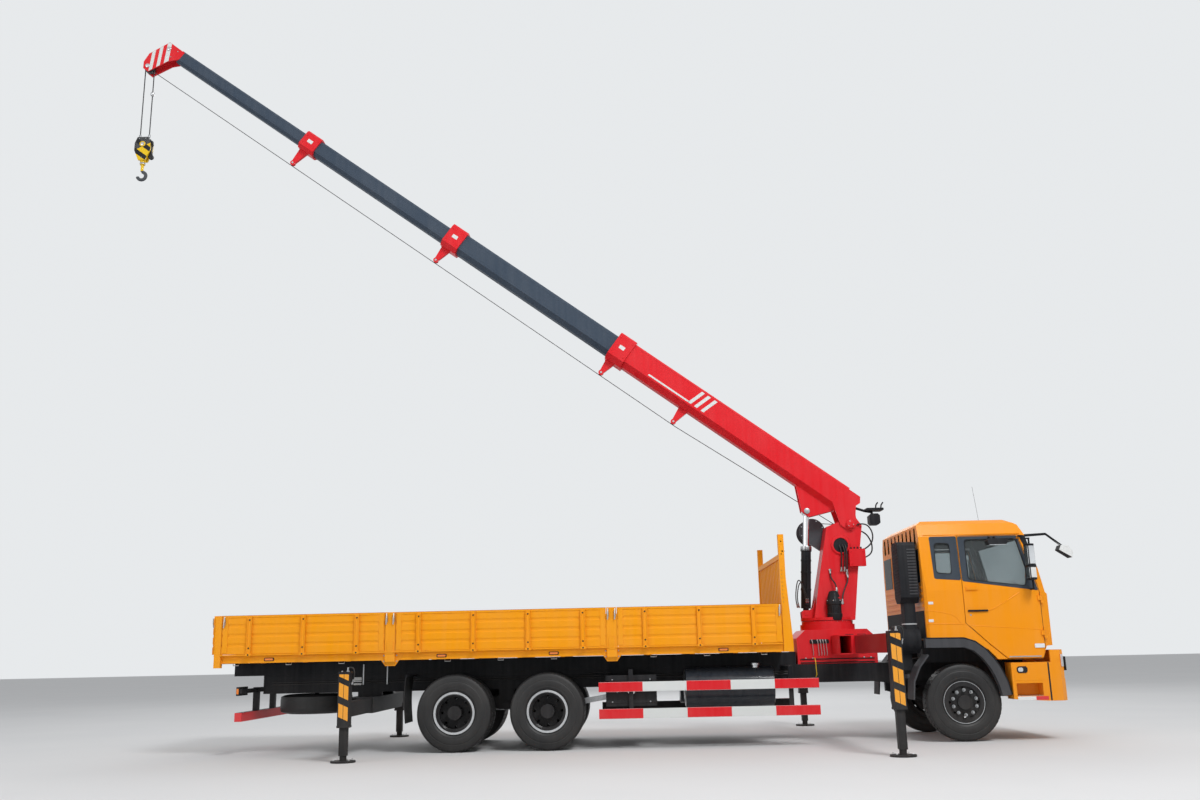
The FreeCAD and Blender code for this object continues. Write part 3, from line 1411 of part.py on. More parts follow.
SECTIONS = [
    # name, its own size, the next one's size, where it ends, where the one before it ends
    ("boom_section_2", SECOND, THIRD, "second_end", "base_boom_long"),
    ("boom_section_3", THIRD, FOURTH, "third_end", "second_end"),
]
for label, size, following, end, before in SECTIONS:
    node(label, union([
        boom_tube(size, (f"-({end})", f"-({before}) + boom_overlap")),
        collar(size, following, end),
        rope_guide(f"{size[1]} - collar_proud + 1", end),
    ]), **in_boom)

head_plates = both(slab("y", [
    ("-fourth_end + 60", "fourth_low + fourth_tall - 20"),
    ("-fourth_end - 280", "fourth_low + fourth_tall - 6"),
    ("-fourth_end - 440", "-40"),
    ("-head_out - 110", "-head_drop + 25"),
    ("-head_out - 40", "-head_drop - 75"),
    ("-head_out + 70", "-head_drop - 80"),
    ("-fourth_end - 75", "30"),
    ("-fourth_end + 60", "fourth_low + 50"),
], ("-fourth_wide / 2 - 2", "-fourth_wide / 2 + 14")))
head_pin = round_bar(
    "y",
    ("-head_out", "-head_drop"),
    "foot_pin_radius",
    ("-fourth_wide / 2 - 16", "fourth_wide / 2 + 16"),
)
top_sheave = round_bar("y", ("-fourth_end - 210", "fourth_low + 110"), "top_sheave_radius", ("-30", "30"))
top_pin = round_bar(
    "y",
    ("-fourth_end - 210", "fourth_low + 110"),
    "24",
    ("-fourth_wide / 2 - 12", "fourth_wide / 2 + 12"),
)
node("boom_section_4", union([
    boom_tube(FOURTH, ("-fourth_end", "-third_end + boom_overlap")),
    head_pin,
    top_sheave,
    top_pin,
] + head_plates), **in_boom)

# Hook block: it hangs by two falls from the head sheave.

head_x = "luff_pin_x - head_out * cos(boom_angle) - head_drop * sin(boom_angle)"
head_z = "luff_pin_z + head_out * sin(boom_angle) - head_drop * cos(boom_angle)"
head_sheave = cut(
    round_bar("y", ("0", "0"), "sheave_radius", ("-35", "35")),
    [round_bar("y", ("0", "0"), "foot_pin_radius + pin_fit", ("-40", "40"))],
)
falls = [
    round_bar("z", (x, "0"), "rope_fall", ("-fall_long", "0"))
    for x in ("-sheave_radius + 6", "sheave_radius - 6")
]
block_sheave = round_bar("y", ("0", "-fall_long - 40"), "block_sheave_radius", ("-35", "35"))
block_cheeks = both(slab("y", [
    ("-90", "-fall_long + 90"),
    ("90", "-fall_long + 90"),
    ("135", "-fall_long - 20"),
    ("135", "-fall_long - 150"),
    ("60", "-fall_long - 330"),
    ("-60", "-fall_long - 330"),
    ("-135", "-fall_long - 150"),
    ("-135", "-fall_long - 20"),
], ("-62", "-34")))
swivel = round_bar("z", ("0", "0"), "42", ("-fall_long - 400", "-fall_long - 250"))
shank = round_bar("z", ("0", "0"), "24", ("-fall_long - 520", "-fall_long - 390"))
hook_ring = doc.addObject("Part::Torus", "hook_ring")
hook_ring.Angle3 = 255
upright = FreeCAD.Rotation(FreeCAD.Vector(1, 0, 0), 90)
opened = FreeCAD.Rotation(FreeCAD.Vector(0, 0, 1), 195)
hook_ring.Placement = FreeCAD.Placement(FreeCAD.Vector(), upright * opened)
bind(hook_ring, Radius1="hook_radius", Radius2="hook_thick")
bind(hook_ring, Placement__Base__z="-fall_long - 530 - hook_radius")
node("hook_block", union(
    [head_sheave, block_sheave, swivel, shank, hook_ring] + falls + block_cheeks
), f"front_axle_x + {head_x}", head_z)

# Luffing cylinder: the barrel turns on its foot pin and the rod slides in it.

lean = "atan2(rod_eye_x - foot_x; rod_eye_z - foot_z)"
reach = "sqrt((rod_eye_x - foot_x)^2 + (rod_eye_z - foot_z)^2)"
barrel = cut(
    union([
        round_bar("z", ("0", "0"), "barrel_radius", ("78", "1000")),
        round_bar("z", ("0", "0"), "barrel_radius + 10", ("940", "1010")),
        round_bar("y", ("0", "0"), "foot_pin_radius + 26", ("-eye_half", "eye_half")),
        round_bar("z", ("0", "0"), "eye_half - 6", ("40", "80")),
    ]),
    [
        round_bar("z", ("0", "0"), "rod_radius + pin_fit", ("130", "1100")),
        round_bar("y", ("0", "0"), "foot_pin_radius + pin_fit", ("-100", "100")),
    ],
)
node("luff_cylinder", barrel, "front_axle_x + foot_x", "foot_z", lean)
rod = union([
    round_bar("z", ("0", "0"), "rod_radius", ("560", f"{reach} - 30")),
    round_bar("y", ("0", reach), "eye_radius", ("-eye_half", "eye_half")),
])
node("luff_rod", rod, "front_axle_x + foot_x", "foot_z", lean)

# Outriggers: beams that slide out of their boxes and legs that slide in their tubes.

OUTRIGGERS = [
    # place, middle of the near leg, reach, beam size, length, leg ends
    (
        "front",
        "outrigger_x",
        "front_reach",
        ("beam_wide", "beam_low", "beam_tall"),
        "beam_long",
        ("front_leg_low", "front_leg_top"),
    ),
    (
        "rear",
        "rear_leg_x",
        "rear_reach",
        ("rear_beam_wide", "rear_beam_low", "rear_beam_tall"),
        "rear_beam_long",
        ("rear_leg_low", "rear_leg_top"),
    ),
]
for place, leg_x, reach_out, (wide, low, tall), long, (leg_low, leg_top) in OUTRIGGERS:
    for side, middle in beam_places(leg_x).items():
        span = (f"{middle} - {wide} / 2", f"{middle} + {wide} / 2")
        beam = cut(
            box(
                span,
                (f"-({reach_out}) + leg_box / 2 - 2", f"-({reach_out}) + {long}"),
                (low, f"{low} + {tall}"),
            ),
            [box(
                (f"{span[0]} + leg_wall", f"{span[1]} - leg_wall"),
                (f"-({reach_out}) + leg_box / 2 + 20", f"-({reach_out}) + {long} + 5"),
                (f"{low} + leg_wall", f"{low} + {tall} - leg_wall"),
            )],
        )
        tube_x = (f"{middle} - leg_box / 2", f"{middle} + leg_box / 2")
        tube_y = (f"-({reach_out}) - leg_box / 2", f"-({reach_out}) + leg_box / 2")
        tube = cut(
            box(tube_x, tube_y, (leg_low, leg_top)),
            [box(
                (f"{tube_x[0]} + leg_wall", f"{tube_x[1]} - leg_wall"),
                (f"{tube_y[0]} + leg_wall", f"{tube_y[1]} - leg_wall"),
                (f"{leg_low} + 60", f"{leg_top} - leg_wall"),
            ), box(
                (f"{middle} - leg_inner / 2 - pad_fit", f"{middle} + leg_inner / 2 + pad_fit"),
                (f"-({reach_out}) - leg_inner / 2 - pad_fit", f"-({reach_out}) + leg_inner / 2 + pad_fit"),
                (f"{leg_low} - 5", f"{leg_low} + 65"),
            )],
        )
        leg = union([
            box(
                (f"{middle} - leg_inner / 2", f"{middle} + leg_inner / 2"),
                (f"-({reach_out}) - leg_inner / 2", f"-({reach_out}) + leg_inner / 2"),
                ("pad_tall + 60", f"{leg_top} - leg_stroke - leg_wall - 25"),
            ),
            round_bar("z", (middle, f"-({reach_out})"), "45", ("pad_tall - 1", "pad_tall + 61")),
            round_bar("z", (middle, f"-({reach_out})"), "pad_radius", ("0", "pad_tall")),
        ])
        beam_solid = union([beam, tube])
        if side == "left":
            beam_solid = mirrored(beam_solid)
            leg = mirrored(leg)
        node(f"{place}_beam_{side}", beam_solid)
        node(f"{place}_leg_{side}", leg)

# Steering knuckles on their kingpins, with the brake drums.

knuckle_drum = round_bar(
    "y",
    ("0", "0"),
    "drum_radius",
    ("-front_track / 2 - disc_offset + 30 + arm_gap", "-kingpin_y - 90"),
)
stub = round_bar("y", ("0", "0"), "stub_radius", ("-front_track / 2 - disc_offset - 30", "-kingpin_y - 80"))
kingpin = round_bar("z", ("0", "-kingpin_y"), "kingpin_radius", ("-105", "105"))
knuckle_arms = []
for low in ("-100", "60 + pad_fit"):
    high = f"{low} + 40 - pad_fit"
    knuckle_arms.append(round_bar("z", ("0", "-kingpin_y"), "60", (low, high)))
    knuckle_arms.append(box(("-60", "60"), ("-kingpin_y - 110", "-kingpin_y"), (low, high)))
knuckle_web = box(("-60", "60"), ("-kingpin_y - 110", "-kingpin_y - 75"), ("-100", "100"))
knuckle = union([knuckle_drum, stub, kingpin, knuckle_web] + knuckle_arms)
node("knuckle_right", knuckle, z="tyre_radius")
node("knuckle_left", mirrored(knuckle), z="tyre_radius")

# Cab: the body is what three outlines share, hollowed by the same outlines drawn one wall
# further in. The doors and panes are cut from the same body.

def cab_side(inset):
    """Outline from the side, drawn in by the inset."""
    return [
        (f"cab_rear + {inset}", f"cab_floor + {inset}"),
        (f"cab_rear + {inset}", f"cab_roof - 70 - {inset} * 0.4"),
        (f"cab_rear + 100 + {inset} * 0.4", f"cab_roof - {inset}"),
        (f"screen_top_x - 230 - {inset} * 0.3", f"cab_roof - {inset}"),
        (f"screen_top_x - 70 - {inset} * 0.7", f"cab_roof - 90 - {inset} * 0.7"),
        (f"screen_top_x - {inset}", f"screen_top_z - {inset} * 0.3"),
        (f"screen_low_x - {inset}", f"screen_low_z - {inset} * 0.3"),
        (f"nose_x - {inset}", f"screen_low_z - 60 - {inset} * 0.3"),
        (f"nose_x - {inset}", f"nose_low + {inset}"),
        (f"tilt_x - 100 - {inset} * 0.6", f"nose_low - 10 + {inset}"),
        (f"tilt_x - 180 - {inset} * 0.6", f"door_low - 10 + {inset}"),
        (f"500 + {inset} * 0.5", f"door_low - 10 + {inset}"),
        (f"375 + {inset} * 0.3", f"cab_floor - 165 + {inset}"),
        ("60", f"cab_floor + {inset}"),
    ]


def cab_front(inset):
    """Outline from the front: upright below the belt and leaning in above it."""
    half = [
        (f"cab_half - {inset}", f"door_low - 10 + {inset}"),
        (f"cab_half - {inset}", "belt_front - 40"),
        (f"cab_half - 75 - {inset}", "window_top + 50"),
        (f"cab_half - 150 - {inset} * 0.8", f"cab_roof - 60 - {inset} * 0.5"),
        (f"cab_half - 270 - {inset} * 0.3", f"cab_roof - {inset}"),
    ]
    return half + [(f"-({across})", up) for across, up in half[::-1]]


def cab_plan(inset):
    """Outline from above: rounded at the nose."""
    half = [
        (f"cab_rear + {inset}", f"cab_half - 35 - {inset}"),
        (f"cab_rear + 35 + {inset}", f"cab_half - {inset}"),
        (f"screen_top_x + 70 - {inset} * 0.3", f"cab_half - {inset}"),
        (f"nose_x - 50 - {inset} * 0.6", f"cab_half - 85 - {inset} * 0.8"),
        (f"nose_x - {inset}", f"cab_half - 260 - {inset} * 0.5"),
    ]
    return half + [(along, f"-({across})") for along, across in half[::-1]]


def cab_block(inset):
    return shared([
        slab("y", cab_side(inset), ("-cab_half - 10", "cab_half + 10")),
        slab("x", cab_front(inset), ("cab_rear - 10", "nose_x + 10")),
        slab("z", cab_plan(inset), ("door_low - 60", "cab_roof + 10")),
    ])


def door_outline(grow):
    """Outline of the near door, grown by the gap for its opening."""
    return [
        (f"door_rear_x - {grow}", "1600"),
        (f"door_rear_x - {grow}", f"window_top + 45 + {grow}"),
        (f"screen_top_x - 110 + {grow}", f"window_top + 45 + {grow}"),
        (f"door_front_x + {grow}", "belt_front - 90"),
        (f"door_front_x + {grow}", f"door_low - {grow}"),
        (f"640 - {grow}", f"door_low - {grow}"),
        (f"420 - {grow}", f"1300 - {grow}"),
        (f"190 - {grow}", f"1520 - {grow}"),
    ]


def window_outline(inset):
    return [
        (f"door_rear_x + 95 + {inset}", f"belt_rear + {inset}"),
        (f"door_rear_x + 95 + {inset}", f"window_top - {inset}"),
        (f"screen_top_x - 135 - {inset}", f"window_top - {inset}"),
        (f"door_front_x - 145 - {inset}", f"belt_front + 240"),
        (f"door_front_x - 175 - {inset}", f"belt_front + {inset}"),
    ]


def quarter_outline(inset):
    return [
        (f"cab_rear + 175 + {inset}", f"belt_rear + 40 + {inset}"),
        (f"cab_rear + 190 + {inset}", f"window_top + 40 - {inset}"),
        (f"door_rear_x - 55 - {inset}", f"window_top + 40 - {inset}"),
        (f"door_rear_x - 55 - {inset}", f"belt_rear + 15 + {inset}"),
    ]


def rear_outline(inset):
    return [
        (f"-560 + {inset}", f"2180 + {inset}"),
        (f"560 - {inset}", f"2180 + {inset}"),
        (f"530 - {inset}", f"2670 - {inset}"),
        (f"-530 + {inset}", f"2670 - {inset}"),
    ]


def screen_outline(inset):
    return [
        (f"-cab_half + 110 + {inset}", f"screen_low_z + 50 + {inset}"),
        (f"cab_half - 110 - {inset}", f"screen_low_z + 50 + {inset}"),
        (f"cab_half - 180 - {inset}", f"screen_top_z - 35 - {inset}"),
        (f"-cab_half + 180 + {inset}", f"screen_top_z - 35 - {inset}"),
    ]


near_side = ("-cab_half - 60", "-cab_half + 330")
outer_block = cab_block("0")
inner_block = cab_block("cab_wall")
hollow = cut(outer_block, [inner_block])
window_cuts = both(slab("y", quarter_outline("0"), near_side))
window_cuts += both(slab("y", door_outline("door_gap"), near_side))
window_cuts.append(slab("x", rear_outline("0"), ("cab_rear - 20", "cab_rear + 80")))
window_cuts.append(slab("x", screen_outline("0"), ("screen_top_x - 120", "nose_x + 40")))
tilt_lugs = both(cut(
    slab("y", [
        ("tilt_x - 200", "door_low - 12"),
        ("tilt_x - 140", "tilt_z + 195"),
        ("tilt_x + 32", "tilt_z + 15"),
        ("tilt_x + 25", "tilt_z - 27"),
        ("tilt_x - 22", "tilt_z - 34"),
    ], ("-rail_half + 28", "-rail_half + 70")),
    [round_bar("y", ("tilt_x", "tilt_z"), "tilt_pin + pin_fit", ("-rail_half", "-rail_half + 90"))],
))
hinge_point = ("door_front_x + door_gap / 2", "-cab_half - 8")
HINGES = ("1420", "1900")
hinge_bits = []
for z in HINGES:
    hinge_bits += both(round_bar("z", hinge_point, "door_pin", (f"{z} - 40", f"{z} + 90")))
    hinge_bits += both(box(
        ("door_front_x + door_gap / 2", "door_front_x + 45"),
        ("-cab_half - 14", "-cab_half + 6"),
        (f"{z} - 44", f"{z} - 10"),
    ))
    hinge_bits += both(box(
        ("door_front_x + door_gap / 2", "door_front_x + 45"),
        ("-cab_half - 14", "-cab_half + 6"),
        (f"{z} + 66", f"{z} + 92"),
    ))
mirror_arm = slab("y", [
    ("screen_top_x - 20", "screen_top_z - 20"),
    ("screen_top_x - 20", "screen_top_z + 10"),
    ("screen_top_x + 330", "screen_top_z + 25"),
    ("screen_top_x + 560", "screen_top_z - 160"),
    ("screen_top_x + 545", "screen_top_z - 180"),
    ("screen_top_x + 325", "screen_top_z"),
], ("-cab_half + 130", "-cab_half + 150"))
front_mirror = slab("y", [
    ("screen_top_x + 470", "screen_top_z - 215"),
    ("screen_top_x + 500", "screen_top_z - 150"),
    ("screen_top_x + 600", "screen_top_z - 160"),
    ("screen_top_x + 660", "screen_top_z - 250"),
    ("screen_top_x + 640", "screen_top_z - 330"),
], ("-cab_half + 60", "-cab_half + 230"))
node("cab_shell", union([cut(hollow, window_cuts)] + tilt_lugs + hinge_bits + [mirror_arm, front_mirror]))

# Panes lie inside the thickness of the wall they close.

def side_pane(outline):
    """A pane that leans in with the side of the cab."""
    strip = slab("x", [
        ("-cab_half + 20", "belt_front - 40"),
        ("-cab_half + 20 + glass_gauge", "belt_front - 40"),
        ("-cab_half + 95 + glass_gauge", "window_top + 50"),
        ("-cab_half + 95", "window_top + 50"),
    ], ("cab_rear", "nose_x"))
    return shared([strip, slab("y", outline, near_side)])


screen_strip = slab("y", [
    ("screen_top_x - 24", "screen_top_z"),
    ("screen_top_x - 24 + glass_gauge", "screen_top_z"),
    ("screen_low_x - 24 + glass_gauge", "screen_low_z"),
    ("screen_low_x - 24", "screen_low_z"),
], ("-cab_half", "cab_half"))
rear_pane = slab("x", rear_outline("0"), ("cab_rear + 17", "cab_rear + 17 + glass_gauge"))
windscreen = shared([screen_strip, slab("x", screen_outline("0"), ("screen_top_x - 120", "nose_x + 40"))])
node("cab_glass", union([windscreen, rear_pane] + both(side_pane(quarter_outline("0")))))

# Doors: the same wall, cut out along the door's outline, with the mirror arms on them.

below_sill = box(
    ("sill_rear", "door_front_x + 5"),
    ("-cab_half + door_sill", "-cab_half + sill_deep"),
    ("door_low - 12", "door_low + cab_wall + 10"),
)
door_skin = cut(
    shared([hollow, slab("y", door_outline("0"), near_side)]),
    [slab("y", window_outline("0"), near_side), below_sill],
)
mirror_post = round_bar(
    "z",
    ("door_front_x - 120", "-cab_half - 120"),
    "13",
    ("belt_front - 60", "window_top - 20"),
)
mirror_head = slab("z", [
    ("door_front_x - 190", "-cab_half - 85"),
    ("door_front_x - 190", "-cab_half - 250"),
    ("door_front_x - 150", "-cab_half - 270"),
    ("door_front_x - 100", "-cab_half - 240"),
    ("door_front_x - 100", "-cab_half - 95"),
], ("belt_front + 70", "window_top - 110"))
mirror_arms = [
    box(
        ("door_front_x - 133", "door_front_x - 107"),
        ("-cab_half - 125", "-cab_half + 12"),
        ("belt_front - 60", "belt_front - 40"),
    ),
    box(
        ("door_front_x - 205", "door_front_x - 107"),
        ("-cab_half - 130", "-cab_half - 108"),
        ("window_top - 36", "window_top - 14"),
    ),
    box(
        ("screen_top_x - 128", "screen_top_x - 104"),
        ("-cab_half - 130", "-cab_half + 90"),
        ("window_top - 8", "window_top + 16"),
    ),
    box(
        ("screen_top_x - 128", "screen_top_x - 104"),
        ("-cab_half - 130", "-cab_half - 108"),
        ("window_top - 36", "window_top + 16"),
    ),
]
door_eyes = []
for z in HINGES:
    door_eyes.append(cut(
        union([
            round_bar("z", hinge_point, "door_pin + 7", (f"{z} - 4", f"{z} + 60")),
            box(
                ("door_front_x - 40", "door_front_x + door_gap / 2"),
                ("-cab_half - 14", "-cab_half + 3"),
                (f"{z} - 4", f"{z} + 60"),
            ),
        ]),
        [round_bar("z", hinge_point, "door_pin + pin_fit", (f"{z} - 10", f"{z} + 70"))],
    ))
handle = box(
    ("door_rear_x + 40", "door_rear_x + 200"),
    ("-cab_half - 22", "-cab_half + 2"),
    ("belt_rear - 140", "belt_rear - 105"),
)
door = union([door_skin, mirror_post, mirror_head, handle] + mirror_arms + door_eyes)
door_pane = side_pane(window_outline("0"))
node("door_right", door)
node("door_left", mirrored(door))
node("door_glass_right", door_pane)
node("door_glass_left", mirrored(door_pane))

# Seats, dashboard and steering wheel.

seat = union([
    box(("-220", "40"), ("330", "780"), ("cab_floor + cab_wall", "cab_floor + 300")),
    box(("-230", "330"), ("300", "810"), ("cab_floor + 299", "cab_floor + 430")),
    slab("y", [
        (
            "-230",
            "cab_floor + 400",
        ), ("-110", "cab_floor + 400"), ("-230", "cab_floor + 1080"), ("-330", "cab_floor + 1080"),
    ], ("310", "800")),
])
dash = slab("y", [
    ("1010", "screen_low_z - 330"),
    ("nose_x - cab_wall", "screen_low_z - 420"),
    ("nose_x - cab_wall", "screen_low_z - 90"),
    ("1130", "screen_low_z - 60"),
    ("1000", "screen_low_z - 130"),
], ("-880", "880"))
steering = doc.addObject("Part::Torus", "steering_ring")
steering.Radius1 = 215
steering.Radius2 = 15
steering.Placement = FreeCAD.Placement(
    FreeCAD.Vector(800, 555, 0),
    FreeCAD.Rotation(FreeCAD.Vector(0, 1, 0), -28),
)
bind(steering, Placement__Base__z="screen_low_z - 20")
steering_column = slab("y", [
    (
        "770",
        "screen_low_z - 30",
    ), ("800", "screen_low_z - 2"), ("1040", "screen_low_z - 130"), ("1040", "screen_low_z - 200"),
], ("530", "580"))
steering_spoke = slab("y", [
    (
        "595",
        "screen_low_z - 135",
    ), ("595", "screen_low_z - 115"), ("1000", "screen_low_z + 98"), ("1000", "screen_low_z + 78"),
], ("535", "575"))
node("cab_interior", union(both(seat) + [dash, steering, steering_column, steering_spoke]))

# Check the whole model, then write one file for each piece.

doc.recompute()
for item in doc.Objects:
    if "Invalid" in item.State or "Error" in item.State:
        raise RuntimeError(f"{item.Label} failed: {item.State}")
os.makedirs("parts", exist_ok=True)
for piece in NODES:
    if piece.Shape.isNull() or not piece.Shape.isValid() or not piece.Shape.Solids:
        raise RuntimeError(f"{piece.Label} has no sound solid")
    piece.Shape.exportStep(f"parts/{piece.Label}.step")
    size = piece.Shape.BoundBox
    print(
        f"{piece.Label}: {len(piece.Shape.Solids)} solid, {size.XLength:.0f} x {size.YLength:.0f} x {size.ZLength:.0f}",
    )
print(len(NODES), "pieces")
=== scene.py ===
import math

import bmesh
import bpy
from mathutils import Matrix, Vector


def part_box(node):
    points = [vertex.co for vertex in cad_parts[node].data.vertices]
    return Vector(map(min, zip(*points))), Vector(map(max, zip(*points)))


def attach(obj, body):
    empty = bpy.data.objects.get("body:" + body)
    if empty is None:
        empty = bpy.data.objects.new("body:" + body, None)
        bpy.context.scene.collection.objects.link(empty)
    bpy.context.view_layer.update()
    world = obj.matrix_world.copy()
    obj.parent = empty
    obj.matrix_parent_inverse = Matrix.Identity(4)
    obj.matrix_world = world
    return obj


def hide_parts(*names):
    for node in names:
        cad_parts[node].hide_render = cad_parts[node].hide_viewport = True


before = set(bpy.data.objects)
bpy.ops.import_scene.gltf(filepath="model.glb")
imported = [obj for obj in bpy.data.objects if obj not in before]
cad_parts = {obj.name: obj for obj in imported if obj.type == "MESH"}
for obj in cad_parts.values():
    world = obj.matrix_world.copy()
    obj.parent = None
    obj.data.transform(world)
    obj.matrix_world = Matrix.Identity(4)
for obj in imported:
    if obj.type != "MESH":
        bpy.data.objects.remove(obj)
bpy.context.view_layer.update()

bl_info = {
    "name": "Flatbed truck with loader crane",
    "version": (1, 0, 0),
    "blender": (4, 5, 0),
    "location": "View3D > Sidebar > Truck crane",
    "description": "Paint, tread, lamps, ropes, hoses and marks for the truck and its telescopic crane",
    "category": "Object",
}


# Places, in metres: x along the truck from its front axle, y to its left and z up from the ground

NEAR, FAR = -1, 1
SIDE_NAMES = {NEAR: "right", FAR: "left"}
TYRE_LOW, TYRE_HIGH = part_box("tyre_front_right")
FRONT_AXLE = Vector(((TYRE_LOW.x + TYRE_HIGH.x) / 2, 0, 0))
AXLE_TALL = (TYRE_LOW.z + TYRE_HIGH.z) / 2
TYRE_RADIUS = (TYRE_HIGH.z - TYRE_LOW.z) / 2
TYRE_WIDE = TYRE_HIGH.y - TYRE_LOW.y


def solid_box(node):
    """The lowest and the highest corner of a solid."""
    low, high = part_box(node)
    return low - FRONT_AXLE, high - FRONT_AXLE


def middle(node):
    low, high = solid_box(node)
    return (low + high) / 2


def mirrored(side):
    """Puts what is drawn for the left side on the side that is asked for."""
    return Matrix.Diagonal((1, side, 1, 1))


CAB_LOW, CAB_HIGH = solid_box("cab_shell")
BED_LOW, BED_HIGH = solid_box("load_bed")
LUFF_PIN = Vector((-1.21, 0, 3.14))
PLATE = 0.0015
BOOM_ANGLE = math.radians(36.5)
IN_BOOM = Matrix.Translation(LUFF_PIN) @ Matrix.Rotation(BOOM_ANGLE, 4, "Y")

WHEELS = [
    # name, tyres: places of their middles from the middle of the wheel, across the truck
    ("front", (0.0,)),
    ("first_rear", (-0.161, 0.161)),
    ("second_rear", (-0.161, 0.161)),
]


class TruckColours(bpy.types.PropertyGroup):
    """Paints and finishes of the truck and crane."""

    def colour(name, description, default):
        return bpy.props.FloatVectorProperty(
            name=name, description=description, default=default, min=0, max=1, size=3, subtype="COLOR"
        )

    cab: colour("Cab paint", "Orange-yellow gloss of the cab", (0.91, 0.31, 0.004))
    bed: colour("Bed paint", "Warmer orange-yellow of the load bed", (0.93, 0.35, 0.004))
    crane: colour("Crane paint", "Bright red of the column and base boom", (0.74, 0.012, 0.02))
    boom: colour("Boom grey", "Slate grey of the extensions", (0.048, 0.068, 0.098))
    chassis: colour("Chassis black", "Black of the frame, legs and tanks", (0.010, 0.011, 0.014))
    rim: colour("Rim black", "Black of the wheel rims", (0.014, 0.014, 0.016))
    white: colour("Marking white", "White of the guard bars and stripes", (0.72, 0.75, 0.74))
    red: colour("Marking red", "Red of the guard bars and stripes", (0.72, 0.012, 0.02))
    yellow: colour("Hook yellow", "Yellow of the hook block and signs", (0.85, 0.55, 0.01))
    dust: colour("Road dust", "Dust that settles on the lower parts", (0.30, 0.26, 0.21))


class TruckSizes(bpy.types.PropertyGroup):
    """Sizes of the fittings that a user may change."""

    def length(name, description, default):
        return bpy.props.FloatProperty(
            name=name, description=description, default=default, min=0.0005, subtype="DISTANCE", unit="LENGTH"
        )

    tread_depth: length("Tread depth", "Depth of the tyre grooves", 0.013)
    nut_radius: length("Nut radius", "Wheel nut across its corners", 0.019)
    rope_radius: length("Rope radius", "Radius of the hoist rope", 0.006)
    hose_radius: length("Hose radius", "Radius of a pressure hose", 0.011)
    decal: length("Sheet thickness", "Thickness of the reflective sheets and marks", 0.0015)
    nut_count: bpy.props.IntProperty(name="Nuts", description="Nuts on a wheel", default=10, min=4, max=16)
    tread_pitch: bpy.props.IntProperty(
        name="Tread blocks", description="Blocks round a tyre", default=52, min=20,
    )


# Meshes are drawn with these few shapes, each with one of the piece's own materials

AXES = "xyz"


def spread(axis, first, second, depth):
    """A point from its two places across an axis and its place along it."""
    place = [first, second]
    place.insert(AXES.index(axis), depth)
    return Vector(place)


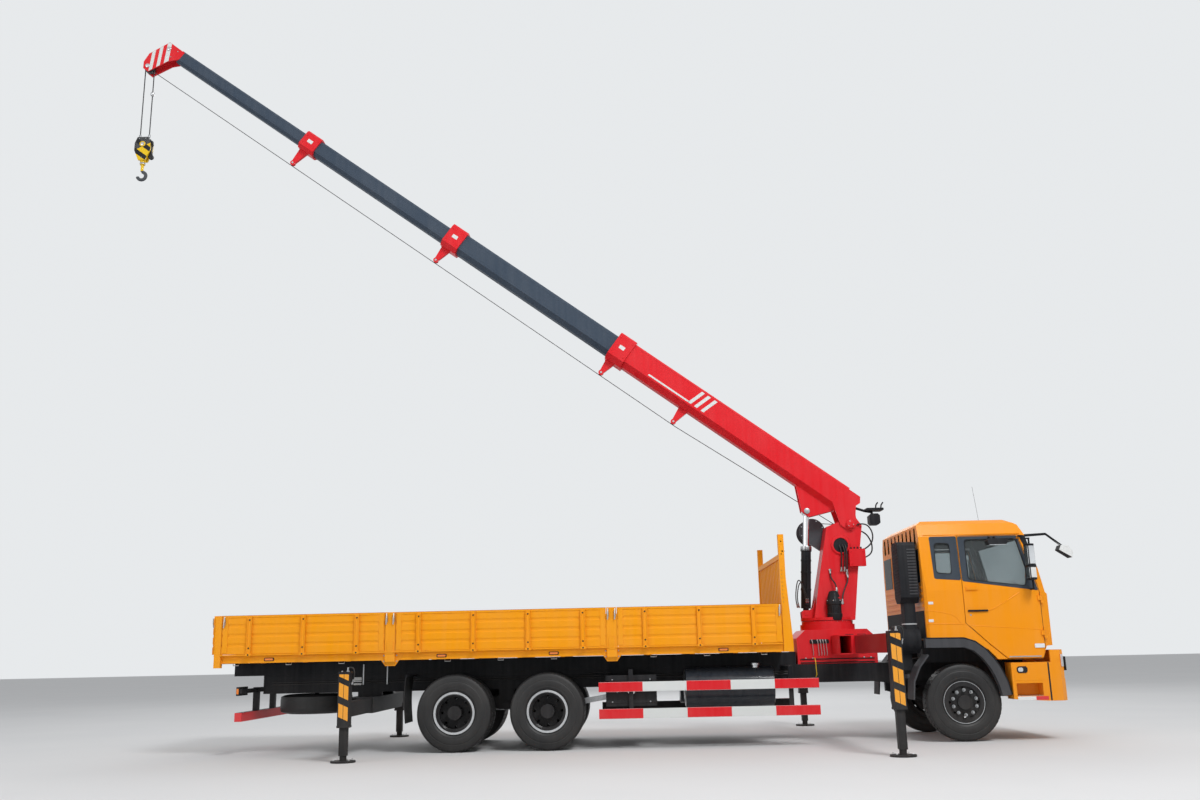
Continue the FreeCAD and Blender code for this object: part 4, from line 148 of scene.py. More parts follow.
class Maker:
    """A mesh in the making, with its materials in order. Its place says where on the truck it is drawn."""

    def __init__(self, *materials, place=None):
        self.mesh = bmesh.new()
        self.materials = materials
        self.place = place or Matrix()

    def sides(self):
        """Draws what follows once for each side of the truck."""
        place = self.place
        for side in SIDE_NAMES:
            self.place = place @ mirrored(side)
            yield side
        self.place = place

    def faces(self, rings, paint=0, looped=False):
        """Skins rings of points that all have the same count. Looped joins the last to the first."""
        self.skin([[self.place @ Vector(point) for point in ring] for ring in rings], paint, looped)

    def skin(self, rings, paint, looped=False):
        """Skins rings of points on the truck itself."""
        rows = [[self.mesh.verts.new(FRONT_AXLE + point) for point in ring] for ring in rings]
        made = []
        if looped:
            rows.append(rows[0])
        else:
            made.append(self.mesh.faces.new(list(reversed(rows[0]))))
            made.append(self.mesh.faces.new(rows[-1]))
        for lower, upper in zip(rows, rows[1:]):
            for place in range(len(lower)):
                after = (place + 1) % len(lower)
                made.append(self.mesh.faces.new((lower[place], lower[after], upper[after], upper[place])))
        for face in made:
            face.material_index = paint

    def prism(self, axis, points, span, paint=0):
        """An outline across one axis, drawn out between two places along it."""
        self.faces([[spread(axis, *point, depth) for point in points] for depth in span], paint)

    def block(self, x, y, z, paint=0, chamfer=0.004):
        """A block with its long edges cut off."""
        cut = min(chamfer, abs(x[1] - x[0]) / 4, abs(z[1] - z[0]) / 4)
        (left, right), (low, high) = sorted(x), sorted(z)
        outline = [
            (left + cut, low), (right - cut, low), (right, low + cut), (right, high - cut),
            (right - cut, high), (left + cut, high), (left, high - cut), (left, low + cut),
        ]
        self.prism("y", outline, sorted(y), paint)

    def turn(self, axis, centre, profile, paint=0, sides=32, ring=False):
        """A profile of (distance along, radius) turned round an axis. A ring's profile is closed."""
        centre = Vector(centre)
        rings = []
        for depth, radius in profile:
            points = []
            for step in range(sides):
                angle = 2 * math.pi * step / sides
                points.append(
                    centre + spread(axis, radius * math.cos(angle), radius * math.sin(angle), depth)
                )
            rings.append(points)
        self.faces(rings, paint, looped=ring)

    def tube(self, path, radius, paint=0, sides=10):
        """A round bar along a list of points."""
        path = [self.place @ Vector(point) for point in path]
        rings = []
        across = None
        for step, point in enumerate(path):
            ahead = path[min(step + 1, len(path) - 1)] - path[max(step - 1, 0)]
            ahead.normalize()
            if across is None:
                guess = Vector((0, 0, 1)) if abs(ahead.z) < 0.9 else Vector((1, 0, 0))
                across = ahead.cross(guess).normalized()
            across = (across - ahead * across.dot(ahead)).normalized()
            other = ahead.cross(across)
            rings.append([
                point + radius * (math.cos(angle) * across + math.sin(angle) * other)
                for angle in (2 * math.pi * side / sides for side in range(sides))
            ])
        self.skin(rings, paint)

    def bolt(self, axis, centre, radius, tall, paint=0):
        """A hexagon head with a small round end, standing out from its centre along an axis."""
        self.turn(axis, centre, [(0, radius), (tall * 0.8, radius), (tall, radius * 0.85)], paint, 6)
        self.turn(axis, centre, [(tall, radius * 0.5), (tall * 1.35, radius * 0.42)], paint, 8)

    def piece(self, name, body, bevel=0.0, smooth=35):
        """Ends the mesh as a piece that rides on a body."""
        bmesh.ops.recalc_face_normals(self.mesh, faces=self.mesh.faces)
        data = bpy.data.meshes.new(name)
        self.mesh.to_mesh(data)
        self.mesh.free()
        for material in self.materials:
            data.materials.append(MATERIALS[material])
        data.shade_smooth()
        data.set_sharp_from_angle(angle=math.radians(smooth))
        thing = bpy.data.objects.new(name, data)
        bpy.context.scene.collection.objects.link(thing)
        if bevel:
            rounding = thing.modifiers.new("Rounded edges", "BEVEL")
            rounding.width = bevel
            rounding.segments = 2
            rounding.limit_method = "ANGLE"
            rounding.angle_limit = math.radians(40)
        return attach(thing, body)


def strip(outline, slope, start, end):
    """The part of an outline where its first place plus slope times its second lies between two values."""
    for keep in (lambda p: p[0] + slope * p[1] - start, lambda p: end - p[0] - slope * p[1]):
        kept = []
        for first, second in zip(outline, outline[1:] + outline[:1]):
            here, there = keep(first), keep(second)
            if here >= 0:
                kept.append(first)
            if (here >= 0) != (there >= 0):
                share = here / (here - there)
                kept.append((
                    first[0] + share * (second[0] - first[0]), first[1] + share * (second[1] - first[1]),
                ))
        outline = kept
    return outline


def hose_path(points, steps=40):
    """A smooth line that starts and ends at the first and last point and is pulled by the others."""
    curve = bpy.data.curves.new("route", "CURVE")
    curve.dimensions = "3D"
    spline = curve.splines.new("NURBS")
    spline.points.add(len(points) - 1)
    for place, point in zip(spline.points, points):
        place.co = (*point, 1)
    spline.order_u = 3
    spline.use_endpoint_u = True
    spline.resolution_u = max(4, steps // len(points))
    route = bpy.data.objects.new("route", curve)
    data = bpy.data.meshes.new_from_object(route)
    path = [vertex.co.copy() for vertex in data.vertices]
    bpy.data.objects.remove(route)
    bpy.data.meshes.remove(data)
    bpy.data.curves.remove(curve)
    return path


# Effects that several finishes share

def fill(tree, node, inputs):
    """Links an input to the socket that is given for it, or sets it to the value."""
    for name, value in inputs.items():
        if isinstance(value, bpy.types.NodeSocket):
            tree.links.new(value, node.inputs[name])
        else:
            node.inputs[name].default_value = value
    return node


def put(tree, kind, inputs=None, **settings):
    """Adds a node with its settings and inputs."""
    made = tree.nodes.new("ShaderNode" + kind)
    for name, value in settings.items():
        setattr(made, name, value)
    return fill(tree, made, inputs or {})


def math_node(tree, operation, first, second, clamp=False):
    return put(tree, "Math", {0: first, 1: second}, operation=operation, use_clamp=clamp).outputs[0]


def blend_colours(tree, share, first, second, mode="MIX"):
    made = put(tree, "Mix", {0: share, 6: first, 7: second}, data_type="RGBA", blend_type=mode)
    return made.outputs[2]


def effect_group(name, inputs, outputs):
    """A node group with named sockets: returns it with its input and output nodes."""
    tree = bpy.data.node_groups.new(name, "ShaderNodeTree")
    for label, kind, default in inputs:
        socket = tree.interface.new_socket(label, in_out="INPUT", socket_type="NodeSocket" + kind)
        socket.default_value = default
    for label, kind in outputs:
        tree.interface.new_socket(label, in_out="OUTPUT", socket_type="NodeSocket" + kind)
    return tree, tree.nodes.new("NodeGroupInput"), tree.nodes.new("NodeGroupOutput")


def make_weathering():
    """Fading, rain streaks and road dust that is thickest near the ground and on ledges."""
    tree, given, result = effect_group("Weathering", [
        ("Paint", "Color", (0.5, 0.5, 0.5, 1)),
        ("Dust", "Color", (0.3, 0.26, 0.21, 1)),
        ("Dust amount", "Float", 0.3),
        ("Dust height", "Float", 1.2),
        ("Gloss roughness", "Float", 0.3),
        ("Fading", "Float", 0.12),
    ], [("Colour", "Color"), ("Roughness", "Float")])
    place = put(tree, "TexCoord").outputs["Object"]
    apart = put(tree, "SeparateXYZ", {0: place})
    facing = put(tree, "SeparateXYZ", {0: put(tree, "NewGeometry").outputs["Normal"]})
    clouds = put(tree, "TexNoise", {"Vector": place, "Scale": 1.7, "Detail": 5.0}).outputs[0]
    specks = put(tree, "TexNoise", {"Vector": place, "Scale": 55.0, "Detail": 3.0}).outputs[0]
    drawn_out = put(tree, "Mapping", {"Vector": place, "Scale": (14.0, 14.0, 0.9)}).outputs[0]
    streaks = put(tree, "TexNoise", {"Vector": drawn_out, "Scale": 1.0, "Detail": 4.0}).outputs[0]
    low = put(tree, "MapRange", {
        "Value": apart.outputs[2], "From Min": 0.0, "From Max": given.outputs["Dust height"],
        "To Min": 1.0, "To Max": 0.0,
    }).outputs[0]
    ledge = put(tree, "MapRange", {"Value": facing.outputs[2], "From Min": 0.55, "From Max": 1.0}).outputs[0]
    lying = math_node(tree, "MULTIPLY", ledge, 0.3)
    settled = math_node(tree, "MAXIMUM", low, lying)
    patchy = put(tree, "MapRange", {"Value": clouds, "From Min": 0.3, "From Max": 0.7}).outputs[0]
    broken = math_node(tree, "MULTIPLY", settled, math_node(tree, "ADD", patchy, 0.35))
    speckled = math_node(tree, "MULTIPLY", broken, math_node(tree, "ADD", specks, 0.5))
    dust = math_node(tree, "MULTIPLY", speckled, given.outputs["Dust amount"], clamp=True)
    run = put(tree, "MapRange", {"Value": streaks, "From Min": 0.35, "From Max": 0.75}).outputs[0]
    worn = math_node(tree, "MULTIPLY", math_node(tree, "ADD", run, patchy), 0.5)
    share = math_node(tree, "MULTIPLY", worn, given.outputs["Fading"])
    chalky = blend_colours(tree, 0.25, given.outputs["Paint"], (0.9, 0.9, 0.9, 1))
    faded = blend_colours(tree, share, given.outputs["Paint"], chalky)
    colour = blend_colours(tree, dust, faded, given.outputs["Dust"])
    rougher = math_node(tree, "MULTIPLY_ADD", dust, 0.5)
    tree.links.new(given.outputs["Gloss roughness"], rougher.node.inputs[2])
    rough = math_node(tree, "MULTIPLY_ADD", worn, 0.08, clamp=True)
    tree.links.new(rougher, rough.node.inputs[2])
    fill(tree, result, {
        "Colour": colour, "Roughness": rough,
    })
    return tree


def make_edge_wear():
    """Bare metal where the rounded edge turns away from the flat face, broken by noise."""
    tree, given, result = effect_group("Edge wear", [
        ("Paint", "Color", (0.5, 0.5, 0.5, 1)),
        ("Bare", "Color", (0.2, 0.19, 0.18, 1)),
        ("Amount", "Float", 0.5),
        ("Width", "Float", 0.006),
    ], [("Colour", "Color")])
    place = put(tree, "TexCoord").outputs["Object"]
    flat = put(tree, "NewGeometry").outputs["Normal"]
    rounded = put(tree, "Bevel", {"Radius": given.outputs["Width"]}, samples=4).outputs[0]
    agree = put(tree, "VectorMath", {0: flat, 1: rounded}, operation="DOT_PRODUCT").outputs["Value"]
    edge = put(tree, "MapRange", {"Value": agree, "From Min": 0.995, "From Max": 0.93}).outputs[0]
    chips = put(
        tree, "TexNoise", {"Vector": place, "Scale": 23.0, "Detail": 6.0, "Roughness": 0.7},
    ).outputs[0]
    broken = put(tree, "MapRange", {"Value": chips, "From Min": 0.5, "From Max": 0.62}).outputs[0]
    mask = math_node(
        tree, "MULTIPLY", math_node(tree, "MULTIPLY", edge, broken), given.outputs["Amount"], clamp=True,
    )
    fill(tree, result, {"Colour": blend_colours(tree, mask, given.outputs["Paint"], given.outputs["Bare"])})
    return tree


def make_paint_skin():
    """The fine unevenness of sprayed paint and of slightly wavy sheet metal."""
    tree, given, result = effect_group("Paint skin", [
        ("Grain", "Float", 260.0),
        ("Grain depth", "Float", 0.35),
        ("Panel waves", "Float", 2.5),
    ], [("Height", "Float")])
    place = put(tree, "TexCoord").outputs["Object"]
    grain = put(
        tree, "TexNoise", {"Vector": place, "Scale": given.outputs["Grain"], "Detail": 2.0},
    ).outputs[0]
    waves = put(
        tree, "TexNoise", {"Vector": place, "Scale": given.outputs["Panel waves"], "Detail": 1.0},
    ).outputs[0]
    fine = math_node(tree, "MULTIPLY", grain, given.outputs["Grain depth"])
    fill(tree, result, {"Height": math_node(tree, "ADD", fine, waves)})
    return tree


GROUPS = {}
MATERIALS = {}


def use_group(tree, name, inputs):
    return put(tree, "Group", inputs, node_tree=GROUPS[name])


def rgba(colour):
    return (*colour, 1.0)


def new_material(name):
    """An empty material and its tree, with the main shader joined to the output."""
    material = bpy.data.materials.new(name)
    material.use_nodes = True
    tree = material.node_tree
    tree.nodes.clear()
    shader = tree.nodes.new("ShaderNodeBsdfPrincipled")
    output = tree.nodes.new("ShaderNodeOutputMaterial")
    tree.links.new(shader.outputs[0], output.inputs[0])
    MATERIALS[name] = material
    return tree, shader


def painted(name, colour, gloss=0.3, coat=0.5, dust=0.3, dust_height=1.2, wear=0.4, grain=0.35):
    """A sprayed finish over metal or plastic, with dust, fading, chipped edges and a fine skin."""
    tree, shader = new_material(name)
    colours = bpy.context.scene.truck_colours
    edge = use_group(tree, "Edge wear", {"Paint": rgba(colour), "Amount": wear})
    weather = use_group(tree, "Weathering", {
        "Paint": edge.outputs["Colour"], "Dust": rgba(colours.dust), "Dust amount": dust,
        "Dust height": dust_height, "Gloss roughness": gloss,
    })
    skin = use_group(tree, "Paint skin", {"Grain depth": grain})
    rounded = put(tree, "Bevel", {"Radius": 0.004}, samples=4).outputs[0]
    bump = put(
        tree, "Bump", {"Height": skin.outputs[0], "Strength": 0.08, "Distance": 0.02, "Normal": rounded},
    )
    fill(tree, shader, {
        "Base Color": weather.outputs["Colour"], "Roughness": weather.outputs["Roughness"],
        "Normal": bump.outputs[0], "Coat Weight": coat, "Coat Roughness": 0.12,
        "Specular IOR Level": 0.06,
    })


def make_rubber(name, colour, grain, dust):
    """Black rubber with dust caught in its surface."""
    tree, shader = new_material(name)
    colours = bpy.context.scene.truck_colours
    weather = use_group(tree, "Weathering", {
        "Paint": rgba(colour), "Dust": rgba(colours.dust), "Dust amount": dust, "Dust height": 2.5,
        "Gloss roughness": 0.44, "Fading": 0.06,
    })
    place = put(tree, "TexCoord").outputs["Object"]
    pores = put(tree, "TexNoise", {"Vector": place, "Scale": grain, "Detail": 3.0}).outputs[0]
    bump = put(tree, "Bump", {"Height": pores, "Strength": 0.25, "Distance": 0.004})
    fill(tree, shader, {
        "Base Color": weather.outputs["Colour"], "Roughness": weather.outputs["Roughness"],
        "Normal": bump.outputs[0], "Specular IOR Level": 0.4,
    })


def make_metal(name, colour, rough, brushed=(3.0, 3.0, 90.0)):
    """Bare or plated metal with fine marks drawn out one way."""
    tree, shader = new_material(name)
    place = put(tree, "TexCoord").outputs["Object"]
    lines = put(tree, "Mapping", {"Vector": place, "Scale": brushed}).outputs[0]
    marks = put(tree, "TexNoise", {"Vector": lines, "Scale": 6.0, "Detail": 4.0}).outputs[0]
    stains = put(tree, "TexNoise", {"Vector": place, "Scale": 4.0, "Detail": 5.0}).outputs[0]
    share = put(
        tree, "MapRange", {"Value": stains, "From Min": 0.4, "From Max": 0.75, "To Max": 0.5},
    ).outputs[0]
    darker = tuple(value * 0.6 for value in colour)
    tone = blend_colours(tree, share, rgba(colour), rgba(darker))
    finish = put(tree, "MapRange", {"Value": marks, "To Min": rough * 0.7, "To Max": rough * 1.4}).outputs[0]
    bump = put(tree, "Bump", {"Height": marks, "Strength": 0.12, "Distance": 0.002})
    fill(tree, shader, {
        "Base Color": tone, "Roughness": finish, "Normal": bump.outputs[0], "Metallic": 1.0,
    })


def make_glass(name, colour, clear, rough=0.02):
    """Tinted glass, as clear as it is given, with a faint milky film in patches."""
    tree, shader = new_material(name)
    place = put(tree, "TexCoord").outputs["Object"]
    film = put(tree, "TexNoise", {"Vector": place, "Scale": 6.0, "Detail": 5.0}).outputs[0]
    haze = put(
        tree, "MapRange", {"Value": film, "From Min": 0.45, "To Min": rough, "To Max": rough + 0.06},
    ).outputs[0]
    milky = tuple(min(1.0, value + 0.03) for value in colour)
    fill(tree, shader, {
        "Base Color": blend_colours(tree, film, rgba(colour), rgba(milky)), "Roughness": haze,
        "Transmission Weight": clear, "IOR": 1.1,
    })


def make_lens(name, colour, glow=0.0):
    """Moulded lamp lens with fine ribs behind a smooth face."""
    tree, shader = new_material(name)
    place = put(tree, "TexCoord").outputs["Object"]
    ribs = put(
        tree, "TexWave", {"Vector": place, "Scale": 45.0, "Distortion": 0.2}, bands_direction="Y",
    ).outputs[1]
    dark = tuple(value * 0.55 for value in colour)
    fill(tree, shader, {"Base Color": blend_colours(tree, ribs, rgba(dark), rgba(colour))})
    bump = put(tree, "Bump", {"Height": ribs, "Strength": 0.3, "Distance": 0.002})
    fill(tree, shader, {
        "Normal": bump.outputs[0], "Roughness": 0.18, "Coat Weight": 1.0, "Emission Color": rgba(colour),
        "Emission Strength": glow,
    })


def make_reflective(name, colour):
    """Prismatic sheet: a fine honeycomb pattern under a glossy film."""
    tree, shader = new_material(name)
    place = put(tree, "TexCoord").outputs["Object"]
    cells = put(
        tree, "TexVoronoi", {"Vector": place, "Scale": 90.0, "Randomness": 0.15},
        feature="DISTANCE_TO_EDGE",
    )
    seam = put(tree, "MapRange", {"Value": cells.outputs[0], "From Max": 0.06}).outputs[0]
    duller = tuple(value * 0.75 for value in colour)
    tone = blend_colours(tree, seam, rgba(duller), rgba(colour))
    fill(tree, shader, {
        "Base Color": tone, "Roughness": 0.28, "Coat Weight": 0.7,
    })


def make_deck():
    """Film-faced deck boards: a pressed net of small squares with scuffs and dust."""
    tree, shader = new_material("deck_board")
    colours = bpy.context.scene.truck_colours
    place = put(tree, "TexCoord").outputs["Object"]
    net = put(tree, "TexBrick", {"Vector": place, "Scale": 60.0, "Mortar Size": 0.09})
    boards = put(tree, "TexBrick", {
        "Vector": place, "Scale": 1.0, "Mortar Size": 0.004, "Brick Width": 2.44, "Row Height": 0.6,
        "Color1": (0.075, 0.045, 0.03, 1), "Color2": (0.10, 0.06, 0.04, 1), "Mortar": (0.01, 0.008, 0.006, 1),
    })
    scuffs = put(
        tree, "TexNoise", {"Vector": place, "Scale": 5.0, "Detail": 8.0, "Distortion": 1.5},
    ).outputs[0]
    share = put(
        tree, "MapRange", {"Value": scuffs, "From Min": 0.5, "From Max": 0.75, "To Max": 0.6},
    ).outputs[0]
    tone = blend_colours(tree, share, boards.outputs["Color"], rgba(colours.dust))
    bump = put(tree, "Bump", {"Height": net.outputs["Fac"], "Strength": 0.3, "Distance": 0.002})
    fill(tree, shader, {
        "Base Color": tone, "Normal": bump.outputs[0], "Roughness": 0.7,
    })


def make_fabric():
    """Woven seat cloth."""
    tree, shader = new_material("seat_cloth")
    place = put(tree, "TexCoord").outputs["Object"]
    warp = put(tree, "TexWave", {"Vector": place, "Scale": 260.0}, bands_direction="X").outputs[1]
    weft = put(tree, "TexWave", {"Vector": place, "Scale": 260.0}, bands_direction="Y").outputs[1]
    weave = math_node(tree, "MULTIPLY", warp, weft)
    tone = blend_colours(tree, weave, (0.03, 0.033, 0.04, 1), (0.09, 0.095, 0.11, 1))
    bump = put(tree, "Bump", {"Height": weave, "Strength": 0.4, "Distance": 0.002})
    fill(tree, shader, {
        "Base Color": tone, "Normal": bump.outputs[0], "Roughness": 0.95, "Sheen Weight": 0.3,
    })


def make_rope():
    """Laid steel wire, greased, with its strands as slanted bands."""
    tree, shader = new_material("wire_rope")
    place = put(tree, "TexCoord").outputs["Object"]
    slanted = put(tree, "Mapping", {"Vector": place, "Rotation": (0.5, 0.9, 0.4)}).outputs[0]
    strands = put(tree, "TexWave", {"Vector": slanted, "Scale": 60.0}, bands_direction="X").outputs[1]
    tone = blend_colours(tree, strands, (0.02, 0.02, 0.022, 1), (0.16, 0.16, 0.165, 1))
    bump = put(tree, "Bump", {"Height": strands, "Strength": 0.6, "Distance": 0.003})
    fill(tree, shader, {
        "Base Color": tone, "Normal": bump.outputs[0], "Metallic": 0.8, "Roughness": 0.45,
    })


class TRUCK_OT_finishes(bpy.types.Operator):
    """Make every paint and finish"""

    bl_idname = "truck.finishes"
    bl_label = "Paints and finishes"

    def execute(self, context):
        colours = context.scene.truck_colours
        GROUPS["Weathering"] = make_weathering()
        GROUPS["Edge wear"] = make_edge_wear()
        GROUPS["Paint skin"] = make_paint_skin()
        paints = [
            # name, colour, gloss, coat, dust, dust height, edge wear, grain
            ("cab_paint", colours.cab, 0.3, 0.08, 0.12, 1.3, 0.05, 0.12),
            ("bed_paint", colours.bed, 0.42, 0.04, 0.1, 1.6, 0.2, 0.3),
            ("crane_red", colours.crane, 0.34, 0.2, 0.05, 1.6, 0.2, 0.2),
            ("boom_grey", colours.boom, 0.45, 0.1, 0.05, 1.6, 0.25, 0.35),
            ("chassis_black", colours.chassis, 0.45, 0.05, 0.10, 1.25, 0.25, 0.5),
            ("rim_paint", colours.rim, 0.38, 0.1, 0.08, 1.0, 0.3, 0.3),
            ("guard_white", colours.white, 0.4, 0.1, 0.15, 1.1, 0.2, 0.2),
            ("guard_red", colours.red, 0.4, 0.1, 0.08, 1.1, 0.2, 0.2),
            ("marking_white", colours.white, 0.4, 0.1, 0.03, 0.5, 0.0, 0.1),
            ("hook_yellow", colours.yellow, 0.4, 0.3, 0.05, 0.5, 0.4, 0.3),
            ("hook_black", colours.rim, 0.45, 0.2, 0.05, 0.5, 0.3, 0.3),
            ("trim_black", (0.014, 0.015, 0.018), 0.55, 0.0, 0.08, 1.2, 0.0, 1.2),
            ("fender_grey", (0.060, 0.062, 0.068), 0.6, 0.0, 0.10, 1.3, 0.0, 1.2),
            ("winch_grey", (0.075, 0.082, 0.092), 0.45, 0.1, 0.05, 1.6, 0.3, 0.4),
            ("inner_grey", (0.12, 0.12, 0.125), 0.6, 0.0, 0.05, 1.0, 0.0, 1.0),
            # Crane red at half brightness for the front beams: painted shade where they lie in shadow
            ("beam_red_painted_shade", (0.30, 0.008, 0.012), 0.4, 0.05, 0.05, 1.6, 0.2, 0.2),
            ("tank_black", (0.022, 0.027, 0.036), 0.25, 0.5, 0.05, 1.0, 0.0, 0.1),
            ("plate_bare", (0.75, 0.76, 0.75), 0.4, 0.1, 0.05, 1.2, 0.1, 0.1),
            ("band_slate", (0.042, 0.055, 0.072), 0.32, 0.1, 0.04, 1.2, 0.0, 0.1),
        ]
        for name, colour, gloss, coat, dust, height, wear, grain in paints:
            painted(name, tuple(colour), gloss, coat, dust, height, wear, grain)
        make_rubber("tyre", (0.0055, 0.006, 0.0075), 180.0, 0.05)
        make_rubber("hose", (0.010, 0.010, 0.011), 300.0, 0.05)
        make_metal("rod_chrome", (0.82, 0.83, 0.84), 0.12, (1.0, 1.0, 40.0))
        make_metal("steel_bright", (0.62, 0.63, 0.64), 0.28)
        make_metal("zinc", (0.45, 0.46, 0.47), 0.42, (20.0, 20.0, 20.0))
        make_metal("mirror_face", (0.80, 0.82, 0.84), 0.03, (1.0, 1.0, 1.0))
        make_glass("window_glass", (0.50, 0.55, 0.56), 0.92)
        # Opaque near-black glass: the panes are real, their dark colour is painted shade of the cab's inside
        # seen through them
        make_glass("dark_pane_painted_shade", (0.02, 0.028, 0.03), 0.0)
        make_lens("lens_clear", (0.78, 0.80, 0.82))
        make_lens("lens_amber", (0.85, 0.22, 0.01), 0.15)
        make_lens("lens_red", (0.62, 0.012, 0.01), 0.15)
        make_reflective("reflector_orange", (0.90, 0.36, 0.01))
        make_reflective("reflector_white", (0.80, 0.81, 0.80))
        make_reflective("reflector_red", (0.70, 0.015, 0.02))
        make_deck()
        make_fabric()
        make_rope()
        return {"FINISHED"}


# The solids that stay: each node and the finish of its faces

NODE_FINISHES = {
    "cab_paint": ("cab_shell", "door_left", "door_right", "front_bumper"),
    "bed_paint": ("load_bed", "headboard", "tailboard"),
    "crane_red": ("crane_base", "crane_column", "boom_base"),
    "boom_grey": ("boom_section_2", "boom_section_3", "boom_section_4"),
    "chassis_black": (
        "ladder_frame", "subframe", "rear_outrigger_box", "front_axle", "rear_axles", "knuckle_left",
        "knuckle_right", "rear_guard", "front_beam_left", "front_beam_right", "front_leg_left",
        "front_leg_right", "rear_beam_left", "rear_beam_right", "rear_leg_left", "rear_leg_right",
        "luff_cylinder", "tanks", "powertrain",
    ),
    "trim_black": ("air_intake",),
    "guard_white": ("guards",),
    "winch_grey": ("winch",),
    "rod_chrome": ("luff_rod",),
    "tyre": ("spare_wheel",),
    "inner_grey": ("cab_interior",),
    "window_glass": ("cab_glass", "door_glass_left", "door_glass_right"),
    "hook_yellow": ("hook_block",),
}


BARS_END = -1.98  # fenders ahead of this place, side guards behind it
MIRROR_HEAD = 1.53


def set_finish(node, finish):
    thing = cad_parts[node]
    thing.data.materials.clear()
    thing.data.materials.append(MATERIALS[finish])


def repaint(node, finish, wanted):
    """Gives a second finish to the faces whose middle on the truck and direction are wanted."""
    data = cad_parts[node].data
    data.materials.append(MATERIALS[finish])
    number = len(data.materials) - 1
    for face in data.polygons:
        if wanted(face.center - FRONT_AXLE, face.normal):
            face.material_index = number


class TRUCK_OT_solids(bpy.types.Operator):
    """Give every solid that stays its finish, and paint the faces that differ"""

    bl_idname = "truck.solids"
    bl_label = "Painted solids"

    def execute(self, context):
        for finish, nodes in NODE_FINISHES.items():
            for node in nodes:
                set_finish(node, finish)
        for side in SIDE_NAMES.values():
            for number in (1, 2, 3):
                set_finish(f"drop_side_{side}_{number}", "bed_paint")
            for name, tyres in WHEELS:
                set_finish(f"wheel_{name}_{side}", "rim_paint")
        deck_top = middle("load_bed").z
        repaint("load_bed", "deck_board", lambda c, n: n.z > 0.9 and abs(c.y) < 1.19 and c.z < deck_top)
        repaint(
            "load_bed", "chassis_black", lambda c,
            n: c.z < BED_LOW.z + 0.17 and abs(c.y) < 1.14 and n.z < 0.9,
        )
        # The inner part of each front beam takes the darker copy of the crane red: painted shade
        for side in ("left", "right"):
            repaint(f"front_beam_{side}", "beam_red_painted_shade", lambda c, n: abs(c.y) < 2.5 and c.z > 1.16)
        repaint("guards", "fender_grey", lambda c, n: c.x > BARS_END)
        repaint("guards", "chassis_black", lambda c, n: c.x <= BARS_END and abs(c.y) < 1.18)
        repaint("rear_guard", "guard_red", lambda c, n: c.z < 0.62 and n.z < 0.5)
        repaint("cab_shell", "inner_grey", cab_inside)
        repaint(
            "cab_shell", "trim_black", lambda c, n: on_mirror(c) and (c.x < MIRROR_HEAD or abs(n.y) < 0.9),
        )
        repaint("cab_shell", "plate_bare", lambda c, n: on_mirror(c) and c.x > MIRROR_HEAD and n.y < -0.9)
        for side in SIDE_NAMES.values():
            repaint(f"door_{side}", "inner_grey", lambda c, n: n.y * c.y < -0.05 and abs(c.y) < 1.14)
            repaint(f"door_{side}", "trim_black", door_trim)
        repaint("cab_interior", "seat_cloth", lambda c, n: c.x < 0.62 and c.z > 1.62)
        repaint("cab_interior", "trim_black", lambda c, n: c.x > 0.62 and c.z > 1.9)
        repaint("luff_cylinder", "steel_bright", lambda c, n: c.z > 2.80)
        spare = middle("spare_wheel")
        repaint("spare_wheel", "rim_paint", lambda c, n: math.hypot(c.x - spare.x, c.y) < 0.30)
        repaint("tanks", "tank_black", lambda c, n: c.x > -4.1)
        repaint("powertrain", "steel_bright", lambda c, n: c.x < -2.2 and abs(c.y) < 0.2)
        in_frame = IN_BOOM.inverted()
        hook_low = solid_box("hook_block")[0].z
        repaint("hook_block", "wire_rope", lambda c, n: c.z > hook_low + 0.62)
        repaint("hook_block", "winch_grey", lambda c, n: c.z < hook_low + 0.2)
        for node, end in (("boom_section_2", 7.94), ("boom_section_3", 10.98), ("boom_section_4", 13.75)):
            repaint(node, "crane_red", lambda c, n, e=end: (in_frame @ c).x < -e + 0.32)
        repaint("boom_section_4", "trim_black", lambda c, n: (in_frame @ c).x < -13.76 and abs(c.y) < 0.088)
        return {"FINISHED"}


def on_mirror(centre):
    """Whether a face of the cab belongs to the front mirror and its arm."""
    return centre.x > 1.06 and centre.z > 2.4 and -1.13 < centre.y < -0.94


def cab_inside(centre, normal):
    """Faces of the cab's inner walls, which look towards its middle."""
    heart = Vector(((CAB_LOW.x + CAB_HIGH.x) / 2, 0.0, 2.2))
    walled = abs(centre.y) < 1.165 and CAB_LOW.x + 0.03 < centre.x and 1.30 < centre.z < CAB_HIGH.z - 0.03
    return walled and normal.dot(heart - centre) > 0.05


def door_trim(centre, normal):
    """Mirror and hinge faces of a door, which stand out from its skin."""
    return abs(centre.y) > 1.205 or (centre.z > 2.3 and centre.x > 1.12)


# Wheels

TYRE_OUTLINE = [
    # place across the tyre as a share of half its width, radius as a share of the whole
    (0.72, 0.485), (0.72, 0.562), (0.85, 0.570), (0.935, 0.606), (0.96, 0.625), (0.95, 0.635),
    (0.98, 0.66), (1.0, 0.70), (1.0, 0.76), (0.985, 0.80), (0.96, 0.81), (0.975, 0.825), (0.96, 0.835),
    (0.955, 0.86), (0.93, 0.90), (0.875, 0.95), (0.84, 0.965),
]
TREAD_ROWS = [
    # start and end across the tread as a share of half the width, turn of the row as a share of a pitch
    (-0.88, -0.50, 0.0),
    (-0.44, -0.16, 0.35),
    (-0.11, 0.11, 0.7),
    (0.16, 0.44, 0.15),
    (0.50, 0.88, 0.5),
]
NUT_CIRCLE = 0.1675
FLANGE_OUT = 0.115  # from the middle of a tyre to the rim's outer edge


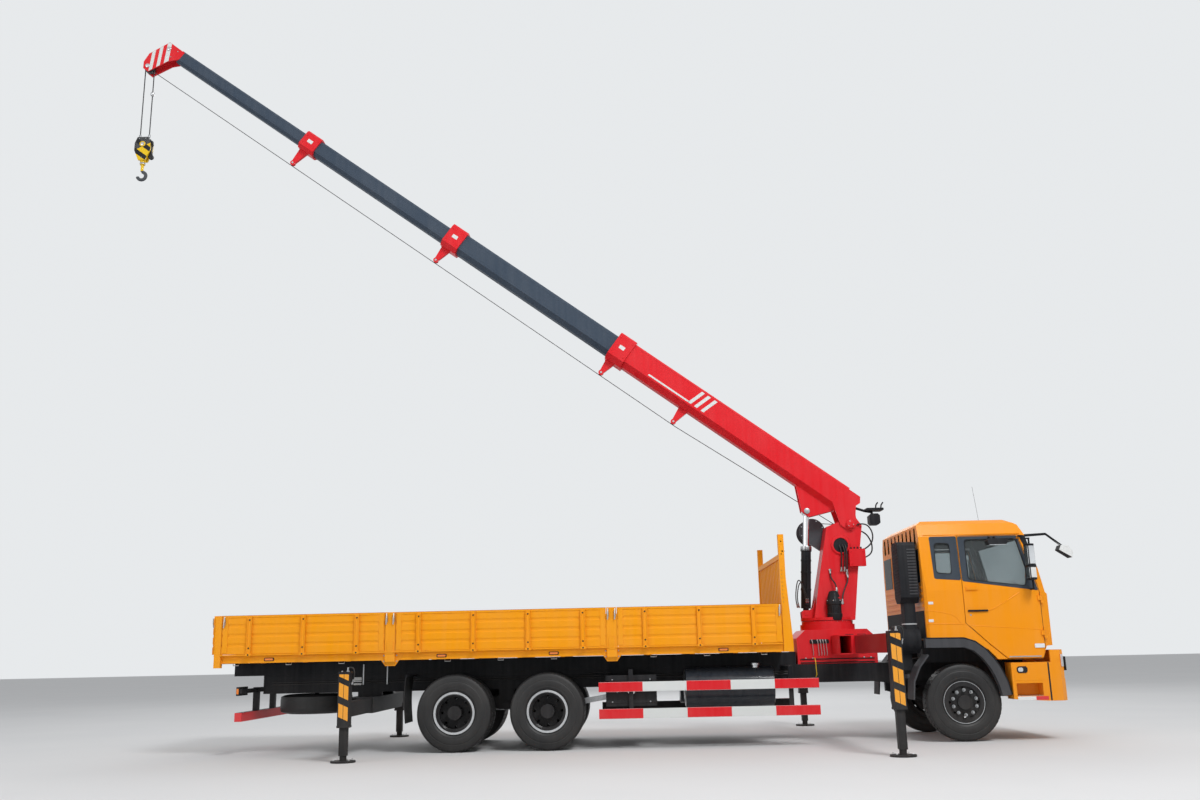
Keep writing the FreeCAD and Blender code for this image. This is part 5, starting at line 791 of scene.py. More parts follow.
def draw_tyre(maker, centre, depth, pitches):
    """One tyre: its carcass turned in one profile and its blocks standing on it."""
    half = TYRE_WIDE / 2
    floor = TYRE_RADIUS - depth
    sides = [(across * half, share * TYRE_RADIUS) for across, share in TYRE_OUTLINE]
    carcass = sides + [(0.80 * half, floor), (0.3 * half, floor + 0.0015)]
    profile = carcass + [(-across, radius) for across, radius in reversed(carcass)]
    maker.turn("y", centre, profile, sides=72, ring=True)
    for start, end, shift in TREAD_ROWS:
        outer = abs(start) > 0.45 or abs(end) > 0.45
        for pitch in range(pitches):
            first = 2 * math.pi * (pitch + shift) / pitches
            last = first + 2 * math.pi * 0.78 / pitches
            slant = (0.12 if outer else -0.2) * 2 * math.pi / pitches
            rings = []
            for radius, inset in ((floor - 0.004, 0.0), (TYRE_RADIUS - 0.001, 0.0015)):
                ring = []
                for across, angle in (
                    (start, first), (end, first + slant), (end, last + slant), (start, last),
                ):
                    drop = 0.012 if abs(across) > 0.8 and radius > floor else 0
                    place = radius - drop
                    ring.append(centre + Vector((
                        place * math.cos(angle), across * half * (1 - inset), place * math.sin(angle)
                    )))
                rings.append(ring)
            maker.faces(rings)


class TRUCK_OT_tyres(bpy.types.Operator):
    """Tyres with grooved tread and moulded rings on their sides"""

    bl_idname = "truck.tyres"
    bl_label = "Tyres"

    def execute(self, context):
        sizes = context.scene.truck_sizes
        for name, tyres in WHEELS:
            for side in SIDE_NAMES.values():
                node = f"tyre_{name}_{side}"
                maker = Maker("tyre")
                for offset in tyres:
                    centre = middle(node) + Vector((0, offset, 0))
                    draw_tyre(maker, centre, sizes.tread_depth, sizes.tread_pitch)
                tyre = maker.piece("tread_" + name + "_" + side, f"wheel_{name}_{side}", smooth=30)
                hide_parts(node)
        return {"FINISHED"}


class TRUCK_OT_wheel_fittings(bpy.types.Operator):
    """Wheel nuts with their washers, bright rim edges and valve stems"""

    bl_idname = "truck.wheel_fittings"
    bl_label = "Wheel nuts and hubs"

    def execute(self, context):
        sizes = context.scene.truck_sizes
        for name, tyres in WHEELS:
            for direction, side in SIDE_NAMES.items():
                centre = middle(f"wheel_{name}_{side}")
                front = name == "front"
                face = abs(centre.y) + (0.125 if front else -0.005)
                maker = Maker("rim_paint", "steel_bright", "trim_black", "zinc", place=mirrored(direction))
                for nut in range(sizes.nut_count):
                    angle = 2 * math.pi * (nut + 0.5) / sizes.nut_count
                    place = Vector((
                        centre.x + NUT_CIRCLE * math.cos(angle), face - 0.012,
                        centre.z + NUT_CIRCLE * math.sin(angle),
                    ))
                    maker.turn("y", place, [(0, 0.024), (0.012, 0.024)], 3, 12)
                    maker.bolt("y", place, sizes.nut_radius, 0.034, 3)
                flange = abs(middle(f"tyre_{name}_{side}").y) + tyres[-1] + FLANGE_OUT
                inner, bright = (0.279, 3) if front else (0.258, 1)
                ring = [(-0.003, inner), (0.002, inner), (0.003, 0.287), (-0.003, 0.289)]
                maker.turn("y", (centre.x, flange, centre.z), ring, bright, 64, ring=True)
                if not front:
                    valve = [
                        (centre.x + 0.2, face - 0.01, centre.z + 0.09),
                        (centre.x + 0.215, face + 0.025, centre.z + 0.095),
                    ]
                    maker.tube(valve, 0.005, 3)
                maker.piece(f"wheel_fittings_{name}_{side}", f"wheel_{name}_{side}", smooth=40)
        return {"FINISHED"}


# Cab

class TRUCK_OT_cab_front(bpy.types.Operator):
    """Grille, lamps, wipers, bumper inserts and the bare number plate"""

    bl_idname = "truck.cab_front"
    bl_label = "Cab front"

    def execute(self, context):
        panel = 1.35
        maker = Maker("trim_black", "zinc")
        grille_low, grille_high = 1.36, 1.86
        bars = 6
        for bar in range(bars):
            low = grille_low + (grille_high - grille_low) * bar / bars
            outline = [
                (panel - 0.004, low + 0.012), (panel + 0.014, low + 0.02), (panel + 0.018, low + 0.055),
                (panel - 0.004, low + 0.062),
            ]
            maker.prism("y", outline, (-0.78 + 0.03 * bar / bars, 0.78 - 0.03 * bar / bars), 0)
        maker.block((panel - 0.003, panel + 0.004), (-0.84, 0.84), (grille_low - 0.03, grille_high + 0.03), 0)
        maker.block((panel, panel + 0.02), (-0.8, 0.8), (grille_high + 0.005, grille_high + 0.02), 1)
        maker.piece("front_grille", "cab", bevel=0.003)
        wipers = Maker("trim_black")
        foot_x, foot_z = 1.27, 2.01
        top_x, top_z = 1.07, 2.82
        slope = Vector((top_x - foot_x, 0, top_z - foot_z)).normalized()
        out = Vector((slope.z, 0, -slope.x)) * 0.028
        for start, reach in ((-0.62, 0.42), (-0.02, 0.42), (0.5, 0.36)):
            root = Vector((foot_x + 0.01, start, foot_z - 0.02)) + out
            tip = root + slope * reach * 0.35 + Vector((0, reach, 0))
            wipers.tube([root, root + slope * 0.05, tip], 0.008)
            blade_low = tip - Vector((0, 0.28, 0)) - slope * 0.08
            blade_high = tip + Vector((0, 0.24, 0)) + slope * 0.10
            wipers.tube([blade_low - out * 0.4, tip - out * 0.3, blade_high - out * 0.4], 0.006)
            wipers.turn("y", root, [(-0.02, 0.014), (0.02, 0.014)], sides=12)
        wipers.piece("wipers", "cab")
        lamps = Maker("lens_clear", "trim_black", "lens_amber", "steel_bright", "plate_bare")
        for side in lamps.sides():
            lamps.block((1.425, 1.4445), (0.80, 1.13), (0.93, 1.12), 1, 0.01)
            lamps.block((1.43, 1.446), (0.83, 1.0), (0.955, 1.095), 0, 0.02)
            lamps.block((1.43, 1.446), (1.02, 1.11), (0.955, 1.095), 2, 0.015)
            lamps.turn("x", (1.44, 0.915, 1.025), [(0, 0.06), (0.0045, 0.062), (0.006, 0.05)], 3, 28)
            lamps.block((1.425, 1.445), (0.72, 0.92), (0.66, 0.74), 0, 0.02)
        lamps.block((1.43, 1.446), (-0.26, 0.26), (0.76, 0.90), 4, 0.006)
        lamps.block((1.42, 1.4445), (-0.62, 0.62), (0.93, 1.10), 1, 0.01)
        for slat in range(4):
            low = 0.945 + 0.038 * slat
            lamps.block((1.43, 1.4475), (-0.58, 0.58), (low, low + 0.014), 3, 0.003)
        lamps.piece("bumper_lamps", "chassis", bevel=0.002)
        return {"FINISHED"}


ARCH_EDGE = [
    (-0.49, 1.405), (0.05, 1.40), (0.20, 1.35), (0.33, 1.25), (0.44, 1.12), (0.53, 0.97), (0.60, 0.80),
    (0.64, 0.62),
]
ARCH_TRIM = 0.13
CAB_HALF = 1.18
SHOULDER = 2.06
SHOULDER_LEAN = 0.0974
BUMPER_HALF = 1.22
MIRROR_SHELL = [
    (0.990, 1.4365), (1.020, 1.4505), (1.064, 1.4245), (1.066, 1.4280), (1.021, 1.4545), (0.988, 1.4395),
]
# Window bands and openings as corners (along the truck, height), both with the same number of corners
CAB_BAND = [(-0.285, 2.226), (-0.30, 2.827), (0.089, 2.827), (0.089, 2.198)]
CAB_PANE = [(-0.243, 2.315), (-0.232, 2.727), (-0.025, 2.722), (-0.036, 2.295)]
DOOR_BAND = [(0.104, 2.185), (0.104, 2.821), (0.957, 2.821), (1.074, 2.36), (1.156, 2.032)]
DOOR_PANE = [(0.200, 2.208), (0.205, 2.772), (0.925, 2.772), (1.012, 2.335), (0.985, 2.108)]


def arch_band(depth):
    """The wheel arch line and the same line moved towards the axle."""
    hub = Vector((0.0, AXLE_TALL))
    inner = []
    for x, z in ARCH_EDGE:
        inward = (hub - Vector((x, z))).normalized() if x >= 0.1 else Vector((0.0, -1.0))
        inner.append((x + inward.x * depth, z + inward.y * depth))
    return ARCH_EDGE + inner[::-1]


def rounded(corners, radius, steps=5):
    """An outline with its corners rounded off."""
    points = []
    for before, corner, after in zip(corners[-1:] + corners[:-1], corners, corners[1:] + corners[:1]):
        corner = Vector(corner)
        first = corner + (Vector(before) - corner).normalized() * radius
        last = corner + (Vector(after) - corner).normalized() * radius
        for step in range(steps + 1):
            share = step / steps
            points.append(first.lerp(corner, share).lerp(corner.lerp(last, share), share))
    return points


def cab_wall(x, z, out):
    """A point standing out from the cab's side, which leans in above the shoulder."""
    return Vector((x, CAB_HALF + out - max(0.0, z - SHOULDER) * SHOULDER_LEAN, z))


def wall_line(maker, line, sunk, radius):
    """A round bead laid along a line on the cab's side."""
    maker.tube([cab_wall(x, z, -sunk) for x, z in line], radius, 4, 8)


def wall_frame(maker, outer, inner, out, paint):
    """A flat frame on the cab's side between two outlines with the same number of points."""
    rows = [(outer, 0.0005), (outer, out), (inner, out), (inner, 0.0005)]
    maker.faces([[cab_wall(x, z, lift) for x, z in points] for points, lift in rows], paint, looped=True)


def window_band(maker, band, pane):
    """The slate band round a side window, and the rubber seal at its edge."""
    edge = rounded(pane, 0.05)
    heart = sum(edge, Vector((0, 0))) / len(edge)
    seal = [point + (point - heart).normalized() * 0.013 for point in edge]
    wall_frame(maker, rounded(band, 0.03), seal, 0.0025, 1)
    wall_frame(maker, seal, edge, 0.005, 0)


class TRUCK_OT_cab_sides(bpy.types.Operator):
    """Arch trim, window bands, lamps, bright strips, handles and mirror glass"""

    bl_idname = "truck.cab_sides"
    bl_label = "Cab sides"

    def execute(self, context):
        for side, name in SIDE_NAMES.items():
            self.draw_cab(side, name)
            self.draw_door(side, name)
            self.draw_step(side, name)
        self.draw_roof()
        return {"FINISHED"}

    def draw_cab(self, side, name):
        finishes = ("trim_black", "band_slate", "fender_grey", "plate_bare", "cab_paint")
        maker = Maker(*finishes, place=mirrored(side))
        band = arch_band(ARCH_TRIM)
        for place in range(len(ARCH_EDGE) - 1):
            quad = [band[place], band[place + 1], band[-2 - place], band[-1 - place]]
            maker.prism("y", quad, (CAB_HALF - 0.10, CAB_HALF + 0.006), 2)
        maker.tube([(x, CAB_HALF + 0.004, z) for x, z in ARCH_EDGE], 0.009, 0, 8)
        liner = [(-0.44, 1.07), (-0.44, 1.385), (0.04, 1.375), (0.17, 1.33), (0.30, 1.23), (0.41, 1.07)]
        maker.prism("y", liner, (0.775, 0.79), 0)
        window_band(maker, CAB_BAND, CAB_PANE)
        for x, z in ((-0.405, 1.870), (-0.42, 1.625)):
            maker.block((x, x + 0.07), (CAB_HALF, CAB_HALF + PLATE), (z, z + 0.038), 3)
        for line in (
            [(-0.44, 1.79), (-0.25, 1.765), (-0.09, 1.725), (-0.02, 1.68), (0.03, 1.60)],
            [(-0.44, 1.605), (0.088, 1.588)],
            [(-0.38, 2.85), (1.0, 2.85)],
        ):
            wall_line(maker, line, 0.002, 0.007)
        maker.piece("cab_side_" + name, "cab", bevel=0.003, smooth=50)

    def draw_door(self, side, name):
        finishes = (
            "trim_black", "band_slate", "lens_clear", "zinc", "cab_paint", "mirror_face", "plate_bare",
        )
        maker = Maker(*finishes, place=mirrored(side))
        window_band(maker, DOOR_BAND, DOOR_PANE)
        wall = CAB_HALF
        maker.block((1.02, 1.158), (wall, wall + 0.010), (1.245, 1.302), 2, 0.008)
        maker.block((0.655, 1.10), (wall, wall + 0.005), (1.122, 1.138), 3, 0.003)
        wall_line(maker, ((0.42, 1.765), (0.53, 1.803), (0.70, 1.90), (0.89, 2.014)), 0.003, 0.008)
        wall_line(maker, ((0.13, 1.570), (0.70, 1.530), (1.16, 1.490)), 0.003, 0.007)
        maker.block((0.14, 0.42), (wall - 0.002, wall + 0.020), (1.756, 1.782), 0, 0.01)
        maker.block((0.18, 0.38), (wall - 0.002, wall + 0.003), (1.781, 1.807), 4, 0.01)
        maker.turn("y", (0.175, wall, 1.712), [(0, 0.013), (0.004, 0.013)], 3, 16)
        # Mirror heads: pale glass behind, a bright shell on the outer side
        for low, high, back in ((2.19, 2.35, 6), (2.38, 2.65, 5)):
            glass = [
                (1.285, low), (1.415, low), (1.425, low + 0.02), (1.425, high - 0.02), (1.415, high),
                (1.285, high),
            ]
            maker.prism("x", glass, (0.973, 0.979), 5)
            maker.prism("z", MIRROR_SHELL, (low + 0.01, high - 0.01), back)
        if side == NEAR:
            maker.block((0.45, 0.72), (1.235, 1.39), (2.675, 2.755), 0, 0.02)
            maker.block((0.47, 0.70), (1.25, 1.38), (2.668, 2.677), 5, 0.003)
            for x in (0.55, 0.62):
                maker.tube([cab_wall(x, 2.80, -0.002), (x, 1.17, 2.80), (x, 1.26, 2.74)], 0.011, 0, 8)
        maker.piece("door_fittings_" + name, "door_" + name, bevel=0.0015, smooth=50)

    def draw_step(self, side, name):
        finishes = (
            "cab_paint", "trim_black", "lens_clear", "reflector_white", "reflector_red", "zinc", "lens_amber",
        )
        maker = Maker(*finishes, place=mirrored(side))
        wall = BUMPER_HALF
        maker.block((0.684, 1.125), (wall - 0.004, wall + 0.0025), (0.806, 1.040), 0, 0.012)
        for along, up, out, paint, chamfer in (
            ((0.722, 0.868), (0.908, 0.998), 0.010, 1, 0.03),
            ((0.738, 0.806), (0.926, 0.981), 0.014, 2, 0.03),
            ((0.700, 0.950), (0.545, 0.594), 0.003, 3, 0.001),
            ((0.952, 1.122), (0.545, 0.594), 0.003, 4, 0.001),
            ((1.150, 1.172), (0.536, 1.046), 0.002, 1, 0.001),
        ):
            maker.block(along, (wall, wall + out), up, paint, chamfer)
        for groove in range(9):
            x = 0.72 + 0.039 * groove
            maker.block((x, x + 0.018), (1.055, 1.216), (0.598, 0.607), 5, 0.002)
        corner = [
            (1.20, 1.2185), (1.33, 1.2185), (1.352, 1.1945), (1.352, 1.165), (1.322, 1.188), (1.20, 1.188),
        ]
        maker.prism("z", corner, (1.045, 1.214), 0)
        # The corner lamp, amber at its rear end, lies on the slanted corner of the bumper
        rear, front = Vector((1.332, 1.2175)), Vector((1.402, 1.1385))
        out = Vector((0.0075, 0.0066))
        for start, end, paint in ((0.10, 0.90, 2), (0.0, 0.10, 6)):
            first, last = rear.lerp(front, start), rear.lerp(front, end)
            maker.prism("z", [first, last, last + out, first + out], (0.985, 1.15), paint)
        maker.piece("step_fittings_" + name, "chassis", bevel=0.0015, smooth=50)

    def draw_roof(self):
        maker = Maker("trim_black", "zinc", "cab_paint", "dark_pane_painted_shade", "plate_bare")
        mast = Vector((0.62, -0.55, CAB_HIGH.z - 0.004))
        maker.turn("z", mast, [(0, 0.03), (0.015, 0.026), (0.03, 0.012)], 0, 16)
        maker.tube(
            [mast + Vector((0, 0, 0.02)), mast + Vector((-0.02, 0, 0.25)), mast + Vector((-0.05, 0, 0.55))],
            0.0022, 0, 6,
        )
        # The roof hatch on its wider seal
        for wider, low, high, paint in ((0.015, -0.004, 0.008, 0), (0.0, -0.002, 0.020, 2)):
            rear, front, half = -0.22 - wider, 0.31 + wider, 0.33 + wider
            hatch = rounded([(rear, -half), (front, -half), (front, half), (rear, half)], 0.05)
            maker.prism("z", hatch, (CAB_HIGH.z + low, CAB_HIGH.z + high), paint)
        rear = CAB_LOW.x
        for rib in range(9):
            y = -0.92 + 0.23 * rib
            points = [(y - 0.05, 2.74), (y + 0.05, 2.74), (y + 0.035, 2.97), (y - 0.035, 2.97)]
            maker.prism("x", points, (rear, rear + 0.012), 2)
        for rib in range(4):
            z = 1.86 + 0.085 * rib
            maker.block((rear - 0.010, rear + 0.004), (-1.08, 1.08), (z - 0.018, z + 0.018), 2, 0.006)
        maker.block((rear - 0.004, rear + 0.002), (-1.10, 1.10), (1.405, 1.79), 0)
        # Dark panes each side of the rear window: real glass, with the shaded inside of the cab painted in as
        # a dark colour
        for side in maker.sides():
            maker.block((rear - 0.005, rear + 0.002), (0.60, 1.05), (2.19, 2.665), 3, 0.05)
        arm = [(1.06, 2.83), (1.39, 2.845), (1.62, 2.66)]
        head = [(1.535, 2.60), (1.565, 2.665), (1.665, 2.655), (1.722, 2.57), (1.705, 2.495)]
        maker.prism("y", head, (-1.125, -1.119), 4)
        maker.tube([(x, -1.052, z) for x, z in arm], 0.009, 0, 8)
        maker.piece("roof_fittings", "cab", bevel=0.003)


# Load bed

STAKES = (-4.88, -8.005)
TAIL_RIB = 0.868
RIB_SHARES = {1: (0.17, 0.5, 0.83), 2: (0.11, 0.37, 0.63, 0.89), 3: (0.17, 0.5, 0.83)}
LATCHES = (-10.36, -8.055, -7.955, -4.93, -4.83, -2.515)


class TRUCK_OT_bed_fittings(bpy.types.Operator):
    """Hinge bolts, latches, side lamps, rope hooks and board end frames"""

    bl_idname = "truck.bed_fittings"
    bl_label = "Load bed fittings"

    def execute(self, context):
        top = BED_HIGH.z
        face = 1.265
        for side, name in SIDE_NAMES.items():
            for number, shares in RIB_SHARES.items():
                board = Maker("zinc", "bed_paint", "trim_black", place=mirrored(side))
                node = f"drop_side_{name}_{number}"
                low, high = solid_box(node)
                for share in shares:
                    x = low.x + (high.x - low.x) * share
                    board.block((x - 0.033, x + 0.033), (1.260, 1.276), (low.z + 0.035, high.z - 0.012), 1)
                    for lip in (-0.033, 0.022):
                        board.block(
                            (x + lip, x + lip + 0.011), (1.270, 1.285), (low.z + 0.045, high.z - 0.020), 1,
                            0.003,
                        )
                    # Black bolt heads: real bolts, coloured black as painted shade of the bolt holes
                    for z in (1.47, 1.86):
                        board.bolt("y", (x, 1.276, z), 0.012, 0.006, 2)
                    board.block((x - 0.040, x + 0.040), (1.255, 1.290), (low.z + 0.005, low.z + 0.042), 1)
                    # A flat black disc on the hinge foot: painted shade of its pin hole
                    board.turn("y", (x, 1.290, low.z + 0.022), [(0, 0.012), (0.002, 0.011)], 2, 12)
                for end in (low.x + 0.012, high.x - 0.082):
                    board.block((end, end + 0.07), (1.2525, 1.258), (low.z + 0.05, high.z - 0.012), 1)
                board.block(
                    (low.x + 0.004, high.x - 0.004), (1.2525, 1.2575), (high.z - 0.032, high.z - 0.004), 1,
                )
                board.piece("board_fittings_" + name + f"_{number}", node, bevel=0.0015)
            finishes = ("lens_amber", "trim_black", "zinc", "bed_paint", "steel_bright")
            rail = Maker(*finishes, place=mirrored(side))
            for spot in LATCHES:
                rail.block((spot - 0.013, spot + 0.013), (1.262, 1.272), (top - 0.14, top - 0.05), 2, 0.004)
                lever = [
                    (spot - 0.006, 1.274, top - 0.17), (spot, 1.286, top - 0.10),
                    (spot + 0.004, 1.280, top - 0.015),
                ]
                rail.tube(lever, 0.010, 4, 8)
            for x in (-9.72, -7.28, -5.70, -3.32):
                rail.block((x - 0.07, x + 0.07), (1.205, 1.212), (1.29, 1.335), 1, 0.008)
                rail.block((x - 0.058, x + 0.058), (1.205, 1.217), (1.298, 1.327), 0, 0.01)
            for x in (-10.2, -9.45, -8.7, -7.2, -6.45, -5.7, -4.3, -3.55, -2.75):
                hook = [
                    (x - 0.04, 1.16, 1.262), (x - 0.04, 1.175, 1.235),
                    (x + 0.04, 1.175, 1.235), (x + 0.04, 1.16, 1.262),
                ]
                rail.tube(hook, 0.006, 2, 8)
            cap = [(1.2525, 1.50), (1.2625, 1.52), (1.2625, 1.36), (1.2525, 1.34)]
            for centre in STAKES:
                rail.prism("x", cap, (centre - 0.045, centre + 0.045), 3)
                for z in (1.33, 1.25):
                    rail.bolt("y", (centre - 0.09, 1.207, z), 0.011, 0.008, 2)
                    rail.bolt("y", (centre + 0.09, 1.207, z), 0.011, 0.008, 2)
            rail.piece("rail_fittings_" + name, "chassis", bevel=0.0015)
        tail = Maker("zinc")
        low, high = solid_box("tailboard")
        for y in (-TAIL_RIB, 0.0, TAIL_RIB):
            for z in (1.47, 1.86):
                tail.bolt("x", (low.x + 0.009, y, z), 0.011, -0.008, 0)
        for side in tail.sides():
            lever = [
                (low.x + 0.012, 1.17, top - 0.16), (low.x + 0.004, 1.175, top - 0.10),
                (low.x + 0.006, 1.185, top - 0.03),
            ]
            tail.tube(lever, 0.0065, 0, 8)
        tail.piece("tailboard_fittings", "tailboard", bevel=0.0015)
        return {"FINISHED"}


class TRUCK_OT_headboard_fittings(bpy.types.Operator):
    """Bolt rows and a bright knob on the outer faces of the headboard posts"""

    bl_idname = "truck.headboard_fittings"
    bl_label = "Headboard fittings"

    def execute(self, context):
        rear = solid_box("headboard")[0].x
        outer = 1.245
        maker = Maker("zinc", "bed_paint", "steel_bright")
        for side in maker.sides():
            for row in range(9):
                z = 1.95 + 0.055 * row
                maker.turn("y", (rear + 0.03, outer, z), [(-0.002, 0.007), (0, 0.0065)], 0, 10)
            for z in (2.62, 2.80):
                maker.turn("y", (rear + 0.04, outer, z), [(-0.002, 0.011), (0, 0.010)], 0, 12)
            dome = [(-0.020, 0.034), (-0.006, 0.034), (-0.001, 0.026), (0, 0.012)]
            maker.turn("y", (rear + 0.055, outer, 2.66), dome, 2, 24)
        maker.piece("headboard_fittings", "chassis")
        return {"FINISHED"}


GUARD_BARS = (0.41, 0.77)
GUARD_TALL = 0.13
GUARD_SEGMENTS = 5


class TRUCK_OT_guard_stripes(bpy.types.Operator):
    """Red lengths on the white side guard bars"""

    bl_idname = "truck.guard_stripes"
    bl_label = "Guard stripes"

    def execute(self, context):
        front, rear = -2.02, -5.08
        step = (front - rear) / GUARD_SEGMENTS
        sheet = context.scene.truck_sizes.decal
        outer = 1.225 + sheet
        for side, name in SIDE_NAMES.items():
            maker = Maker("guard_red", place=mirrored(side))
            for low in GUARD_BARS:
                high = low + GUARD_TALL
                for segment in range(0, GUARD_SEGMENTS, 2):
                    start = rear + step * segment
                    outline = [
                        (outer - 0.032, low - sheet), (outer - 0.004, low - sheet), (outer, low + 0.004),
                        (outer, high - 0.004), (outer - 0.004, high + sheet), (outer - 0.032, high + sheet),
                    ]
                    maker.prism("x", outline, (start, start + step), 0)
            maker.piece("guard_stripes_" + name, "chassis")
        return {"FINISHED"}


# Crane

def draw_hose(maker, points, radius, paint=0, metal=1):
    """A hose along its route, with a crimped metal end and a hexagon nut at both ends."""
    path = hose_path(points)
    maker.tube(path, radius, paint, 10)
    for end, after in ((0, 2), (-1, -3)):
        start = path[end]
        ahead = (path[after] - start).normalized()
        maker.tube([start, start + ahead * 0.055], radius * 1.4, metal, 10)
        maker.tube([start - ahead * 0.012, start + ahead * 0.014], radius * 1.9, metal, 6)


COLUMN_ROUTES = [
    # points along the truck, across it and up
    [
        (-1.407, -0.10, 2.872), (-1.400, -0.175, 2.84), (-1.372, -0.20, 2.70), (-1.388, -0.185, 2.56),
        (-1.392, -0.175, 2.44),
    ],
    [
        (-1.360, -0.10, 2.872), (-1.352, -0.18, 2.84), (-1.322, -0.205, 2.70), (-1.338, -0.19, 2.56),
        (-1.343, -0.175, 2.44),
    ],
    [
        (-1.325, -0.10, 2.872), (-1.312, -0.18, 2.84), (-1.296, -0.21, 2.70), (-1.306, -0.20, 2.55),
        (-1.313, -0.20, 2.40),
    ],
    [
        (-1.313, -0.20, 2.385), (-1.305, -0.22, 2.30), (-1.385, -0.28, 2.17), (-1.44, -0.36, 2.05),
        (-1.452, -0.372, 1.955),
    ],
    [
        (-1.563, -0.165, 2.455), (-1.567, -0.185, 2.36), (-1.550, -0.20, 2.31), (-1.505, -0.27, 2.23),
        (-1.51, -0.31, 2.13),
    ],
    [
        (-1.16, -0.13, 3.12), (-1.00, -0.22, 3.17), (-0.88, -0.235, 3.00), (-0.92, -0.22, 2.80),
        (-1.06, -0.13, 2.74),
    ],
    [
        (-1.16, 0.10, 3.10), (-0.95, 0.115, 3.08), (-0.82, 0.12, 2.86), (-0.87, 0.11, 2.66),
        (-1.07, 0.10, 2.63),
    ],
]


class TRUCK_OT_column_fittings(bpy.types.Operator):
    """Pressure hoses, slewing motor, valve block and hose opening of the column"""

    bl_idname = "truck.column_fittings"
    bl_label = "Column hoses and motor"

    def execute(self, context):
        radius = context.scene.truck_sizes.hose_radius
        hoses = Maker("hose", "zinc")
        for route in COLUMN_ROUTES:
            draw_hose(hoses, route, radius)
        hoses.piece("column_hoses", "column", smooth=50)

        maker = Maker("trim_black", "zinc", "chassis_black", "crane_red")
        hole = Vector((-1.375, -0.162, 2.825))
        maker.turn(
            "y", hole, [(0.006, 0.108), (-0.014, 0.112), (-0.014, 0.132), (0.006, 0.150)], 3, 48,
            ring=True,
        )
        # A flat black disc closes the hose opening: painted shade of the opening's inside
        maker.turn("y", hole, [(-0.001, 0.108), (0.004, 0.108)], 2, 40)
        motor = Vector((-1.56, -0.29, 0))
        profile = [
            (1.70, 0.10), (1.72, 0.112), (1.80, 0.112), (1.805, 0.104), (1.93, 0.104), (1.935, 0.112),
            (1.985, 0.112),
            (2.0, 0.10), (2.07, 0.085), (2.12, 0.066), (2.135, 0.05),
        ]
        maker.turn("z", motor, profile, 2, 40)
        for step in range(6):
            angle = math.radians(60 * step + 15)
            spot = motor + Vector((0.106 * math.cos(angle), 0.106 * math.sin(angle), 1.985))
            maker.bolt("z", spot, 0.010, 0.012, 1)
        for step in range(5):
            fin = motor + Vector((-0.05 + 0.025 * step, -0.10, 1.83))
            maker.block((fin.x - 0.004, fin.x + 0.004), (fin.y - 0.006, fin.y + 0.02), (1.815, 1.92), 2)
        maker.turn("y", (-1.452, -0.372, 1.95), [(0.03, 0.026), (-0.012, 0.026), (-0.02, 0.018)], 1, 6)
        block = Vector((-1.15, -0.24, 2.63))
        for x, z in ((-0.09, -0.09), (0.09, -0.09), (-0.09, 0.09), (0.09, 0.09)):
            maker.bolt("y", block + Vector((x, 0.002, z)), 0.010, -0.008, 3)
        for spot in (-0.08, -0.03, 0.02, 0.07):
            top = Vector((-1.15 + spot, -0.20, 2.757))
            maker.turn("z", top, [(0, 0.014), (0.022, 0.014), (0.025, 0.010), (0.035, 0.010)], 2, 8)
        ring = Vector((-1.63, 0, 1.682))
        for step in range(28):
            angle = 2 * math.pi * step / 28
            spot = ring + Vector((0.368 * math.cos(angle), 0.368 * math.sin(angle), 0.0))
            if abs(spot.y) > 0.255 or spot.x < -1.87:
                maker.bolt("z", spot, 0.013, 0.014, 1)
        maker.piece("column_fittings", "column", bevel=0.0015, smooth=45)
        return {"FINISHED"}


class TRUCK_OT_base_fittings(bpy.types.Operator):
    """Control pipes, bolts and the yellow rod on the crane base"""

    bl_idname = "truck.base_fittings"
    bl_label = "Crane base fittings"

    def execute(self, context):
        maker = Maker("steel_bright", "zinc", "trim_black", "hook_yellow", "chassis_black")
        wall = 0.42
        for side in maker.sides():
            for x in (-2.05, -1.95, -1.20, -1.10):
                maker.bolt("y", (x, wall, 1.16), 0.014, 0.013, 1)
        maker.place = mirrored(NEAR)
        maker.block((-1.98, -1.70), (wall, wall + 0.012), (1.37, 1.43), 4, 0.01)
        for x in (-1.95, -1.87, -1.83, -1.79, -1.75):
            path = [
                (x, wall, 1.42), (x, wall + 0.03, 1.41), (x + 0.004, wall + 0.034, 1.38),
                (x + 0.012, wall + 0.034, 1.23), (x + 0.012, wall + 0.01, 1.20),
            ]
            maker.tube(path, 0.0065, 0, 8)
            maker.turn("y", (x, wall, 1.42), [(0, 0.012), (0.014, 0.012)], 1, 6)
        for height in (1.10, 1.15):
            maker.tube([(-2.13, 0.43, height), (-1.05, 0.43, height)], 0.008, 4, 8)
        rod = [(-1.93, 0.47, 1.17), (-1.925, 0.50, 1.12), (-1.92, 0.50, 0.93), (-1.93, 0.48, 0.90)]
        maker.tube(rod, 0.006, 3, 8)
        maker.place = Matrix()
        for x in (-1.35, -1.52):
            for y in (-1.06, 1.06):
                maker.block((x - 0.06, x + 0.06), (y - 0.004, y + 0.003), (1.478, 1.488), 4)
        maker.piece("base_fittings", "chassis", bevel=0.0015, smooth=45)
        return {"FINISHED"}


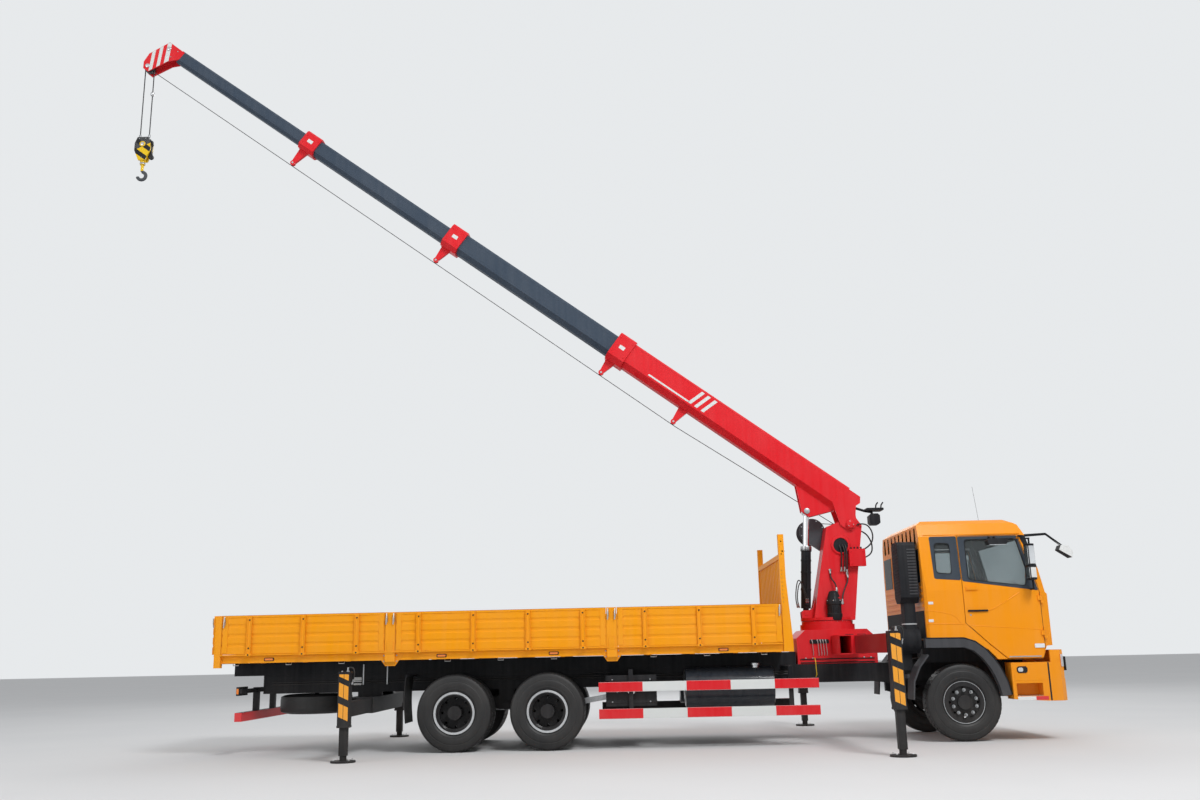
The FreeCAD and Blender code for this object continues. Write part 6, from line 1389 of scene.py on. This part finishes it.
class TRUCK_OT_cylinder_fittings(bpy.types.Operator):
    """Gland rings, feed pipe, valve and foot hoses of the luffing cylinder"""

    bl_idname = "truck.cylinder_fittings"
    bl_label = "Luffing cylinder fittings"

    def execute(self, context):
        foot = Vector((-1.94, 0.0, 1.82))
        lean = (Vector((-1.84, 0.0, 3.37)) - foot).normalized()
        place = Matrix((Vector((lean.z, 0, -lean.x)), Vector((0, 1, 0)), lean)).transposed().to_4x4()
        place.translation = foot
        maker = Maker("chassis_black", "zinc", "hose", "steel_bright", place=place)
        out = -0.075
        pipe = [(0, out - 0.006, 0.20), (0, out - 0.02, 0.22), (0, out - 0.02, 0.86), (0, out + 0.004, 0.885)]
        maker.tube(pipe, 0.008, 0, 10)
        for height in (0.36, 0.62, 0.80):
            low, high = height - 0.014, height + 0.014
            band = [(low, 0.074), (low, 0.080), (high, 0.080), (high, 0.074)]
            maker.turn("z", (0, 0, 0), band, 0, 36, ring=True)
            maker.block((-0.012, 0.012), (out - 0.032, out + 0.004), (height - 0.010, height + 0.010), 0)
        gland = [(1.004, 0.082), (1.016, 0.078), (1.016, 0.052), (1.004, 0.050)]
        maker.turn("z", (0, 0, 0), gland, 3, 36, ring=True)
        maker.block((-0.03, 0.03), (out - 0.045, out + 0.012), (0.13, 0.215), 0)
        maker.place = Matrix()
        for across, far in ((-0.012, 0.20), (0.012, 0.15)):
            start = place @ Vector((across, out - 0.04, 0.17))
            points = [
                start, start + Vector((0.0, -0.03, 0.02)), start + Vector((-0.10, -0.03, 0.22 + far)),
                start + Vector((-0.17, 0.02, 0.05)), start + Vector((-0.13, 0.05, -0.07)),
            ]
            draw_hose(maker, points, 0.008, 2, 1)
        maker.piece("cylinder_fittings", "barrel", bevel=0.001, smooth=45)
        return {"FINISHED"}


class TRUCK_OT_winch_fittings(bpy.types.Operator):
    """Rope wound on the winch drum, bolts on its cheeks and the rope's way to the boom pivot"""

    bl_idname = "truck.winch_fittings"
    bl_label = "Winch rope and bolts"

    def execute(self, context):
        rope = context.scene.truck_sizes.rope_radius
        centre = Vector((-1.735, 0.0, 3.08))
        maker = Maker("wire_rope", "steel_bright", "winch_grey")
        inner, outer = 0.207, 0.475
        turns = int((outer - inner) / (2 * rope))
        path = []
        for step in range(turns * 16 + 1):
            angle = 2 * math.pi * step / 16
            across = inner + rope + (outer - inner - 2 * rope) * step / (turns * 16)
            path.append(centre + Vector((0.135 * math.cos(angle), across, 0.135 * math.sin(angle))))
        maker.tube(path, rope, 0, 6)
        for cheek, outward in ((0.19, -1), (0.494, 1)):
            for step in range(8):
                angle = math.radians(45 * step + 20)
                spot = centre + Vector(
                    (0.175 * math.cos(angle), cheek - outward * 0.002, 0.175 * math.sin(angle))
                )
                maker.bolt("y", spot, 0.012, outward * 0.012, 1)
        pulley = LUFF_PIN + Vector((0, 0.262, 0))
        groove = [(-0.016, 0.05), (-0.012, 0.05), (-0.006, 0.04), (0.006, 0.04), (0.012, 0.05), (0.016, 0.05)]
        maker.turn("y", pulley, groove, 2, 28)
        maker.tube([centre + Vector((0.0, 0.262, 0.138)), pulley + Vector((-0.02, 0, 0.042))], rope, 0, 8)
        maker.piece("winch_fittings", "column", smooth=50)
        return {"FINISHED"}


BOOM_SECTIONS = [
    # body, half width, underside, top, outer end, inner end that can be seen
    ("boom", 0.170, 0.050, 0.475, -4.61, -0.45),
    ("section_2", 0.145, 0.078, 0.430, -7.94, -4.63),
    ("section_3", 0.1225, 0.099, 0.371, -10.98, -7.96),
    ("section_4", 0.1025, 0.117, 0.337, -13.75, -11.0),
]
ROPE_LINE = -0.243
BOOM_STRIPES = (-3.08, -2.965, -2.84)
HEAD_OUTLINE = [
    (-13.69, 0.317), (-14.03, 0.331), (-14.19, -0.04), (-14.17, -0.21), (-14.10, -0.31), (-13.99, -0.315),
    (-13.825, 0.03), (-13.69, 0.167),
]
HEAD_BANDS = ((-14.156, -14.09), (-14.02, -13.955), (-13.885, -13.80))


class TRUCK_OT_boom_marks(bpy.types.Operator):
    """White line and stripes of the base boom, blank plates, seams and clips of every section"""

    bl_idname = "truck.boom_marks"
    bl_label = "Boom marks and clips"

    def execute(self, context):
        finishes = ("marking_white", "boom_grey", "trim_black", "steel_bright", "crane_red", "plate_bare")
        for body, half, low, top, outer, inner in BOOM_SECTIONS:
            maker = Maker(*finishes, place=IN_BOOM)
            face_low, face_high = low + 0.2 * (top - low), top - 0.03
            for side in maker.sides():
                if body == "boom":
                    self.draw_stripes(maker, half)
                else:
                    for share in (0.12, 0.86):
                        z = face_low + (face_high - face_low) * share
                        maker.block((inner - 0.02, outer + 0.33), (half, half + 0.0004), (z, z + 0.006), 1)
                if body != "section_4":
                    self.draw_collar(maker, outer + 0.15, half + 0.028, face_low, face_high)
            if body == "boom":
                self.draw_clips(maker, half * 0.5, top)
                line = [(outer + 0.4, half * 0.45, top + 0.007), (inner - 0.1, half * 0.45, top + 0.007)]
                maker.tube(line, 0.007, 2, 8)
            maker.piece(body + "_marks", body)
        return {"FINISHED"}

    def draw_stripes(self, maker, wall):
        line = [(-3.872, 0.163), (-3.105, 0.163), (-3.093, 0.190), (-3.862, 0.190)]
        maker.prism("y", line, (wall, wall + PLATE), 0)
        for x in BOOM_STRIPES:
            mark = [(x - 0.028, 0.165), (x + 0.028, 0.165), (x + 0.118, 0.430), (x + 0.062, 0.430)]
            maker.prism("y", mark, (wall, wall + PLATE), 0)
        maker.block((-1.9, -4.3), (wall, wall + 0.002), (0.437, 0.443), 4, 0.001)

    def draw_collar(self, maker, spot, wall, low, high):
        """Screws and a blank plate on the collar at a section's outer end."""
        for across in (-0.11, 0.11):
            for z in (low + 0.03, high - 0.02):
                maker.turn("y", (spot + across, wall, z), [(0, 0.013), (0.006, 0.011)], 4, 12)
        centre = (low + high) / 2
        maker.block(
            (spot - 0.05, spot + 0.05), (wall, wall + PLATE), (centre - 0.03, centre + 0.03), 5, 0.006,
        )

    def draw_clips(self, maker, half, top):
        for x in (-2.96, -2.83, -2.69):
            maker.tube([
                (x, -half, top - 0.001), (x, -half, top + 0.012), (x, half, top + 0.012),
                (x, half, top - 0.001),
            ], 0.006, 2, 6)


class TRUCK_OT_boom_rope(bpy.types.Operator):
    """Hoist rope under the boom with its guide pulleys' pins, one stretch on each section"""

    bl_idname = "truck.boom_rope"
    bl_label = "Hoist rope"

    def execute(self, context):
        rope = context.scene.truck_sizes.rope_radius
        starts = {
            "boom": [(0.0, 0.262, -0.046), (-3.05, 0.0, ROPE_LINE), (-4.53, 0.0, ROPE_LINE)],
            "section_2": [(-4.53, 0.0, ROPE_LINE), (-7.86, 0.0, ROPE_LINE)],
            "section_3": [(-7.86, 0.0, ROPE_LINE), (-10.90, 0.0, ROPE_LINE)],
            "section_4": [(-10.90, 0.0, ROPE_LINE), (-13.98, 0.0, ROPE_LINE)],
        }
        pulleys = {"boom": (-3.13, -4.53), "section_2": (-7.86,), "section_3": (-10.90,), "section_4": ()}
        for body, path in starts.items():
            maker = Maker("wire_rope", "steel_bright", place=IN_BOOM)
            maker.tube(path, rope, 0, 8)
            for x in pulleys[body]:
                for side in maker.sides():
                    maker.turn("y", (x, 0.030, -0.195), [(0, 0.018), (0.008, 0.018)], 1, 6)
            maker.piece(body + "_rope", body, smooth=50)
        return {"FINISHED"}


class TRUCK_OT_boom_head(bpy.types.Operator):
    """Slanted white bands, pin heads and screws at the boom head"""

    bl_idname = "truck.boom_head"
    bl_label = "Boom head"

    def execute(self, context):
        inside = [
            (x + (0.004 if x < -14.0 else -0.004), z - 0.003 if z > 0.2 else z)
            for x, z in HEAD_OUTLINE
        ]
        wall = 0.1045
        maker = Maker("marking_white", "steel_bright", "zinc", place=IN_BOOM)
        for side in maker.sides():
            for start, end in HEAD_BANDS:
                band = strip(inside, 0.56, start, end)
                maker.prism("y", band, (wall, wall + PLATE), 0)
            for x, z in ((-14.06, -0.235), (-13.96, 0.227)):
                maker.turn("y", (x, 0.118, z), [(-0.012, 0.036), (0, 0.036), (0.006, 0.028)], 1, 24)
            for x, z in ((-13.80, 0.27), (-13.84, 0.12)):
                maker.turn("y", (x, wall, z), [(0, 0.011), (0.008, 0.009)], 2, 8)
        maker.piece("head_marks", "section_4", smooth=40)
        return {"FINISHED"}


HOOK_CHEEK = [
    (-0.09, -1.31), (0.09, -1.31), (0.135, -1.42), (0.135, -1.55), (0.06, -1.73), (-0.06, -1.73),
    (-0.135, -1.55),
    (-0.135, -1.42),
]


class TRUCK_OT_hook_fittings(bpy.types.Operator):
    """Black stripes, sheave pin, safety latch, rope clamp and the limit weight of the hook block"""

    bl_idname = "truck.hook_fittings"
    bl_label = "Hook block fittings"

    def execute(self, context):
        head = Matrix.Translation((-12.652, 0.0, 11.314))
        maker = Maker("hook_black", "steel_bright", "zinc", "wire_rope", "hook_yellow", place=head)
        wall = 0.062
        cheek = [(z, x) for x, z in HOOK_CHEEK]
        for side in maker.sides():
            for start, end in ((-1.49, -1.40), (-1.69, -1.60)):
                mark = [(x, z) for z, x in strip(cheek, 0.75, start, end)]
                maker.prism("y", mark, (wall, wall + 0.0012), 0)
            maker.turn("y", (0, wall, -1.44), [(-0.002, 0.034), (0.010, 0.034), (0.014, 0.026)], 1, 6)
            maker.turn("y", (0, wall, -1.44), [(0, 0.05), (0.004, 0.05)], 4, 24)
            for x, z in ((-0.055, -1.345), (0.055, -1.345), (0.0, -1.69)):
                maker.bolt("y", (x, wall, z), 0.010, 0.010, 2)
        latch = [(0.005, 0, -1.935), (0.035, 0, -1.975), (0.055, 0, -2.02)]
        maker.tube(latch, 0.006, 2, 8)
        maker.turn("z", (0, 0, 0), [(-1.80, 0.030), (-1.79, 0.046), (-1.765, 0.046), (-1.755, 0.036)], 2, 24)
        for x in (-0.077, 0.077):
            clamp = [(-1.30, 0.012), (-1.295, 0.02), (-1.25, 0.02), (-1.24, 0.012)]
            maker.turn("z", (x, 0, 0), clamp, 2, 16)
        weight = [
            (-0.53, 0.010), (-0.515, 0.028), (-0.495, 0.036), (-0.475, 0.036), (-0.455, 0.028),
            (-0.44, 0.010),
        ]
        maker.turn("z", (0.077, 0, 0), weight, 1, 24)
        keeper = [
            (0.10, -1.36), (0.150, -1.37), (0.160, -1.44), (0.135, -1.47), (0.155, -1.62), (0.120, -1.66),
            (0.105, -1.50),
        ]
        maker.prism("y", keeper, (-0.02, 0.02), 0)
        maker.turn(
            "y", (0.135, 0, -1.66), [(-0.03, 0.03), (-0.024, 0.042), (0.024, 0.042), (0.03, 0.03)], 0, 24,
        )
        maker.piece("hook_fittings", "hook", smooth=45)
        return {"FINISHED"}


class TRUCK_OT_pivot_fittings(bpy.types.Operator):
    """Work lamp with its bracket and stalks, and the pins at the foot of the boom"""

    bl_idname = "truck.pivot_fittings"
    bl_label = "Boom foot fittings"

    def execute(self, context):
        maker = Maker("trim_black", "chassis_black", "lens_clear", "zinc", "crane_red")
        arm = [(-1.10, -0.06, 3.40), (-0.95, -0.06, 3.35), (-0.84, -0.06, 3.33)]
        maker.tube(arm, 0.020, 1, 8)
        maker.block((-0.90, -0.74), (-0.15, 0.03), (3.13, 3.30), 1, 0.03)
        maker.block((-0.95, -0.68), (-0.17, 0.05), (3.345, 3.385), 1, 0.012)
        maker.block((-0.741, -0.736), (-0.13, 0.01), (3.15, 3.28), 2, 0.02)
        maker.block((-0.86, -0.83), (-0.08, -0.04), (3.29, 3.35), 0)
        for x in (-0.78, -0.70):
            maker.tube([(x, -0.06, 3.38), (x + 0.01, -0.06, 3.44), (x + 0.04, -0.06, 3.48)], 0.011, 0, 8)
        wall, ear = 0.212, 0.081
        maker.place = IN_BOOM
        for side in maker.sides():
            maker.turn("y", (0, wall, 0), [(-0.004, 0.060), (0.008, 0.060), (0.012, 0.050)], 4, 32)
            for step in range(3):
                angle = math.radians(120 * step + 20)
                spot = (0.042 * math.cos(angle), wall + 0.006, 0.042 * math.sin(angle))
                maker.bolt("y", spot, 0.009, 0.008, 3)
            maker.turn("y", (-0.643, ear, -0.19), [(-0.004, 0.045), (0.010, 0.045), (0.014, 0.036)], 3, 24)
        maker.piece("pivot_fittings", "boom", bevel=0.002, smooth=45)
        return {"FINISHED"}


# Outriggers, tanks and the rear

def square_collar(maker, x, y, halves, span, paint):
    """A square ring round an upright tube."""
    inner, outer = halves
    rows = []
    for half, z in ((inner, span[0]), (outer, span[0]), (outer, span[1]), (inner, span[1])):
        left, right, rear, front = y + half, y - half, x - half, x + half
        rows.append([(rear, right, z), (front, right, z), (front, left, z), (rear, left, z)])
    maker.faces(rows, paint, looped=True)


LEG_MARKS = [
    # place, middle of the near leg, its distance from the middle plane, marks from top to bottom
    ("front", -1.37, 3.03, ((1.40, 1.48), (1.13, 1.31), (0.86, 1.04), (0.62, 0.77))),
    ("rear", -8.35, 2.33, ((1.045, 1.12), (0.80, 0.97), (0.54, 0.71))),
]
BEAM_PITCH = 0.21


class TRUCK_OT_leg_fittings(bpy.types.Operator):
    """Orange reflecting marks, collars, bolts and hoses of the stabiliser legs"""

    bl_idname = "truck.leg_fittings"
    bl_label = "Stabiliser legs"

    def execute(self, context):
        for place, near, reach, marks in LEG_MARKS:
            for side, name in SIDE_NAMES.items():
                node = f"{place}_beam_{name}"
                middle_x = near if side == NEAR else near - BEAM_PITCH
                wall = reach + 0.075
                low, high = (0.55, 1.49) if place == "front" else (0.43, 1.13)
                maker = Maker("reflector_orange", "chassis_black", "zinc", "hose", place=mirrored(side))
                for bottom, top in marks:
                    for start, end in ((-0.062, -0.003), (0.003, 0.062)):
                        # Both halves of a mark rise towards the rear, and stop below the leg's cap
                        mark = [
                            (middle_x + x, min(z - 0.45 * x, high - 0.006))
                            for x, z in ((start, bottom), (end, bottom), (end, top), (start, top))
                        ]
                        maker.prism("y", mark, (wall, wall + PLATE), 0)
                square_collar(maker, middle_x, reach, (0.0735, 0.079), (low, low + 0.028), 1)
                cap_x, cap_y = (middle_x - 0.079, middle_x + 0.079), (reach - 0.079, reach + 0.079)
                maker.block(cap_x, cap_y, (high - 0.03, high - 0.002), 1)
                for across in (-0.045, 0.045):
                    maker.bolt("z", (middle_x + across, reach, high - 0.003), 0.012, 0.012, 2)
                route = [
                    (middle_x + x, reach, high + z)
                    for x, z in ((0.03, 0), (0.03, 0.055), (0.11, 0.05), (0.12, -0.06), (0.086, -0.15))
                ]
                draw_hose(maker, route, 0.009, 3, 2)
                maker.piece(f"{place}_leg_marks_{name}", node, bevel=0.0008, smooth=40)

                leg = Maker("steel_bright", place=mirrored(side))
                for step in range(4):
                    angle = math.radians(90 * step + 45)
                    spot = (middle_x + 0.137 * math.cos(angle), reach + 0.137 * math.sin(angle), 0.034)
                    leg.bolt("z", spot, 0.012, 0.010, 0)
                leg.piece(f"{place}_pad_bolts_{name}", f"{place}_leg_{name}", smooth=40)
        return {"FINISHED"}


class TRUCK_OT_tank_fittings(bpy.types.Operator):
    """Filler caps, strap clamps, end plates, cover bars and pipes of the tanks"""

    bl_idname = "truck.tank_fittings"
    bl_label = "Tank fittings"

    def execute(self, context):
        maker = Maker("zinc", "chassis_black", "trim_black", "steel_bright", "hose", "plate_bare")
        for side in maker.sides():
            neck = Vector((-2.85, 0.86, 1.055))
            maker.turn(
                "z", neck, [(0, 0.05), (0.03, 0.05), (0.032, 0.062), (0.062, 0.062), (0.068, 0.052)], 3,
                28,
            )
            maker.block((neck.x - 0.008, neck.x + 0.008), (neck.y - 0.05, neck.y + 0.05), (1.12, 1.134), 2)
            for x in (-3.65, -3.23, -2.81):
                maker.block((x - 0.02, x + 0.02), (1.079, 1.092), (0.775, 0.815), 0)
                maker.bolt("y", (x, 1.09, 0.795), 0.009, 0.010, 3)
            for end, outward in ((-3.85, -1), (-2.61, 1)):
                dome = [(0, 0.262), (outward * 0.008, 0.25), (outward * 0.014, 0.20), (outward * 0.016, 0.06)]
                maker.turn("x", (end, 0.80, 0.795), dome, 3, 40)
            low_x, high_x = -4.98, -4.27
            for z in (0.63, 0.93):
                maker.block((low_x - 0.003, high_x + 0.003), (1.13, 1.136), (z - 0.018, z + 0.018), 1)
            for x in (low_x + 0.09, high_x - 0.09):
                for z in (0.63, 0.93):
                    maker.bolt("y", (x, 1.136, z), 0.011, 0.010, 0)
            maker.turn(
                "y", ((low_x + high_x) / 2, 1.13, 0.78), [(0, 0.055), (0.014, 0.055), (0.02, 0.045)], 3,
                28,
            )
            maker.turn("y", (low_x + 0.16, 1.13, 0.78), [(0, 0.022), (0.006, 0.02)], 5, 20)
            for x in (0.02, 0.05):
                pipe = [
                    (low_x + x, 0.60, 0.99), (low_x + x, 0.60, 1.02), (low_x - 0.1 - x, 0.52, 1.03),
                    (low_x - 0.35, 0.45, 1.00),
                ]
                maker.tube(pipe, 0.008, 4, 8)
        maker.piece("tank_fittings", "chassis", bevel=0.0015, smooth=40)
        return {"FINISHED"}


class TRUCK_OT_rear_fittings(bpy.types.Operator):
    """Tail lamps, striped rear bar, bare plates, mudflaps, cables and the spare wheel's nuts"""

    bl_idname = "truck.rear_fittings"
    bl_label = "Rear lamps and mudflaps"

    def execute(self, context):
        finishes = (
            "lens_red", "lens_amber", "lens_clear", "reflector_red", "plate_bare", "trim_black", "zinc",
            "reflector_white",
        )
        maker = Maker(*finishes)
        face = -10.19
        for side in maker.sides():
            for start, end, lens in ((0.775, 0.875, 2), (0.885, 0.995, 0), (1.005, 1.115, 1)):
                maker.block((face - 0.006, face + 0.002), (start, end), (0.842, 0.918), lens, 0.006)
            maker.block((face + 0.004, face + 0.034), (1.129, 1.133), (0.842, 0.918), 1, 0.006)
            maker.block((-10.188, -10.092), (1.1495, 1.152), (0.476, 0.584), 3, 0.004)
        stripes = 8
        step = 2.3 / stripes
        for stripe in range(stripes):
            slanted = [
                (max(-1.148, min(1.148, -1.15 + step * (stripe + share))), z)
                for share, z in ((0, 0.476), (0.5, 0.476), (0.9, 0.584), (0.4, 0.584))
            ]
            maker.prism("x", slanted, (face, face - PLATE), 7)
        maker.block((face - 0.004, face + 0.001), (-0.26, 0.26), (0.845, 0.915), 4, 0.006)
        maker.block((-8.70, -8.58), (-0.432, -0.436), (0.92, 1.03), 4, 0.008)
        for y in (-0.5, 0.5):
            maker.bolt("x", (face, y, 0.53), 0.014, -0.010, 6)
        maker.piece("rear_lamps", "chassis", bevel=0.0012)

        flaps = Maker("hose", "zinc", "chassis_black")
        for x in (-8.48, -8.135):
            flaps.tube([(x, -0.75, 1.215), (x, -0.75, 0.93)], 0.012, 1, 10)
        x, low, top = -7.78, 0.40, 1.05
        steps = 8
        for side in flaps.sides():
            rows = []
            for step in range(steps + 1):
                z = low + (top - low) * step / steps
                bowed = x - 0.02 * math.sin(math.pi * step / steps)
                rear, front = bowed - 0.004, bowed + 0.004
                rows.append([(rear, 0.64, z), (front, 0.64, z), (front, 1.20, z), (rear, 1.20, z)])
            flaps.faces(rows, 0)
            flaps.tube([(x, 0.44, top - 0.01), (x, 1.20, top - 0.01)], 0.018, 2, 10)
            for y in (0.70, 0.92, 1.14):
                flaps.bolt("x", (x - 0.004, y, top - 0.05), 0.012, -0.008, 1)
            path = [(-9.9, 0.425, 0.95), (-6.4, 0.436, 0.96), (-2.3, 0.436, 0.95)]
            flaps.tube(path, 0.012, 0, 8)
            flaps.tube([(x, y, z + 0.03) for x, y, z in path], 0.008, 0, 8)
        flaps.piece("mudflaps", "chassis", bevel=0.001)

        spare = middle("spare_wheel")
        nuts = Maker("zinc", "chassis_black")
        for step in range(10):
            angle = 2 * math.pi * (step + 0.5) / 10
            spot = (spare.x + NUT_CIRCLE * math.cos(angle), NUT_CIRCLE * math.sin(angle), 0.728)
            nuts.turn("z", spot, [(0, 0.013), (-0.003, 0.013)], 0, 12)
        for side in nuts.sides():
            nuts.tube([(spare.x - 0.30, 0.33, 0.874), (spare.x - 0.30, 0.33, 0.90)], 0.02, 1, 8)
        nuts.turn("z", (spare.x, 0, 0.742), [(0, 0.05), (-0.03, 0.05), (-0.036, 0.03)], 1, 20)
        nuts.piece("spare_fittings", "chassis")
        return {"FINISHED"}


class TRUCK_OT_intake_fittings(bpy.types.Operator):
    """Slats of the air intake, its clamps, and the drum's bands and end cover"""

    bl_idname = "truck.intake_fittings"
    bl_label = "Air intake fittings"

    def execute(self, context):
        maker = Maker("trim_black", "fender_grey", "zinc")
        rear = -0.75
        for slat in range(16):
            z = 2.02 + 0.042 * slat
            maker.block((rear - 0.004, rear + 0.002), (-1.03, -0.74), (z, z + 0.018), 0, 0.002)
        outer = -1.06
        for slat in range(16):
            z = 2.02 + 0.042 * slat
            maker.block((-0.62, -0.50), (outer - 0.004, outer + 0.002), (z, z + 0.018), 1, 0.002)
        for z in (1.96, 1.60):
            maker.block((-0.704, -0.536), (-0.984, -0.786), (z, z + 0.02), 2)
        for x in (-0.83, -0.58):
            profile = [(-0.012, 0.188), (-0.012, 0.196), (0.012, 0.196), (0.012, 0.188)]
            maker.turn("x", (x, -0.86, 1.39), profile, 0, 48, ring=True)
        maker.turn(
            "x", (-0.88, -0.86, 1.39), [(0, 0.16), (-0.008, 0.15), (-0.012, 0.10), (-0.012, 0.03)], 1, 36,
        )
        maker.piece("intake_fittings", "chassis", bevel=0.0012, smooth=45)
        return {"FINISHED"}


class TRUCK_OT_stage(bpy.types.Operator):
    """Floor, light and the camera at the photograph's point of view"""

    bl_idname = "truck.stage"
    bl_label = "Stage and camera"

    def execute(self, context):
        tree, shader = new_material("studio_floor")
        place = put(tree, "TexCoord").outputs["Object"]
        cloud = put(tree, "TexNoise", {"Vector": place, "Scale": 0.4, "Detail": 3.0}).outputs[0]
        tone = blend_colours(tree, cloud, (0.66, 0.665, 0.67, 1), (0.72, 0.72, 0.72, 1))
        fill(tree, shader, {
            "Base Color": tone, "Roughness": 0.9,
        })
        reach = 120.0
        data = bpy.data.meshes.new("studio_floor")
        data.from_pydata(
            [(-reach, -reach, 0), (reach, -reach, 0), (reach, reach, 0), (-reach, reach, 0)], [],
            [(0, 1, 2, 3)],
        )
        data.materials.append(MATERIALS["studio_floor"])
        ground = bpy.data.objects.new("studio_floor", data)
        context.scene.collection.objects.link(ground)

        world = bpy.data.worlds.new("studio")
        context.scene.world = world
        world.use_nodes = True
        tree = world.node_tree
        tree.nodes.clear()
        rays = put(tree, "LightPath")
        direction = put(tree, "TexCoord").outputs["Generated"]
        height = put(tree, "SeparateXYZ", {0: direction}).outputs[2]
        sky = put(tree, "MapRange", {"Value": height, "From Min": -0.1, "From Max": 0.8}).outputs[0]
        gradient = blend_colours(tree, sky, (0.80, 0.80, 0.80, 1), (0.95, 0.97, 1.0, 1))
        clear = math_node(tree, "MAXIMUM", rays.outputs["Is Glossy Ray"], rays.outputs["Is Transmission Ray"])
        seen = math_node(tree, "MAXIMUM", rays.outputs["Is Camera Ray"], clear)
        lit = put(tree, "Background", {"Color": gradient, "Strength": 0.55})
        shown = put(tree, "Background", {"Color": (0.80, 0.82, 0.835, 1), "Strength": 1.0})
        mixed = put(tree, "MixShader", {0: seen, 1: lit.outputs[0], 2: shown.outputs[0]})
        output = put(tree, "OutputWorld")
        tree.links.new(mixed.outputs[0], output.inputs[0])

        lamps = [
            # name, place, aim, width, power
            ("key", (9.0, -15.0, 18.0), (0.0, 0.0, 2.0), 6.0, 2700.0),
            ("fill", (-15.0, -14.0, 8.0), (0.0, 0.0, 3.5), 12.0, 700.0),
            ("back", (2.0, 18.0, 14.0), (0.0, 0.0, 4.0), 12.0, 1100.0),
        ]
        for name, spot, aim, width, power in lamps:
            light = bpy.data.lights.new(name, "AREA")
            light.size = width
            light.energy = power
            lamp = bpy.data.objects.new(name, light)
            lamp.location = spot
            lamp.rotation_euler = (Vector(aim) - Vector(spot)).to_track_quat("-Z", "Y").to_euler()
            context.scene.collection.objects.link(lamp)

        # Found by fitting the truck's edges to those in the photograph
        yaw, pitch, roll = 0.0166, 0.2297, -0.0217
        focal_pixels, picture_pixels = 1093.3, 1200
        forward = Vector((-math.sin(yaw) * math.cos(pitch), math.cos(yaw) * math.cos(pitch), math.sin(pitch)))
        level = Vector((math.cos(yaw), math.sin(yaw), 0))
        upward = level.cross(forward)
        right = level * math.cos(roll) + upward * math.sin(roll)
        up = upward * math.cos(roll) - level * math.sin(roll)
        lens = bpy.data.cameras.new("view")
        lens.sensor_width = 36.0
        lens.lens = lens.sensor_width * focal_pixels / picture_pixels
        lens.clip_end = 500.0
        camera = bpy.data.objects.new("view", lens)
        matrix = Matrix((right, up, -forward)).transposed().to_4x4()
        matrix.translation = FRONT_AXLE + Vector((-4.7124, -16.9512, 1.2644))
        camera.matrix_world = matrix
        context.scene.collection.objects.link(camera)
        context.scene.camera = camera
        context.scene.view_settings.view_transform = "Standard"
        return {"FINISHED"}


OPERATORS = [
    # in the order in which they run
    TRUCK_OT_finishes,
    TRUCK_OT_solids,
    TRUCK_OT_tyres,
    TRUCK_OT_wheel_fittings,
    TRUCK_OT_cab_front,
    TRUCK_OT_cab_sides,
    TRUCK_OT_bed_fittings,
    TRUCK_OT_headboard_fittings,
    TRUCK_OT_guard_stripes,
    TRUCK_OT_column_fittings,
    TRUCK_OT_base_fittings,
    TRUCK_OT_cylinder_fittings,
    TRUCK_OT_winch_fittings,
    TRUCK_OT_boom_marks,
    TRUCK_OT_boom_rope,
    TRUCK_OT_boom_head,
    TRUCK_OT_hook_fittings,
    TRUCK_OT_pivot_fittings,
    TRUCK_OT_leg_fittings,
    TRUCK_OT_tank_fittings,
    TRUCK_OT_rear_fittings,
    TRUCK_OT_intake_fittings,
    TRUCK_OT_stage,
]


class TRUCK_PT_panel(bpy.types.Panel):
    """Lists the colours, sizes and pieces"""

    bl_idname = "TRUCK_PT_panel"
    bl_label = "Truck crane"
    bl_space_type = "VIEW_3D"
    bl_region_type = "UI"
    bl_category = "Truck crane"

    def draw(self, context):
        for settings in (context.scene.truck_colours, context.scene.truck_sizes):
            box = self.layout.box()
            for name in settings.__annotations__:
                box.prop(settings, name)
        for operator in OPERATORS:
            self.layout.operator(operator.bl_idname)


def register():
    for group in (TruckColours, TruckSizes):
        bpy.utils.register_class(group)
    bpy.types.Scene.truck_colours = bpy.props.PointerProperty(type=TruckColours)
    bpy.types.Scene.truck_sizes = bpy.props.PointerProperty(type=TruckSizes)
    for operator in OPERATORS:
        bpy.utils.register_class(operator)
    bpy.utils.register_class(TRUCK_PT_panel)


def unregister():
    bpy.utils.unregister_class(TRUCK_PT_panel)
    for operator in reversed(OPERATORS):
        bpy.utils.unregister_class(operator)
    del bpy.types.Scene.truck_sizes
    del bpy.types.Scene.truck_colours
    for group in (TruckSizes, TruckColours):
        bpy.utils.unregister_class(group)


def main():
    register()
    for operator in OPERATORS:
        category, name = operator.bl_idname.split(".")
        getattr(getattr(bpy.ops, category), name)()


if __name__ == "__main__":
    main()
